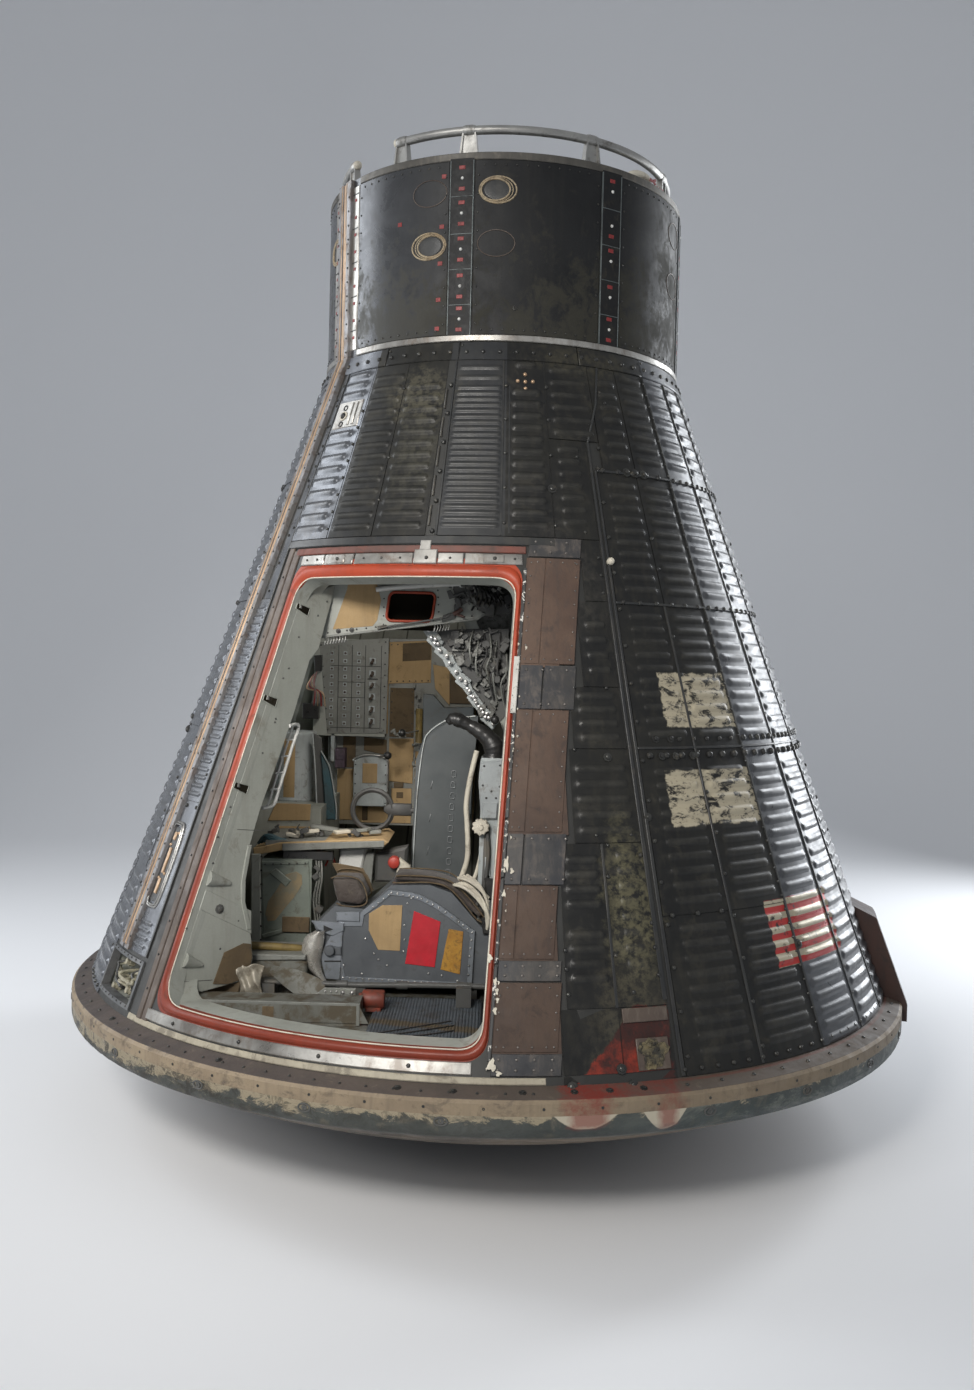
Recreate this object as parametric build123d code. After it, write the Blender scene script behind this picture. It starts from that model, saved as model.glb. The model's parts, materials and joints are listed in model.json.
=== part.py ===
from build123d import *
import math
import os

os.makedirs("parts", exist_ok=True)

# Space capsule, millimetres. The origin is the middle of the flat land under the heat shield.
# Azimuth is measured from -Y towards +X, so the hatch faces azimuth -21 and +X is azimuth 90.

# Heat shield: a spherical dish with a rounded shoulder and a short upright rim
shield_radius = 946.0
dish_radius = 2032.0
land_radius = 200.0
shoulder_radius = 20.0
shield_thickness = 55.0
rim_width = 60.0
rim_height = 22.0

# Ring that holds the shield to the cabin: a vertical band and a sloping ledge
ring_band_height = 20.0
ring_edge = 6.0
ring_ledge_rise = 10.0
ring_ledge_width = 43.3
ring_width = 76.0

# Conical cabin and the cylinder above it
skin_top_radius = 407.4
half_angle = 20.0
wall = 64.0
cylinder_height = 385.0
cylinder_wall = 22.0
rim_lip_width = 40.0
rim_lip_height = 12.0

# Hatch opening, with its left side on a radial plane and its right side nearly upright
hatch_left_azimuth = -45.4
hatch_left_lip = 26.0
hatch_right_foot = -5.5
hatch_right_slope = 0.0556
hatch_sill = 51.9
hatch_height = 816.0
hatch_corner = 42.0
hatch_reach_in = 250.0
seal_depth = 14.0
seal_left = 24.0
seal_right = 10.0
seal_top = 36.0
seal_bottom = 18.0
lining = 12.0
tunnel_depth = 140.0

# Panel seams: azimuths in degrees, and the seam ring above the hatch
seams = {"hatch_left": -48.5, "hatch_right": 10.75, "right": 90.0, "rear": 165.0, "left": 225.0}
hatch_head_margin = 81.0

# Window on the far side of the cabin, hung from the seam ring
window_azimuth = -110.0
window_drop = 40.0
window_height = 455.0
window_foot_width = 279.0
window_head_width = 190.0
window_corner = 30.0
window_frame_width = 28.0
window_frame_proud = 6.0
window_frame_sunk = 18.0
glass_inset = 8.0
glass_thickness = 12.0

# Cable raceway, straps on the cylinder and plates beside the hatch
raceway_azimuth = -58.0
raceway_width = 58.0
raceway_proud = 9.0
raceway_groove = 12.0
raceway_groove_depth = 5.0
raceway_gap = 8.0
strap_count = 7
strap_first = -12.75
strap_pitch = 45.5
strap_width = 50.0
strap_proud = 3.0
plate_thickness = 4.0
plate_gap = 5.0

# Open equipment bay at the foot of the raceway, and the fairing on the other side
bay_azimuths = (-63.0, -50.5)
bay_rise = 13.9
bay_height = 90.0
bay_depth = 46.0
bay_rim = 8.0
bay_rim_proud = 4.0
bay_rim_sunk = 14.0
bay_panel_azimuth = -67.0
bay_panel_margin = 30.0
fairing_azimuth = 77.0
fairing_arc = 8.0
fairing_rise = 193.9
fairing_slope = 25.0
fairing_drop = 16.1
fairing_proud = 46.0
fairing_overhang = 11.0

# Tubular rail on the top rim
rail_inset = 31.4
rail_tube = 9.0
rail_rise = 58.0
rail_start = -38.0
rail_arc = 336.0
bracket_azimuths = (-36.0, -12.0, 28.0, 68.0, 108.0, 148.0, 188.0, 228.0, 262.0, 296.0)
bracket_width = 28.0
bracket_thickness = 6.0

# Recovery bay inside the cylinder
deck_drop = 62.0
deck_thickness = 10.0
canister_radius = 190.0
canister_wall = 5.0
canister_depth = 300.0
canister_lip = 14.0

# Cabin floor, and the bulkhead above the seam ring
floor_step = 8.9
floor_thickness = 20.0
bulkhead_rise = 155.0
bulkhead_thickness = 25.0

# Small parts of the cabin
seat_rail_height = 27.0
seat_rail_width = 40.0
pad_inset = 2.0
mat_thickness = 12.0
port_x = (-227.0, -129.0)
port_z = (769.0, 844.0)
port_corner = 14.0
port_rim = 7.0
port_rim_proud = 5.0
rod_radius = 7.0
rod_sunk = 3.0
bottle_radius = 33.0
bottle_height = 148.0
grip_radius = 5.0
grip_out = 26.0
grip_bend = 10.0
loop_radius = 45.0
loop_tube = 6.0
pipe_radius = 12.0
pipe_height = 50.0
clamp_width = 30.0
clamp_reach = 25.0

# Heights and radii worked out from the driving dimensions
slope = math.tan(math.radians(half_angle))
dish_centre = math.sqrt(dish_radius ** 2 - land_radius ** 2)
fillet_reach = shield_radius - shoulder_radius
shoulder_height = dish_centre - math.sqrt((dish_radius - shoulder_radius) ** 2 - fillet_reach ** 2)
rim_top = shoulder_height + rim_height
ring_top = rim_top + ring_band_height + ring_edge
skin_foot = ring_top + ring_ledge_rise
joint_height = skin_foot + (shield_radius - ring_ledge_width - skin_top_radius) / slope
cylinder_top = joint_height + cylinder_height
cylinder_inside = skin_top_radius - cylinder_wall
hatch_bottom = skin_foot + hatch_sill
hatch_top = hatch_bottom + hatch_height
floor_top = skin_foot + floor_step
bay_foot = skin_foot + bay_rise
bay_head = bay_foot + bay_height
raceway_foot = bay_head + raceway_gap
fairing_top = skin_foot + fairing_rise
fairing_bottom = rim_top - fairing_drop
seam_height = hatch_top + hatch_head_margin
window_head = seam_height - window_drop
window_foot = window_head - window_height
bulkhead_height = seam_height + bulkhead_rise
far = shield_radius + wall


def skin_radius(height):
    """Outer radius of the conical skin at a height."""
    return skin_top_radius + slope * (joint_height - height)


def turned(profile, first=0.0, last=360.0):
    """Solid turned from an (r, z) outline between two azimuths."""
    face = make_face(Polyline(*[(r, 0, z) for r, z in profile], close=True))
    return Rot(0, 0, first - 90) * revolve(face, Axis.Z, last - first)


def tube(inner, outer, foot, head, first=0.0, last=360.0):
    """Part of an upright tube between two radii and two heights."""
    return turned([(inner, foot), (outer, foot), (outer, head), (inner, head)], first, last)


def cone_shell(outer, inner, foot, head, first=0.0, last=360.0):
    """Part of a conical shell whose faces lie at two depths under the skin."""
    outline = [
        (skin_radius(foot) - inner, foot),
        (skin_radius(foot) - outer, foot),
        (skin_radius(head) - outer, head),
        (skin_radius(head) - inner, head),
    ]
    return turned(outline, first, last)


def radial_slab(azimuth, width, foot, head):
    """Upright slab on a radial plane, from the axis outwards."""
    slab = Box(width, far, head - foot, align=(Align.CENTER, Align.MAX, Align.MIN))
    return Rot(0, 0, azimuth) * Pos(0, 0, foot) * slab


def block(x, y, z):
    """Box given by its lowest and highest x, y and z."""
    size = (x[1] - x[0], y[1] - y[0], z[1] - z[0])
    return Pos(x[0], y[0], z[0]) * Box(*size, align=(Align.MIN, Align.MIN, Align.MIN))


def plate(outline, front, back):
    """Plate upright across the cabin, from an (x, z) outline, between two y values."""
    face = make_face(Polyline(*[(x, front, z) for x, z in outline], close=True))
    return extrude(face, amount=back - front, dir=(0, 1, 0))


def above_floor(outline):
    """Outline whose heights are measured from the cabin floor, moved to the frame."""
    return [(x, floor_top + z) for x, z in outline]


def along_y(edge):
    """True for the edges of a plate that run through its thickness."""
    return abs((edge % 0.5).Y) > 0.99


def rod(radius, *route, bend=None):
    """Round rod through the given points, with bends of one radius."""
    path = FilletPolyline(*route, radius=bend) if bend else Line(*route)
    start = Plane(origin=route[0], z_dir=path % 0)
    return sweep(start * Circle(radius), path=path)


def joined(shapes):
    """One node made of solids that don't touch."""
    return Compound(children=[s for shape in shapes for s in shape.solids()])


def is_inward(edge):
    """True for the edges of the hatch space that run from outside to inside."""
    a, b = edge @ 0, edge @ 1
    return abs(math.hypot(a.X, a.Y) - math.hypot(b.X, b.Y)) > shield_radius / 2


def hatch_wedge(left=0.0, right=0.0, top=0.0, bottom=0.0):
    """Space inside the hatch opening, made larger by an offset on each side."""
    turn = math.radians(hatch_left_azimuth)
    along = Vector(math.sin(turn), -math.cos(turn), 0)
    across = Vector(math.cos(turn), math.sin(turn), 0) * (hatch_left_lip - left)
    sections = []
    for height in (hatch_bottom - bottom, hatch_top + top):
        right_x = hatch_right_foot + hatch_right_slope * (height - hatch_bottom) + right
        corners = [
            along * far + across,
            Vector(right_x, -far, 0),
            Vector(right_x, -hatch_reach_in, 0),
            along * hatch_reach_in + across,
        ]
        sections.append(make_face(Polyline(*[(c.X, c.Y, height) for c in corners], close=True)))
    body = loft(sections, ruled=True)
    turns = [e for e in body.edges() if abs((e % 0.5).Z) < 0.2 and is_inward(e)]
    return fillet(turns, hatch_corner)


# Space of the cabin inside the walls, floor and bulkhead
cabin_space = turned(
    [
        (0, floor_top),
        (skin_radius(floor_top) - wall, floor_top),
        (skin_radius(bulkhead_height) - wall, bulkhead_height),
        (0, bulkhead_height),
    ]
)
nodes = {}


def heat_shield():
    """Dish with a rounded shoulder and an upright rim."""
    reach = fillet_reach / (dish_radius - shoulder_radius)
    drop = (dish_centre - shoulder_height) / (dish_radius - shoulder_radius)
    tangent = Vector(dish_radius * reach, 0, dish_centre - dish_radius * drop)
    half = (math.asin(land_radius / dish_radius) + math.asin(reach)) / 2
    middle = Vector(dish_radius * math.sin(half), 0, dish_centre - dish_radius * math.cos(half))
    fillet_middle = Vector(
        fillet_reach + shoulder_radius * math.cos(math.asin(drop) / 2),
        0,
        shoulder_height - shoulder_radius * math.sin(math.asin(drop) / 2),
    )
    inner = dish_radius - shield_thickness
    inner_edge = shield_radius - rim_width
    inner_edge_z = dish_centre - math.sqrt(inner ** 2 - inner_edge ** 2)
    inner_half = math.asin(inner_edge / inner) / 2
    inner_middle = (inner * math.sin(inner_half), 0, dish_centre - inner * math.cos(inner_half))
    outline = [
        Line((0, 0, 0), (land_radius, 0, 0)),
        ThreePointArc((land_radius, 0, 0), middle, tangent),
        ThreePointArc(tangent, fillet_middle, (shield_radius, 0, shoulder_height)),
        Line((shield_radius, 0, shoulder_height), (shield_radius, 0, rim_top)),
        Line((shield_radius, 0, rim_top), (inner_edge, 0, rim_top)),
        Line((inner_edge, 0, rim_top), (inner_edge, 0, inner_edge_z)),
        ThreePointArc((inner_edge, 0, inner_edge_z), inner_middle, (0, 0, dish_centre - inner)),
        Line((0, 0, dish_centre - inner), (0, 0, 0)),
    ]
    return revolve(make_face(Wire(outline)), Axis.Z, 360)


# Band above the shield rim, with a ledge that slopes up to the skin
nodes["heat_shield"] = heat_shield()
nodes["shield_ring"] = turned(
    [
        (shield_radius - ring_width, rim_top),
        (shield_radius, rim_top),
        (shield_radius, ring_top - ring_edge),
        (shield_radius - ring_edge, ring_top),
        (skin_radius(skin_foot), skin_foot),
        (shield_radius - ring_width, skin_foot),
    ]
)


def window_prism(grow):
    """Upright trapezoid through the wall at the window, made larger by an offset."""
    foot = window_foot_width / 2 + grow
    head = window_head_width / 2 + grow
    low = window_foot - grow
    high = window_head + grow
    body = plate([(-foot, low), (foot, low), (head, high), (-head, high)], -far, -window_foot_width / 2)
    return Rot(0, 0, window_azimuth) * fillet([e for e in body.edges() if along_y(e)], window_corner)


def wall_panel(first, last):
    """Lower wall between two seams."""
    return cone_shell(0, wall, skin_foot, seam_height, first, last)


# Cabin walls: four lower panels, the panel round the bay, the hatch frame and one upper ring
bay_cut = cone_shell(-1, bay_depth, bay_foot, bay_head, *bay_azimuths)
opening = hatch_wedge()
lining_space = hatch_wedge(lining, lining, lining, lining)
seal_space = hatch_wedge(seal_left, seal_right, seal_top, seal_bottom)
seal_band = seal_space & cone_shell(-1, seal_depth, skin_foot, seam_height)
nodes["cone_wall_right"] = wall_panel(seams["hatch_right"], seams["right"])
nodes["cone_wall_rear_right"] = wall_panel(seams["right"], seams["rear"])
nodes["cone_wall_rear_left"] = wall_panel(seams["rear"], seams["left"])
bay_panel_head = bay_head + bay_panel_margin
bay_block = cone_shell(0, wall, skin_foot, bay_panel_head, bay_panel_azimuth, seams["hatch_left"])
left_panel = wall_panel(seams["left"], seams["hatch_left"] + 360)
nodes["cone_wall_left"] = left_panel - bay_block - window_prism(window_frame_width)
nodes["bay_panel"] = bay_block - bay_cut
nodes["hatch_frame"] = wall_panel(seams["hatch_left"], seams["hatch_right"]) - lining_space - seal_band
nodes["cone_wall_upper"] = cone_shell(0, wall, seam_height, joint_height)

# Hatch seal, and the tunnel that lines the opening through the wall
nodes["hatch_seal"] = (seal_space - opening) & cone_shell(0, seal_depth, skin_foot, seam_height)
tunnel_ring = (lining_space - opening) & cone_shell(seal_depth, wall, skin_foot, seam_height)
other_sides = lining + 1
left_side = lining_space - hatch_wedge(0, other_sides, other_sides, other_sides)
nodes["hatch_tunnel"] = tunnel_ring + (left_side & cone_shell(wall, tunnel_depth, hatch_bottom, hatch_top))

# Window frame and glass
window_arc = (skin_foot, seam_height, seams["left"], 300)
window_shell = cone_shell(-window_frame_proud, window_frame_sunk, *window_arc)
nodes["window_frame"] = (window_prism(window_frame_width) - window_prism(0)) & window_shell
nodes["window_glass"] = window_prism(0) & cone_shell(glass_inset, glass_inset + glass_thickness, *window_arc)

# Riveted plates beside the hatch, from the hatch edge to an azimuth, between two heights
edge_plate_table = [
    # foot and head above the hatch's lower edge, last azimuth
    (647.0, 856.0, 10.7),
    (349.0, 569.0, 10.6),
    (142.0, 264.0, 8.4),
    (-3.0, 106.0, 8.4),
]
clear_of_seal = hatch_wedge(0, seal_right + plate_gap, far, hatch_bottom)
nodes["edge_plates"] = joined(
    cone_shell(-plate_thickness, 0, hatch_bottom + foot, hatch_bottom + head, -2, last) - clear_of_seal
    for foot, head, last in edge_plate_table
)

# Cylinder with an inner lip round its top
nodes["recovery_cylinder"] = turned(
    [
        (cylinder_inside, joint_height),
        (skin_top_radius, joint_height),
        (skin_top_radius, cylinder_top),
        (skin_top_radius - rim_lip_width, cylinder_top),
        (skin_top_radius - rim_lip_width, cylinder_top - rim_lip_height),
        (cylinder_inside, cylinder_top - rim_lip_height),
    ]
)


def cylinder_strip(azimuth, width, proud, head):
    """Strip standing proud of the cylinder, from its foot up."""
    half = math.degrees(width / 2 / skin_top_radius)
    return tube(skin_top_radius, skin_top_radius + proud, joint_height, head, azimuth - half, azimuth + half)


# Straps, and the raceway that runs down the cylinder to the foot of the cone
strap_head = cylinder_top - rim_lip_height
nodes["cylinder_straps"] = joined(
    cylinder_strip(strap_first + strap_pitch * i, strap_width, strap_proud, strap_head)
    for i in range(strap_count)
)
groove_floor = raceway_proud - raceway_groove_depth
groove_top = raceway_proud + 1
groove_slab = radial_slab(raceway_azimuth, raceway_groove, raceway_foot, cylinder_top)
groove_tube = tube(
    skin_top_radius + groove_floor, skin_top_radius + groove_top, joint_height, cylinder_top, -90, 0
)
full_strip = cylinder_strip(raceway_azimuth, raceway_width, raceway_proud, cylinder_top)
nodes["raceway_cylinder"] = full_strip - (groove_tube & groove_slab)
raceway_slab = radial_slab(raceway_azimuth, raceway_width, raceway_foot, joint_height)
raceway_band = cone_shell(-raceway_proud, 0, raceway_foot, joint_height, -90, 0)
groove_band = cone_shell(-groove_top, -groove_floor, raceway_foot, joint_height)
nodes["raceway_cone"] = (raceway_slab & raceway_band) - (groove_band & groove_slab)

# Rim of the equipment bay, and the fairing that covers the ring joint
bay_turn = math.degrees(bay_rim / skin_radius(bay_foot))
bay_inner = cone_shell(
    -bay_rim_proud - 1,
    bay_rim_sunk + 1,
    bay_foot + bay_rim,
    bay_head - bay_rim,
    bay_azimuths[0] + bay_turn,
    bay_azimuths[1] - bay_turn,
)
nodes["bay_frame"] = cone_shell(-bay_rim_proud, bay_rim_sunk, bay_foot, bay_head, *bay_azimuths) - bay_inner
fairing_shoulder = fairing_top - fairing_slope
nodes["umbilical_fairing"] = turned(
    [
        (shield_radius, fairing_bottom),
        (shield_radius, ring_top - ring_edge),
        (shield_radius - ring_edge, ring_top),
        (skin_radius(skin_foot), skin_foot),
        (skin_radius(fairing_top), fairing_top),
        (skin_radius(fairing_shoulder) + fairing_proud, fairing_shoulder),
        (shield_radius + fairing_overhang, ring_top - ring_edge),
        (shield_radius + fairing_overhang, fairing_bottom),
    ],
    fairing_azimuth - fairing_arc / 2,
    fairing_azimuth + fairing_arc / 2,
)

# Tubular rail standing on brackets round the top rim
rail_radius = skin_top_radius - rail_inset
rail_section = Plane.XZ * (Pos(rail_radius, cylinder_top + rail_rise) * Circle(rail_tube))
nodes["top_rail"] = Rot(0, 0, rail_start - 90) * revolve(rail_section, Axis.Z, rail_arc)
post = Box(bracket_width, bracket_thickness, rail_rise, align=(Align.CENTER, Align.CENTER, Align.MIN))
nodes["rail_brackets"] = joined(
    Rot(0, 0, azimuth) * Pos(0, -rail_radius, cylinder_top) * post - nodes["top_rail"]
    for azimuth in bracket_azimuths
)

# Deck and parachute canister inside the cylinder
deck_top = cylinder_top - deck_drop
nodes["recovery_deck"] = tube(canister_radius, cylinder_inside, deck_top - deck_thickness, deck_top)
canister_foot = deck_top - canister_depth
canister_inside = canister_radius - canister_wall
nodes["parachute_canister"] = turned(
    [
        (0, canister_foot),
        (canister_radius, canister_foot),
        (canister_radius, deck_top + canister_lip),
        (canister_inside, deck_top + canister_lip),
        (canister_inside, canister_foot + canister_wall),
        (0, canister_foot + canister_wall),
    ]
)

# Cabin floor and forward bulkhead, fitted to the inner face of the walls
floor_radius = skin_radius(skin_foot) - wall
nodes["cabin_floor"] = turned(
    [
        (0, floor_top - floor_thickness),
        (floor_radius, floor_top - floor_thickness),
        (floor_radius, skin_foot),
        (skin_radius(floor_top) - wall, floor_top),
        (0, floor_top),
    ]
)
nodes["forward_bulkhead"] = turned(
    [
        (0, bulkhead_height),
        (skin_radius(bulkhead_height) - wall, bulkhead_height),
        (skin_radius(bulkhead_height + bulkhead_thickness) - wall, bulkhead_height + bulkhead_thickness),
        (0, bulkhead_height + bulkhead_thickness),
    ]
)

# Cabin fittings that are plates or blocks across the cabin. Each has the y values of its front
# and back, and an outline of x and height above the floor. Some run on into the wall, which trims them.
seat_crest = [(-316, 190), (-254, 185), (-200, 236), (-121, 238), (-76, 223), (-21, 162)]
console_front = -50
console_height = 345
controller_top = 499
fittings = {
    # name: (front, back, outline)
    "seat_side_support": (
        -430,
        -330,
        [(-292, seat_rail_height), (-324, 76), (-356, 148)]
        + seat_crest
        + [(3, 136), (7, seat_rail_height)],
    ),
    "couch_shell": (
        -330,
        240,
        [(-300, seat_rail_height), (-300, 125), (-250, 155), (-120, 195), (-40, 125), (0, seat_rail_height)],
    ),
    "leg_panel": (-150, -135, [(-181, 135), (-62, 135), (-34, 575), (-93, 565), (-154, 529), (-173, 472)]),
    "controller_base": (-400, -345, [(-22, 125), (28, 125), (27, controller_top), (-22, controller_top)]),
    "hand_controller": (
        -395,
        -350,
        [(-96, 560), (-90, 583), (-65, 585), (18, 533), (24, controller_top), (-20, controller_top)],
    ),
    "top_panel": (-362, -347, [(-far, 739), (-74, 784), (30, 803), (30, 890), (-far, 890)]),
    "instrument_panel": (-300, far, [(-128, 935), (-100, 935), (62, 523), (34, 523)]),
    "instrument_rack": (-250, 350, [(-100, 935), (62, 523), (250, 523), (250, 935)]),
    "equipment_box": (300, far, [(-475, 495), (-285, 495), (-285, 750), (-475, 750)]),
    "circuit_panel": (350, far, [(-285, 255), (-50, 255), (-50, 715), (-285, 715)]),
    "left_console": (
        console_front,
        300,
        [(-640, 0), (-400, 0), (-400, console_height), (-640, console_height)],
    ),
    "equipment_shelf": (-250, console_front, [(-493, 277), (-235, 283), (-235, 300), (-493, 295)]),
    "grey_cabinet": (-250, console_front, [(-500, 0), (-390, 0), (-390, 255), (-500, 255)]),
    "floor_beam": (-620, -560, [(-far, 0), (-240, 0), (-240, 43), (-far, 43)]),
    "floor_mat": (-720, -440, [(-225, 0), (-5, 0), (-5, mat_thickness), (-225, mat_thickness)]),
}
for name, (front, back, outline) in fittings.items():
    nodes[name] = plate(above_floor(outline), front, back) & cabin_space
nodes["leg_panel"] = nodes["leg_panel"] - nodes["couch_shell"]

# Seat rails on the floor, and the pads on the crest of the seat side
seat_foot = floor_top + seat_rail_height
nodes["seat_rails"] = joined(
    block((x, x + seat_rail_width), (-420, 200), (floor_top, seat_foot)) for x in (-290, -60)
)
seat_front, seat_back, seat_outline = fittings["seat_side_support"]
left_pad = seat_crest[:2] + [(-236, 207), (-262, 256), (-330, 254)]
right_pad = seat_crest[2:] + [(-3, 175), (-66, 245), (-115, 261), (-196, 261)]
nodes["controller_base"] = nodes["controller_base"] - nodes["seat_side_support"]
nodes["seat_pads"] = joined(
    plate(above_floor(outline), seat_front + pad_inset, seat_back - pad_inset) - nodes["controller_base"]
    for outline in (left_pad, right_pad)
)


def port(grow, front, back):
    """Rounded square through the top panel, made larger by an offset."""
    x0, x1 = port_x[0] - grow, port_x[1] + grow
    z0, z1 = port_z[0] - grow, port_z[1] + grow
    body = plate(above_floor([(x0, z0), (x1, z0), (x1, z1), (x0, z1)]), front, back)
    return fillet([e for e in body.edges() if along_y(e)], port_corner)


# Small square window in the top panel, with its rim, and the rod in front of it
panel_front, panel_back, panel_outline = fittings["top_panel"]
port_hole = port(0, panel_front - port_rim_proud, panel_back)
left_of_tunnel = Box(far, far, joint_height, align=(Align.MAX, Align.MAX, Align.MIN))
behind_left = Rot(0, 0, hatch_left_azimuth) * Pos(hatch_left_lip, 0, 0) * left_of_tunnel
nodes["top_panel"] = nodes["top_panel"] - port_hole - behind_left
nodes["inner_window_rim"] = port(port_rim, panel_front - port_rim_proud, panel_front) - port_hole
rod_y = panel_front - rod_radius + rod_sunk
rod_ends = [(-245, rod_y, floor_top + 863), (-63, rod_y, floor_top + 871)]
nodes["top_rod"] = rod(rod_radius, *rod_ends) - nodes["top_panel"]

# Bottle standing on the console
nodes["breathing_bottle"] = Pos(-478, 100, floor_top + console_height) * Cylinder(
    bottle_radius, bottle_height, align=(Align.CENTER, Align.CENTER, Align.MIN)
)


def beside_tunnel(height, inward):
    """Point by the inner edge of the tunnel's left side, some way towards the axis."""
    reach = skin_radius(height) - tunnel_depth - inward
    return (Rot(0, 0, hatch_left_azimuth) * Pos(hatch_left_lip - lining / 2, -reach, height)).position


# Handrail on the tunnel's left side: height above the floor and distance inwards of each point
grip_sunk = -4.0
handrail_route = [(560, grip_sunk), (550, grip_out), (400, grip_out), (390, grip_sunk)]
handrail_points = [beside_tunnel(floor_top + height, inward) for height, inward in handrail_route]
nodes["handrail"] = rod(grip_radius, *handrail_points, bend=grip_bend) - nodes["hatch_tunnel"]

# Loop handle on the edge of the leg panel
leg_front, leg_back, leg_outline = fittings["leg_panel"]
loop_y = (leg_front + leg_back) / 2
loop_z = floor_top + 355
loop = Pos(-270, loop_y, loop_z) * Rot(90, 0, 0) * Torus(loop_radius, loop_tube)
stem = Cylinder(loop_tube, 62, align=(Align.CENTER, Align.CENTER, Align.MIN))
nodes["loop_handle"] = loop + Pos(-227, loop_y, loop_z) * Rot(0, 90, 0) * stem - nodes["leg_panel"]

# Box on the floor mat, and a pipe across the floor on two clamps
mat_top = floor_top + mat_thickness
nodes["relay_box"] = block((-225, -180), (-560, -520), (mat_top, mat_top + 40))
pipe_z = floor_top + pipe_height
pipe = rod(pipe_radius, (-520, -500, pipe_z), (0, -485, pipe_z))
nodes["floor_pipe"] = pipe
nodes["pipe_clamps"] = joined(
    block((x, x + clamp_width), (-495 - clamp_reach, -495 + clamp_reach), (foot, pipe_z)) - pipe
    for x, foot in ((-450, floor_top), (-60, mat_top))
)

for name, shape in nodes.items():
    export_step(shape, f"parts/{name}.step")
    print(name, len(shape.solids()), round(shape.volume / 1e6, 3))
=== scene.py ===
import json
import math

import bpy
import numpy as np
from mathutils import Matrix, Vector
from mathutils.geometry import tessellate_polygon

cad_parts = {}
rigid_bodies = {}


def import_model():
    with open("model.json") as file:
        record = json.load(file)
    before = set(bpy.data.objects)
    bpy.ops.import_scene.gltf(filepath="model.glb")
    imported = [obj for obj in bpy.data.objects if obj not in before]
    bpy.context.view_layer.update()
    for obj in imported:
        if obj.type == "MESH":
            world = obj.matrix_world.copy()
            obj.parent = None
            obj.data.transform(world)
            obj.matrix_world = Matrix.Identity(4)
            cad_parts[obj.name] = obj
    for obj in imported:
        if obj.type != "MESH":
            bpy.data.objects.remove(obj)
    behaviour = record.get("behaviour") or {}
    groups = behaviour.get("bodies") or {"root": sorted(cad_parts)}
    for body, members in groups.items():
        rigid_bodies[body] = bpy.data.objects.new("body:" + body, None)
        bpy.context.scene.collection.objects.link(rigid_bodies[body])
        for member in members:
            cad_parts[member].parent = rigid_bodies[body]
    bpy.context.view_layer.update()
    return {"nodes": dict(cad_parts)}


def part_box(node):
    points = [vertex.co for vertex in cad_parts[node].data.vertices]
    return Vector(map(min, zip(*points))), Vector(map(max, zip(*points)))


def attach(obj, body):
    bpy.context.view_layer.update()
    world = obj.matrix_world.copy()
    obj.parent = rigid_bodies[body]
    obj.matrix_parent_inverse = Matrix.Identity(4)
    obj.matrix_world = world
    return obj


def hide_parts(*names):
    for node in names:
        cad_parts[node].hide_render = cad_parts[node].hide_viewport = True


for thing in list(bpy.data.objects):  # start from an empty scene
    bpy.data.objects.remove(thing)

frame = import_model()
nodes = frame["nodes"]
seeded = np.random.default_rng(7)

# Heights in this file are measured from the tip of the full dish, `datum` above or below the CAD's origin
skinFootHeight = 0.3361
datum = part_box("cone_wall_right")[0].z - skinFootHeight


def nodeBox(name):
    # lowest and highest corner of a CAD node, with heights in this file's measure
    low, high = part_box(name)
    return np.array(low) - (0, 0, datum), np.array(high) - (0, 0, datum)


coneTilt = math.radians(20)
topRadius = nodeBox("recovery_cylinder")[1][0]
jointHeight = nodeBox("recovery_cylinder")[0][2]
shieldRadius = nodeBox("heat_shield")[1][0]
ringTop = 0.3261
print("frame loaded, datum", round(datum, 4))

# camera, lamps and world
camera = dict(
    place=(0.0, -2.9251, 1.0381),
    yaw=-0.00545,
    pitch=-0.02511,
    roll=0.02453,
    focal=1223.06,
    height=1390,
    sensor=36.0,
)


def addCamera(c):
    # the camera looks along `forward`; its own right and up are turned by the roll
    forward = Vector((
        math.sin(c["yaw"]) * math.cos(c["pitch"]),
        math.cos(c["yaw"]) * math.cos(c["pitch"]),
        math.sin(c["pitch"]),
    ))
    right = forward.cross(Vector((0, 0, 1))).normalized()
    up = right.cross(forward)
    rolledRight = right * math.cos(c["roll"]) + up * math.sin(c["roll"])
    rolledUp = -right * math.sin(c["roll"]) + up * math.cos(c["roll"])
    data = bpy.data.cameras.new("camera")
    data.sensor_width = c["sensor"]
    data.lens = c["focal"] * c["sensor"] / c["height"]
    made = bpy.data.objects.new("camera", data)
    made.matrix_world = Matrix((
        (rolledRight.x, rolledUp.x, -forward.x, c["place"][0]),
        (rolledRight.y, rolledUp.y, -forward.y, c["place"][1]),
        (rolledRight.z, rolledUp.z, -forward.z, c["place"][2] + datum),
        (0, 0, 0, 1),
    ))
    bpy.context.scene.collection.objects.link(made)
    bpy.context.scene.camera = made


addCamera(camera)

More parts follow.
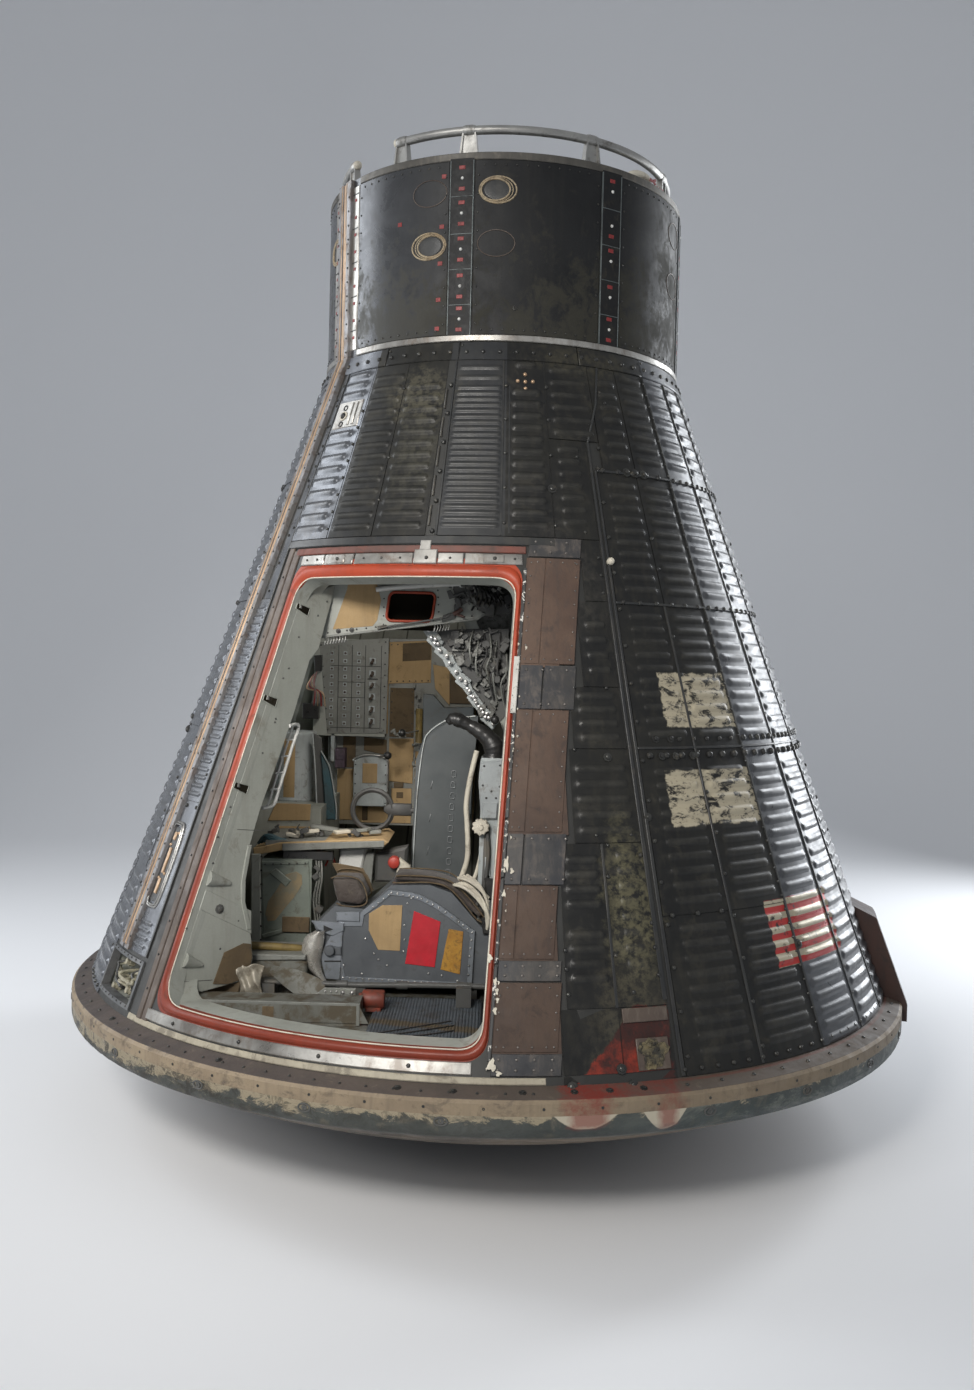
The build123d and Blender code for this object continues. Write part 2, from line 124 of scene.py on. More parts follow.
lamps = {
    # name: (place, point it looks at, width, height, watts, colour, spread in degrees)
    "key": ((-2.3, -3.9, 3.0), (0, 0, 1.0), 1.8, 1.8, 62, (1.0, 0.98, 0.95), 180),
    "leftBox": ((-3.2, 0.4, 2.2), (0, 0, 1.2), 1.2, 3.0, 54, (0.94, 0.97, 1.0), 180),
    "rightBox": ((3.1, 2.0, 1.9), (0.3, 0, 0.9), 0.9, 2.8, 96, (0.94, 0.97, 1.0), 180),
    "hatch": ((-0.80, -3.15, 2.15), (-0.22, -0.2, 0.72), 0.6, 0.5, 8.0, (1.0, 0.96, 0.90), 60),
    "cabin": ((-0.215, -0.30, 1.205), (-0.26, 0.28, 0.80), 0.16, 0.05, 1.0, (1.0, 0.95, 0.88), 150),
    "cabinLow": ((-0.26, -0.335, 0.83), (-0.34, -0.10, 0.60), 0.10, 0.05, 0.18, (1.0, 0.95, 0.88), 150),
}
world = dict(colour=(0.50, 0.52, 0.55), strength=0.62)


def addLamps(table):
    # each lamp is a rectangle of light at its place, turned towards its target
    for name, (place, target, width, height, watts, colour, spread) in table.items():
        data = bpy.data.lights.new(name, "AREA")
        data.shape = "RECTANGLE"
        data.size = width
        data.size_y = height
        data.energy = watts
        data.color = colour
        data.spread = math.radians(spread)
        made = bpy.data.objects.new(name, data)
        made.location = Vector(place) + Vector((0, 0, datum))
        made.rotation_euler = (Vector(target) - Vector(place)).to_track_quat("-Z", "Y").to_euler()
        bpy.context.scene.collection.objects.link(made)


addLamps(lamps)
background = bpy.data.worlds.new("studio")
bpy.context.scene.world = background
background.use_nodes = True
background.node_tree.nodes["Background"].inputs["Color"].default_value = (*world["colour"], 1)
background.node_tree.nodes["Background"].inputs["Strength"].default_value = world["strength"]
bpy.context.scene.view_settings.view_transform = "Standard"


# places on the skin
def skinRadius(z):
    # straight cone: its radius at the joint plus the drop times the tangent of the half angle
    return topRadius + math.tan(coneTilt) * (jointHeight - z)


def basis(az, z, out=0.0, tube=None):
    # point, east, up and outward normal at azimuths (degrees from -Y towards +X) and heights,
    # some way out from the cone, or from an upright tube of the given radius
    az, z, out = np.broadcast_arrays(np.radians(az), np.asarray(z, float), np.asarray(out, float))
    tilt = coneTilt if tube is None else 0.0
    radius = skinRadius(z) if tube is None else tube
    zero = np.zeros_like(z)
    east = np.stack([np.cos(az), np.sin(az), zero], -1)
    normal = np.stack([math.cos(tilt) * np.sin(az), -math.cos(tilt) * np.cos(az), math.sin(tilt) + zero], -1)
    return onCircle(radius, az, z) + normal * out[..., None], east, np.cross(normal, east), normal


def onSkin(az, z, out=0.0, tube=None):
    # point on the cone's skin, or on a tube's, moved outwards
    return basis(az, z, out, tube)[0]


def onCircle(radius, turns, height):
    # points at a radius from the axis and at azimuths in radians
    return np.stack(np.broadcast_arrays(radius * np.sin(turns), -radius * np.cos(turns), height), -1)


def wholeTurn(count):
    # equal steps once round, in radians
    return np.arange(count) * 2 * math.pi / count


# shapes: (points, quads, triangles)
noTriangles = np.zeros((0, 3), int)


def gridQuads(rows, columns, loop=False):
    # quads of a grid whose rows go up and columns go east, so that they face outwards
    i, j = np.meshgrid(np.arange(rows - 1), np.arange(columns if loop else columns - 1), indexing="ij")
    east = (j + 1) % columns
    return np.stack([i * columns + j, i * columns + east, (i + 1) * columns + east, (i + 1) * columns + j],
                    -1).reshape(-1, 4)


def gridShape(points, loop=False):
    # surface through a grid of points, closed on itself across its columns by loop
    rows, columns = points.shape[:2]
    return points.reshape(-1, 3), gridQuads(rows, columns, loop), noTriangles


def fan(first, count, centre, flip=False):
    # triangles from a ring of points to one centre point
    ring = first + np.arange(count)
    following = first + (np.arange(count) + 1) % count
    middle = np.full(count, centre)
    return np.stack([following, ring, middle] if flip else [ring, following, middle], -1)


def ringsShape(rings):
    # closed body through rings of points, (ring, point, xyz), with a fan over each end;
    # points go counter-clockwise seen from the last ring
    rings = np.asarray(rings, float)
    count, around = rings.shape[:2]
    points = np.concatenate([rings.reshape(-1, 3), rings[:1].mean(1), rings[-1:].mean(1)])
    ends = np.concatenate([fan(0, around, count * around, flip=True),
                           fan((count - 1) * around, around, count * around + 1)])
    return points, gridQuads(count, around, loop=True), ends


def turnedShape(profile, segments):
    # closed body turned from a table of radius and height, from its foot to its head
    angle = wholeTurn(segments)
    circle = np.stack([np.cos(angle), np.sin(angle), np.zeros(segments)], -1)
    profile = np.asarray(profile, float)
    return ringsShape(circle[None] * profile[:, None, :1] + profile[:, None, 1:] * np.array([0, 0, 1.0]))


def blockShape(low, high, edge):
    # block between two corners, its twelve edges cut back: an eight-sided outline carried up in four steps
    low, high = np.asarray(low, float), np.asarray(high, float)

    def outline(inset):
        x0, y0, x1, y1 = low[0] + inset, low[1] + inset, high[0] - inset, high[1] - inset
        return [(x0 + edge, y0), (x1 - edge, y0), (x1, y0 + edge), (x1, y1 - edge), (x1 - edge, y1),
                (x0 + edge, y1), (x0, y1 - edge), (x0, y0 + edge)]

    steps = [(edge, low[2]), (0, low[2] + edge), (0, high[2] - edge), (edge, high[2])]
    return ringsShape([[(x, y, z) for x, y in outline(inset)] for inset, z in steps])


def insetOutline(outline, inset):
    # every side moved inwards by the same amount; the outline goes counter-clockwise
    outline = np.asarray(outline, float)
    before, after = outline - np.roll(outline, 1, 0), np.roll(outline, -1, 0) - outline
    first, second = (np.stack([-d[:, 1], d[:, 0]], -1) / np.linalg.norm(d, axis=1)[:, None]
                     for d in (before, after))
    bisector = first + second
    return outline + 2 * inset * bisector / np.maximum((bisector ** 2).sum(1), 0.5)[:, None]


def turnedLeft(outline):
    # the outline counter-clockwise, by the sign of its area
    x, y = np.asarray(outline, float).T
    area = (x * np.roll(y, -1) - np.roll(x, -1) * y).sum()
    return np.asarray(outline, float)[:: 1 if area > 0 else -1]


def slabShape(outline, thick, edge=0.0012):
    # flat plate of any outline in east and up: its face is at normal 0 and its edges are cut back
    outline = turnedLeft(outline)
    count = len(outline)
    rings = [np.column_stack([insetOutline(outline, inset), np.full(count, level)])
             for inset, level in ((edge, -thick), (0, edge - thick), (0, -edge), (edge, 0))]
    cap = np.array(tessellate_polygon([[Vector((x, y, 0)) for x, y, _ in rings[3]]]))
    a, b, c = (rings[3][cap[:, i], :2] for i in range(3))
    turn = (b - a)[:, 0] * (c - a)[:, 1] - (b - a)[:, 1] * (c - a)[:, 0]
    cap[turn < 0] = cap[turn < 0][:, ::-1]
    return (np.concatenate(rings), gridQuads(4, count, loop=True),
            np.concatenate([cap[:, ::-1], cap + 3 * count]))


def joinShapes(shapes):
    # several shapes as one: each one's faces count on from the points before it
    points, quads, triangles, start = [], [], [], 0
    for p, q, t in shapes:
        points.append(p)
        quads.append(q + start)
        triangles.append(t + start)
        start += len(p)
    return np.concatenate(points), np.concatenate(quads), np.concatenate(triangles)


def moved(shape, origin=(0, 0, 0), east=(1, 0, 0), up=(0, 1, 0), normal=(0, 0, 1)):
    # shape drawn in east, up and normal, set down at a point
    points, quads, triangles = shape
    axes = np.array([east, up, normal], float)
    return points @ axes + np.asarray(origin, float), quads, triangles


def scattered(shape, frames, scale=1.0):
    # the shape set down once in every frame (point, east, up, normal), all in one mesh
    points, quads, triangles = shape
    origin, *axes = (np.asarray(f, float).reshape(-1, 3) for f in frames)
    scale = np.broadcast_to(scale, len(origin))[:, None, None]
    axes = np.stack([np.broadcast_to(axis, origin.shape) for axis in axes], 1)
    placed = np.einsum("pk,nkx->npx", points, axes) * scale + origin[:, None, :]
    step = (np.arange(len(origin)) * len(points))[:, None, None]
    return (placed.reshape(-1, 3), (quads[None] + step).reshape(-1, quads.shape[1]),
            (triangles[None] + step).reshape(-1, triangles.shape[1]))


def plateShape(az, z, thick, edge=0.0015, out=0.0, tube=None, step=1.5, sunk=0.002):
    # plate bent to the skin: flat top at `thick`, cut-back edges, sides that go down into the skin;
    # its west and east edges are azimuths, or functions of the height
    heights = np.array([z[0], z[0], z[0] + edge, (z[0] + z[1]) / 2, z[1] - edge, z[1], z[1]])
    west, east = (side(heights) if callable(side) else np.full(len(heights), float(side)) for side in az)
    radius = skinRadius(heights) if tube is None else np.full(len(heights), tube)
    wide = float(np.mean(east - west))
    turn = np.degrees(edge / radius) / (east - west)
    inner = np.linspace(0, 1, max(2, int(wide / step) + 1))
    share = turn[:, None] + (1 - 2 * turn[:, None]) * inner[None, :]
    share = np.hstack([np.zeros((len(heights), 2)), share, np.ones((len(heights), 2))])
    azimuths = west[:, None] + share * (east - west)[:, None]
    across = np.array([-sunk, thick - edge] + [thick] * len(inner) + [thick - edge, -sunk])
    along = np.array([-sunk, thick - edge, thick, thick, thick, thick - edge, -sunk])
    top = np.minimum(across[None, :], along[:, None])
    return gridShape(onSkin(azimuths, heights[:, None], out + top, tube))


def pipeShape(path, radius, sides=8, closed=False):
    # circle carried along a path, kept square to it by a frame that turns as little as it can
    path = np.asarray(path, float)
    count = len(path)
    along = np.roll(path, -1, 0) - np.roll(path, 1, 0) if closed else np.gradient(path, axis=0)
    along /= np.linalg.norm(along, axis=1)[:, None]
    side = np.cross(along[0], [0.31, 0.17, 0.93])
    across = []
    for direction in along:
        side = side - direction * (side @ direction)
        side /= np.linalg.norm(side)
        across.append(side)
    across = np.array(across)
    other = np.cross(along, across)
    angle = wholeTurn(sides)
    radius = np.broadcast_to(radius, count)[:, None, None]
    rings = path[:, None] + radius * (np.cos(angle)[None, :, None] * across[:, None]
                                      + np.sin(angle)[None, :, None] * other[:, None])
    if not closed:
        return ringsShape(rings)
    quads = gridQuads(count + 1, sides, loop=True) % (count * sides)
    return rings.reshape(-1, 3), quads, noTriangles


def bent(points, steps=6):
    # smooth line through a fixed pipe's bends: each stretch is a cubic of its two ends and their neighbours
    points = np.asarray(points, float)
    p = np.concatenate([2 * points[:1] - points[1:2], points, 2 * points[-1:] - points[-2:-1]])
    t = (np.arange(steps) / steps)[None, :, None]
    a, b, c, d = (p[i:len(p) - 3 + i, None] for i in range(4))
    curve = 0.5 * (2 * b + (c - a) * t + (2 * a - 5 * b + 4 * c - d) * t ** 2
                   + (3 * b - a - 3 * c + d) * t ** 3)
    return np.concatenate([curve.reshape(-1, points.shape[1]), points[-1:]])


def addPiece(name, shapes, finishName, attributes=None, sharp=38):
    # one mesh object from one or more shapes, smooth except across edges sharper than an angle in degrees
    points, quads, triangles = joinShapes(shapes if isinstance(shapes, list) else [shapes])
    points = points + (0, 0, datum)
    mesh = bpy.data.meshes.new(name)
    corners = np.concatenate([quads.ravel(), triangles.ravel()]).astype(np.int32)
    starts = np.concatenate([np.arange(len(quads)) * 4, len(quads) * 4 + np.arange(len(triangles)) * 3])
    mesh.vertices.add(len(points))
    mesh.vertices.foreach_set("co", points.ravel().astype(np.float32))
    mesh.loops.add(len(corners))
    mesh.loops.foreach_set("vertex_index", corners)
    mesh.polygons.add(len(starts))
    mesh.polygons.foreach_set("loop_start", starts.astype(np.int32))
    mesh.update(calc_edges=True)
    mesh.validate()
    for key, values in (attributes or {}).items():
        mesh.attributes.new(key, "FLOAT", "POINT").data.foreach_set("value", np.asarray(values, np.float32))
    mesh.shade_smooth()
    mesh.set_sharp_from_angle(angle=math.radians(sharp))
    mesh.materials.append(mat[finishName])
    made = bpy.data.objects.new(name, mesh)
    bpy.context.scene.collection.objects.link(made)
    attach(made, "root")
    return made


def addHeads(name, shapes, finishName="rivet"):
    # rivets, bolts and other small turned pieces, whose edges all stay sharp
    return addPiece(name, shapes, finishName, sharp=25)


# material helpers
class Shade:
    # value that a shader works out at each point; sums and products of such values are written like any other
    __array_ufunc__ = None  # a numpy number on the left leaves the sum to this class

    def __init__(self, tree, socket):
        self.tree, self.socket = tree, socket

    def __add__(self, other):
        return calc("ADD", self, other)

    def __sub__(self, other):
        return calc("SUBTRACT", self, other)

    def __rsub__(self, other):
        return calc("SUBTRACT", other, self)

    def __mul__(self, other):
        return calc("MULTIPLY", self, other)

    def __truediv__(self, other):
        return calc("DIVIDE", self, other)


def feed(socket, value):
    # links a value to a socket, or sets the socket when the value is a plain number or colour
    if isinstance(value, Shade):
        value.tree.links.new(value.socket, socket)
    elif isinstance(value, (tuple, list)) and len(value) == 3 and socket.type == "RGBA":
        socket.default_value = (*value, 1)
    else:
        socket.default_value = value


def treeOf(values):
    # the node tree of the first shader value among some
    return next(value.tree for value in values if isinstance(value, Shade))


def node(tree, kind, out=0, **values):
    # shader node: lower-case names are its settings, capitalised names its sockets
    made = tree.nodes.new("ShaderNode" + kind)
    for key, value in values.items():
        if key[0].islower():
            setattr(made, key, value)
    for key, value in values.items():
        if key[0].isupper():
            feed(made.inputs[key.replace("_", " ")], value)
    return Shade(tree, made.outputs[out])


def calc(operation, *values):
    # arithmetic of shader values and numbers
    tree = treeOf(values)
    made = tree.nodes.new("ShaderNodeMath")
    made.operation = operation
    for socket, value in zip(made.inputs, values):
        feed(socket, value)
    return Shade(tree, made.outputs[0])


def mix(factor, first, second):
    # from the first colour to the second by a factor of 0 to 1
    tree = treeOf((factor, first, second))
    made = tree.nodes.new("ShaderNodeMix")
    made.data_type = "RGBA"
    for index, value in ((0, factor), (6, first), (7, second)):
        feed(made.inputs[index], value)
    return Shade(tree, made.outputs[2])


def ramp(value, low, high, first=0.0, last=1.0):
    # value stretched from low..high to first..last, held at both ends
    return node(value.tree, "MapRange", Value=value, From_Min=low, From_Max=high, To_Min=first, To_Max=last)


def noise(place, scale, detail=4.0, roughness=0.55, distortion=0.0, stretch=None):
    # cloudy value from 0 to 1; stretch multiplies the place's three coordinates first
    if stretch:
        made = place.tree.nodes.new("ShaderNodeVectorMath")
        made.operation = "MULTIPLY"
        feed(made.inputs[0], place)
        made.inputs[1].default_value = stretch
        place = Shade(place.tree, made.outputs[0])
    return node(place.tree, "TexNoise", Vector=place, Scale=scale, Detail=detail, Roughness=roughness,
                Distortion=distortion)


def newMaterial(name):
    # the material, its main shader and the point's own place
    material = bpy.data.materials.new(name)
    material.use_nodes = True
    tree = material.node_tree
    place = Shade(tree, tree.nodes.new("ShaderNodeTexCoord").outputs["Object"])
    return material, tree.nodes["Principled BSDF"], place


def coordinates(place):
    # x, y and z of a place
    split = place.tree.nodes.new("ShaderNodeSeparateXYZ")
    feed(split.inputs[0], place)
    return [Shade(place.tree, socket) for socket in split.outputs]


def polar(place):
    # azimuth in degrees, height and radius of the point
    x, y, z = coordinates(place)
    angle = calc("ARCTAN2", x, y * -1.0)
    radius = calc("SQRT", x * x + y * y)
    return angle * (180 / math.pi), z - datum, radius


def between(value, low, high, scale=1.0):
    # how far a value is inside a range, times a scale: negative outside it
    inside = calc("MINIMUM", value - low, high - value)
    return inside * scale if scale != 1.0 else inside


def grow(depth, ragged, amount, soft):
    # 0 to 1 mask from a depth inside a shape, its edge made ragged by a noise
    edge = (ragged - 0.5) * amount
    return ramp(depth + edge, -soft, soft)


plainFinish = dict(
    second=None,  # the other tone, in broad patches
    dirt=(0.05, 0.045, 0.038),
    dirtFrom=0.55,  # noise level where dirt starts: lower is dirtier
    dirtAmount=0.6,
    patch=6.0,
    grain=260.0,
    grainDepth=0.12,
    dents=0.0,
    rough=(0.4, 0.62),
    metallic=0.0,
    streak=0.0,  # share of vertical streaks
    chip=None,  # colour under the paint
    chipFrom=0.68,
    footShade=None,  # painted shade: two heights and how much darker the surface is at the lower one
    specular=0.5,
)


def layers(place, look):
    # colour, roughness and height of a used surface: two tones, dirt, streaks and chips from noises
    look = {**plainFinish, **look}
    patches = noise(place, look["patch"], 5, 0.6)
    grime = noise(place, look["patch"] * 2.6, 9, 0.68, 0.5)
    fine = noise(place, look["grain"], 3, 0.6)
    second = look["second"] or tuple(0.78 * c for c in look["base"])
    colour = mix(ramp(patches, 0.4, 0.62), look["base"], second)
    if look["streak"]:
        lines = noise(place, look["patch"] * 9, 4, 0.6, 0.2, stretch=(1, 1, 0.07))
        colour = mix(ramp(lines, 0.5, 0.68) * look["streak"], colour, look["dirt"])
    dirt = ramp(grime, look["dirtFrom"], look["dirtFrom"] + 0.1) * look["dirtAmount"]
    colour = mix(dirt, colour, look["dirt"])
    if look["chip"]:
        marks = noise(place, look["patch"] * 11, 6, 0.7, 0.8)
        colour = mix(ramp(marks, look["chipFrom"], look["chipFrom"] + 0.02), colour, look["chip"])
    colour = mix(ramp(fine, 0.3, 0.7, 0.0, 0.16), colour, tuple(0.55 * c for c in look["base"]))
    # painted shade: the colour darkens towards the foot, between two heights
    if look["footShade"]:
        low, high, amount = look["footShade"]
        colour = mix(ramp(coordinates(place)[2], low + datum, high + datum, amount, 0.0), colour,
                     tuple(0.16 * c for c in look["base"]))
    roughness = ramp(grime, 0.35, 0.65, *look["rough"])
    height = fine * (look["grainDepth"] * 0.001)
    if look["dents"]:
        wide = noise(place, 14.0, 2, 0.5)
        height = height + wide * (look["dents"] * 0.001)
    return colour, roughness, height


def finish(shader, colour, roughness, height, look):
    # joins colour, roughness and bumps to the shader
    feed(shader.inputs["Base Color"], colour)
    feed(shader.inputs["Roughness"], roughness)
    shader.inputs["Metallic"].default_value = look.get("metallic", 0.0)
    shader.inputs["Specular IOR Level"].default_value = look.get("specular", 0.5)
    feed(shader.inputs["Normal"], node(height.tree, "Bump", Height=height, Strength=1.0, Distance=1.0))


def weathered(name, look):
    # material of one worn paint or metal
    material, shader, place = newMaterial(name)
    colour, roughness, height = layers(place, look)
    finish(shader, colour, roughness, height, look)
    return material


finishes = {
    "cabinGrey": dict(base=(0.335, 0.345, 0.31), second=(0.285, 0.295, 0.262), dirt=(0.13, 0.11, 0.08),
                      dirtFrom=0.57, streak=0.2, rough=(0.38, 0.6), chip=(0.42, 0.41, 0.38), chipFrom=0.72),
    "blueGrey": dict(base=(0.125, 0.145, 0.155), second=(0.10, 0.118, 0.128), dirt=(0.10, 0.09, 0.07),
                     rough=(0.35, 0.55), chip=(0.40, 0.40, 0.37), chipFrom=0.73),
    "darkGrey": dict(base=(0.085, 0.085, 0.08), second=(0.06, 0.06, 0.058), dirt=(0.12, 0.10, 0.07),
                     rough=(0.4, 0.65)),
    "steel": dict(base=(0.46, 0.455, 0.44), second=(0.34, 0.335, 0.325), dirt=(0.16, 0.14, 0.11),
                  dirtFrom=0.6, metallic=0.8, rough=(0.28, 0.5), patch=11.0),
    "rail": dict(base=(0.43, 0.425, 0.405), second=(0.33, 0.325, 0.31), dirt=(0.10, 0.09, 0.075),
                 dirtFrom=0.54, metallic=0.75, rough=(0.32, 0.55), patch=14.0),
    "rivet": dict(base=(0.07, 0.07, 0.065), second=(0.045, 0.045, 0.045), dirt=(0.14, 0.12, 0.09),
                  metallic=0.6, rough=(0.3, 0.5), patch=30.0),
    "blackMetal": dict(base=(0.022, 0.023, 0.024), second=(0.032, 0.033, 0.032), dirt=(0.08, 0.07, 0.055),
                       dirtFrom=0.6, dirtAmount=0.45, rough=(0.28, 0.5), streak=0.25),
    # the brown plates darken towards their foot: painted shade
    "brownPlate": dict(base=(0.112, 0.072, 0.052), second=(0.082, 0.052, 0.039), dirt=(0.045, 0.038, 0.036),
                       rough=(0.5, 0.75), streak=0.4, patch=10.0, grainDepth=0.25, footShade=(0.5, 1.15, 0.42),
                       specular=0.35),
    "cream": dict(base=(0.62, 0.58, 0.48), second=(0.52, 0.48, 0.40), dirt=(0.2, 0.17, 0.13),
                  rough=(0.5, 0.7), patch=16.0),
    "whitePaint": dict(base=(0.68, 0.68, 0.65), second=(0.60, 0.60, 0.57), dirt=(0.2, 0.18, 0.15),
                       dirtFrom=0.6, rough=(0.35, 0.55), patch=12.0),
    # the seal darkens towards its foot: painted shade
    "orangeSeal": dict(base=(0.36, 0.050, 0.018), second=(0.28, 0.040, 0.016), dirt=(0.12, 0.040, 0.024),
                       dirtFrom=0.58, rough=(0.34, 0.55), patch=12.0, streak=0.15, footShade=(0.34, 0.95, 0.55),
                       specular=0.4),
    "copper": dict(base=(0.60, 0.42, 0.27), second=(0.45, 0.30, 0.19), dirt=(0.12, 0.09, 0.07),
                   dirtFrom=0.56, metallic=0.5, rough=(0.3, 0.5), patch=14.0, streak=0.3),
    "redPaint": dict(base=(0.42, 0.05, 0.035), second=(0.34, 0.04, 0.03), dirt=(0.1, 0.05, 0.04),
                     rough=(0.4, 0.6), patch=20.0),
    "blackPlastic": dict(base=(0.018, 0.018, 0.018), second=(0.028, 0.027, 0.026), dirt=(0.09, 0.08, 0.07),
                         dirtFrom=0.62, rough=(0.25, 0.5), patch=20.0),
    "darkRubber": dict(base=(0.045, 0.045, 0.045), second=(0.06, 0.058, 0.055), rough=(0.5, 0.75),
                       patch=20.0),
    "fairing": dict(base=(0.055, 0.021, 0.013), second=(0.032, 0.014, 0.010), dirt=(0.014, 0.011, 0.010),
                    rough=(0.35, 0.6), streak=0.4, patch=9.0, chip=(0.3, 0.24, 0.19), chipFrom=0.74),
    "silverBand": dict(base=(0.50, 0.49, 0.46), second=(0.20, 0.19, 0.175), dirt=(0.13, 0.09, 0.065),
                       dirtFrom=0.54, metallic=0.65, rough=(0.24, 0.44), patch=6.5, streak=0.3),
    "creamStrip": dict(base=(0.42, 0.38, 0.29), second=(0.33, 0.295, 0.225), dirt=(0.12, 0.10, 0.08),
                       dirtFrom=0.52, rough=(0.5, 0.7), patch=13.0, streak=0.2),
    "strapCell": dict(base=(0.010, 0.0105, 0.0115), second=(0.016, 0.016, 0.016), dirt=(0.045, 0.04, 0.03),
                      rough=(0.45, 0.65), patch=16.0, specular=0.3),
    "sleeveGrey": dict(base=(0.30, 0.31, 0.28), second=(0.25, 0.26, 0.235), dirt=(0.13, 0.11, 0.08),
                       dirtFrom=0.57, streak=0.2, rough=(0.4, 0.6), chip=(0.42, 0.41, 0.38), chipFrom=0.72),
    "blockWhite": dict(base=(0.36, 0.385, 0.39), second=(0.29, 0.31, 0.315), dirt=(0.15, 0.13, 0.10),
                       dirtFrom=0.54, rough=(0.35, 0.55), patch=12.0),
    "relayRed": dict(base=(0.22, 0.042, 0.022), second=(0.15, 0.035, 0.022), dirt=(0.06, 0.04, 0.03),
                     dirtFrom=0.5, rough=(0.45, 0.65), patch=26.0),
    "tanSmear": dict(base=(0.30, 0.225, 0.125), second=(0.22, 0.185, 0.12), dirt=(0.17, 0.185, 0.155),
                     dirtFrom=0.5, rough=(0.7, 0.9), patch=13.0),
    "void": dict(base=(0.007, 0.006, 0.004), second=(0.016, 0.013, 0.008), rough=(0.85, 0.95),
                 specular=0.1),
    "rimMetal": dict(base=(0.115, 0.108, 0.095), second=(0.075, 0.07, 0.062), dirt=(0.19, 0.17, 0.14),
                     metallic=0.4, rough=(0.35, 0.55), patch=14.0, streak=0.3),
    "frameBrown": dict(base=(0.115, 0.088, 0.070), second=(0.085, 0.064, 0.053), dirt=(0.2, 0.17, 0.14),
                       dirtFrom=0.62, rough=(0.4, 0.65), patch=8.0, streak=0.35, metallic=0.2),
    "strapEdge": dict(base=(0.13, 0.15, 0.15), second=(0.085, 0.095, 0.095), metallic=0.3, rough=(0.4, 0.6),
                      patch=22.0),
    "chipRed": dict(base=(0.27, 0.028, 0.028), second=(0.20, 0.022, 0.022), dirt=(0.06, 0.02, 0.02),
                    patch=60.0, rough=(0.4, 0.6)),
    "dullHead": dict(base=(0.22, 0.20, 0.185), second=(0.13, 0.12, 0.11), metallic=0.6, rough=(0.35, 0.55),
                     patch=50.0),
    "ringCream": dict(base=(0.40, 0.33, 0.22), second=(0.30, 0.22, 0.13), dirt=(0.08, 0.06, 0.045),
                      dirtFrom=0.5, patch=30.0, rough=(0.5, 0.75)),
    "racewayMetal": dict(base=(0.30, 0.30, 0.31), second=(0.22, 0.21, 0.20), dirt=(0.12, 0.075, 0.05),
                         dirtFrom=0.5, metallic=0.55, rough=(0.3, 0.5), patch=12.0, streak=0.4),
    "brownRed": dict(base=(0.16, 0.05, 0.035), second=(0.10, 0.05, 0.04), dirt=(0.05, 0.04, 0.035),
                     rough=(0.45, 0.7), patch=14.0),
    "chipped": dict(base=(0.035, 0.035, 0.035), second=(0.05, 0.05, 0.05), dirt=(0.09, 0.08, 0.07),
                    chip=(0.72, 0.70, 0.64), chipFrom=0.56, patch=5.0, rough=(0.45, 0.7)),
    "chippedWhite": dict(base=(0.55, 0.54, 0.50), second=(0.42, 0.41, 0.37), dirt=(0.10, 0.09, 0.08),
                         chip=(0.035, 0.035, 0.033), chipFrom=0.60, patch=14.0, rough=(0.4, 0.6)),
    "bluePlate": dict(base=(0.030, 0.031, 0.035), second=(0.050, 0.047, 0.044), dirt=(0.12, 0.10, 0.085),
                      dirtFrom=0.54, rough=(0.35, 0.6), patch=9.0, streak=0.4, chip=(0.36, 0.34, 0.30),
                      chipFrom=0.70),
    "tornFoam": dict(base=(0.16, 0.13, 0.07), second=(0.03, 0.03, 0.025), dirt=(0.015, 0.015, 0.015),
                     dirtFrom=0.48, dirtAmount=0.95, patch=34.0, grain=120.0, grainDepth=1.4,
                     rough=(0.7, 0.9)),
    "bayRim": dict(base=(0.10, 0.105, 0.11), second=(0.16, 0.16, 0.16), metallic=0.5,
                   dirt=(0.05, 0.045, 0.04), rough=(0.35, 0.55), patch=16.0),
    "wireCream": dict(base=(0.38, 0.35, 0.26), second=(0.26, 0.25, 0.18), patch=40.0,
                      dirt=(0.07, 0.06, 0.04), dirtFrom=0.5, rough=(0.5, 0.75)),
    "windowFrame": dict(base=(0.11, 0.115, 0.12), second=(0.17, 0.17, 0.175), metallic=0.6,
                        dirt=(0.07, 0.06, 0.05), rough=(0.32, 0.5), patch=14.0, streak=0.3),
    "deck": dict(base=(0.30, 0.30, 0.28), second=(0.22, 0.22, 0.20), metallic=0.45, patch=8.0,
                 dirt=(0.10, 0.085, 0.06), dirtFrom=0.52, rough=(0.4, 0.62)),
    "canister": dict(base=(0.34, 0.33, 0.29), second=(0.27, 0.26, 0.23), metallic=0.3,
                     dirt=(0.09, 0.08, 0.06), rough=(0.4, 0.6), patch=9.0),
    "panelGrey": dict(base=(0.22, 0.225, 0.205), second=(0.18, 0.185, 0.17), dirt=(0.09, 0.08, 0.06),
                      streak=0.15, rough=(0.42, 0.62), patch=14.0),
    "tanCloth": dict(base=(0.42, 0.29, 0.145), second=(0.35, 0.24, 0.12), dirt=(0.10, 0.08, 0.05),
                     dirtFrom=0.6, rough=(0.75, 0.95), patch=12.0, grain=420.0, grainDepth=0.35,
                     streak=0.12),
    "brownCloth": dict(base=(0.135, 0.095, 0.052), second=(0.10, 0.072, 0.042), dirt=(0.06, 0.05, 0.035),
                       rough=(0.8, 0.95), patch=16.0, grain=420.0, grainDepth=0.35),
    "seatGrey": dict(base=(0.125, 0.135, 0.145), second=(0.10, 0.108, 0.118), dirt=(0.06, 0.056, 0.048),
                     dirtFrom=0.6, rough=(0.32, 0.55), patch=10.0, metallic=0.25, chip=(0.4, 0.4, 0.38),
                     chipFrom=0.76),
    "seatEdge": dict(base=(0.26, 0.28, 0.31), second=(0.20, 0.22, 0.24), dirt=(0.08, 0.075, 0.06),
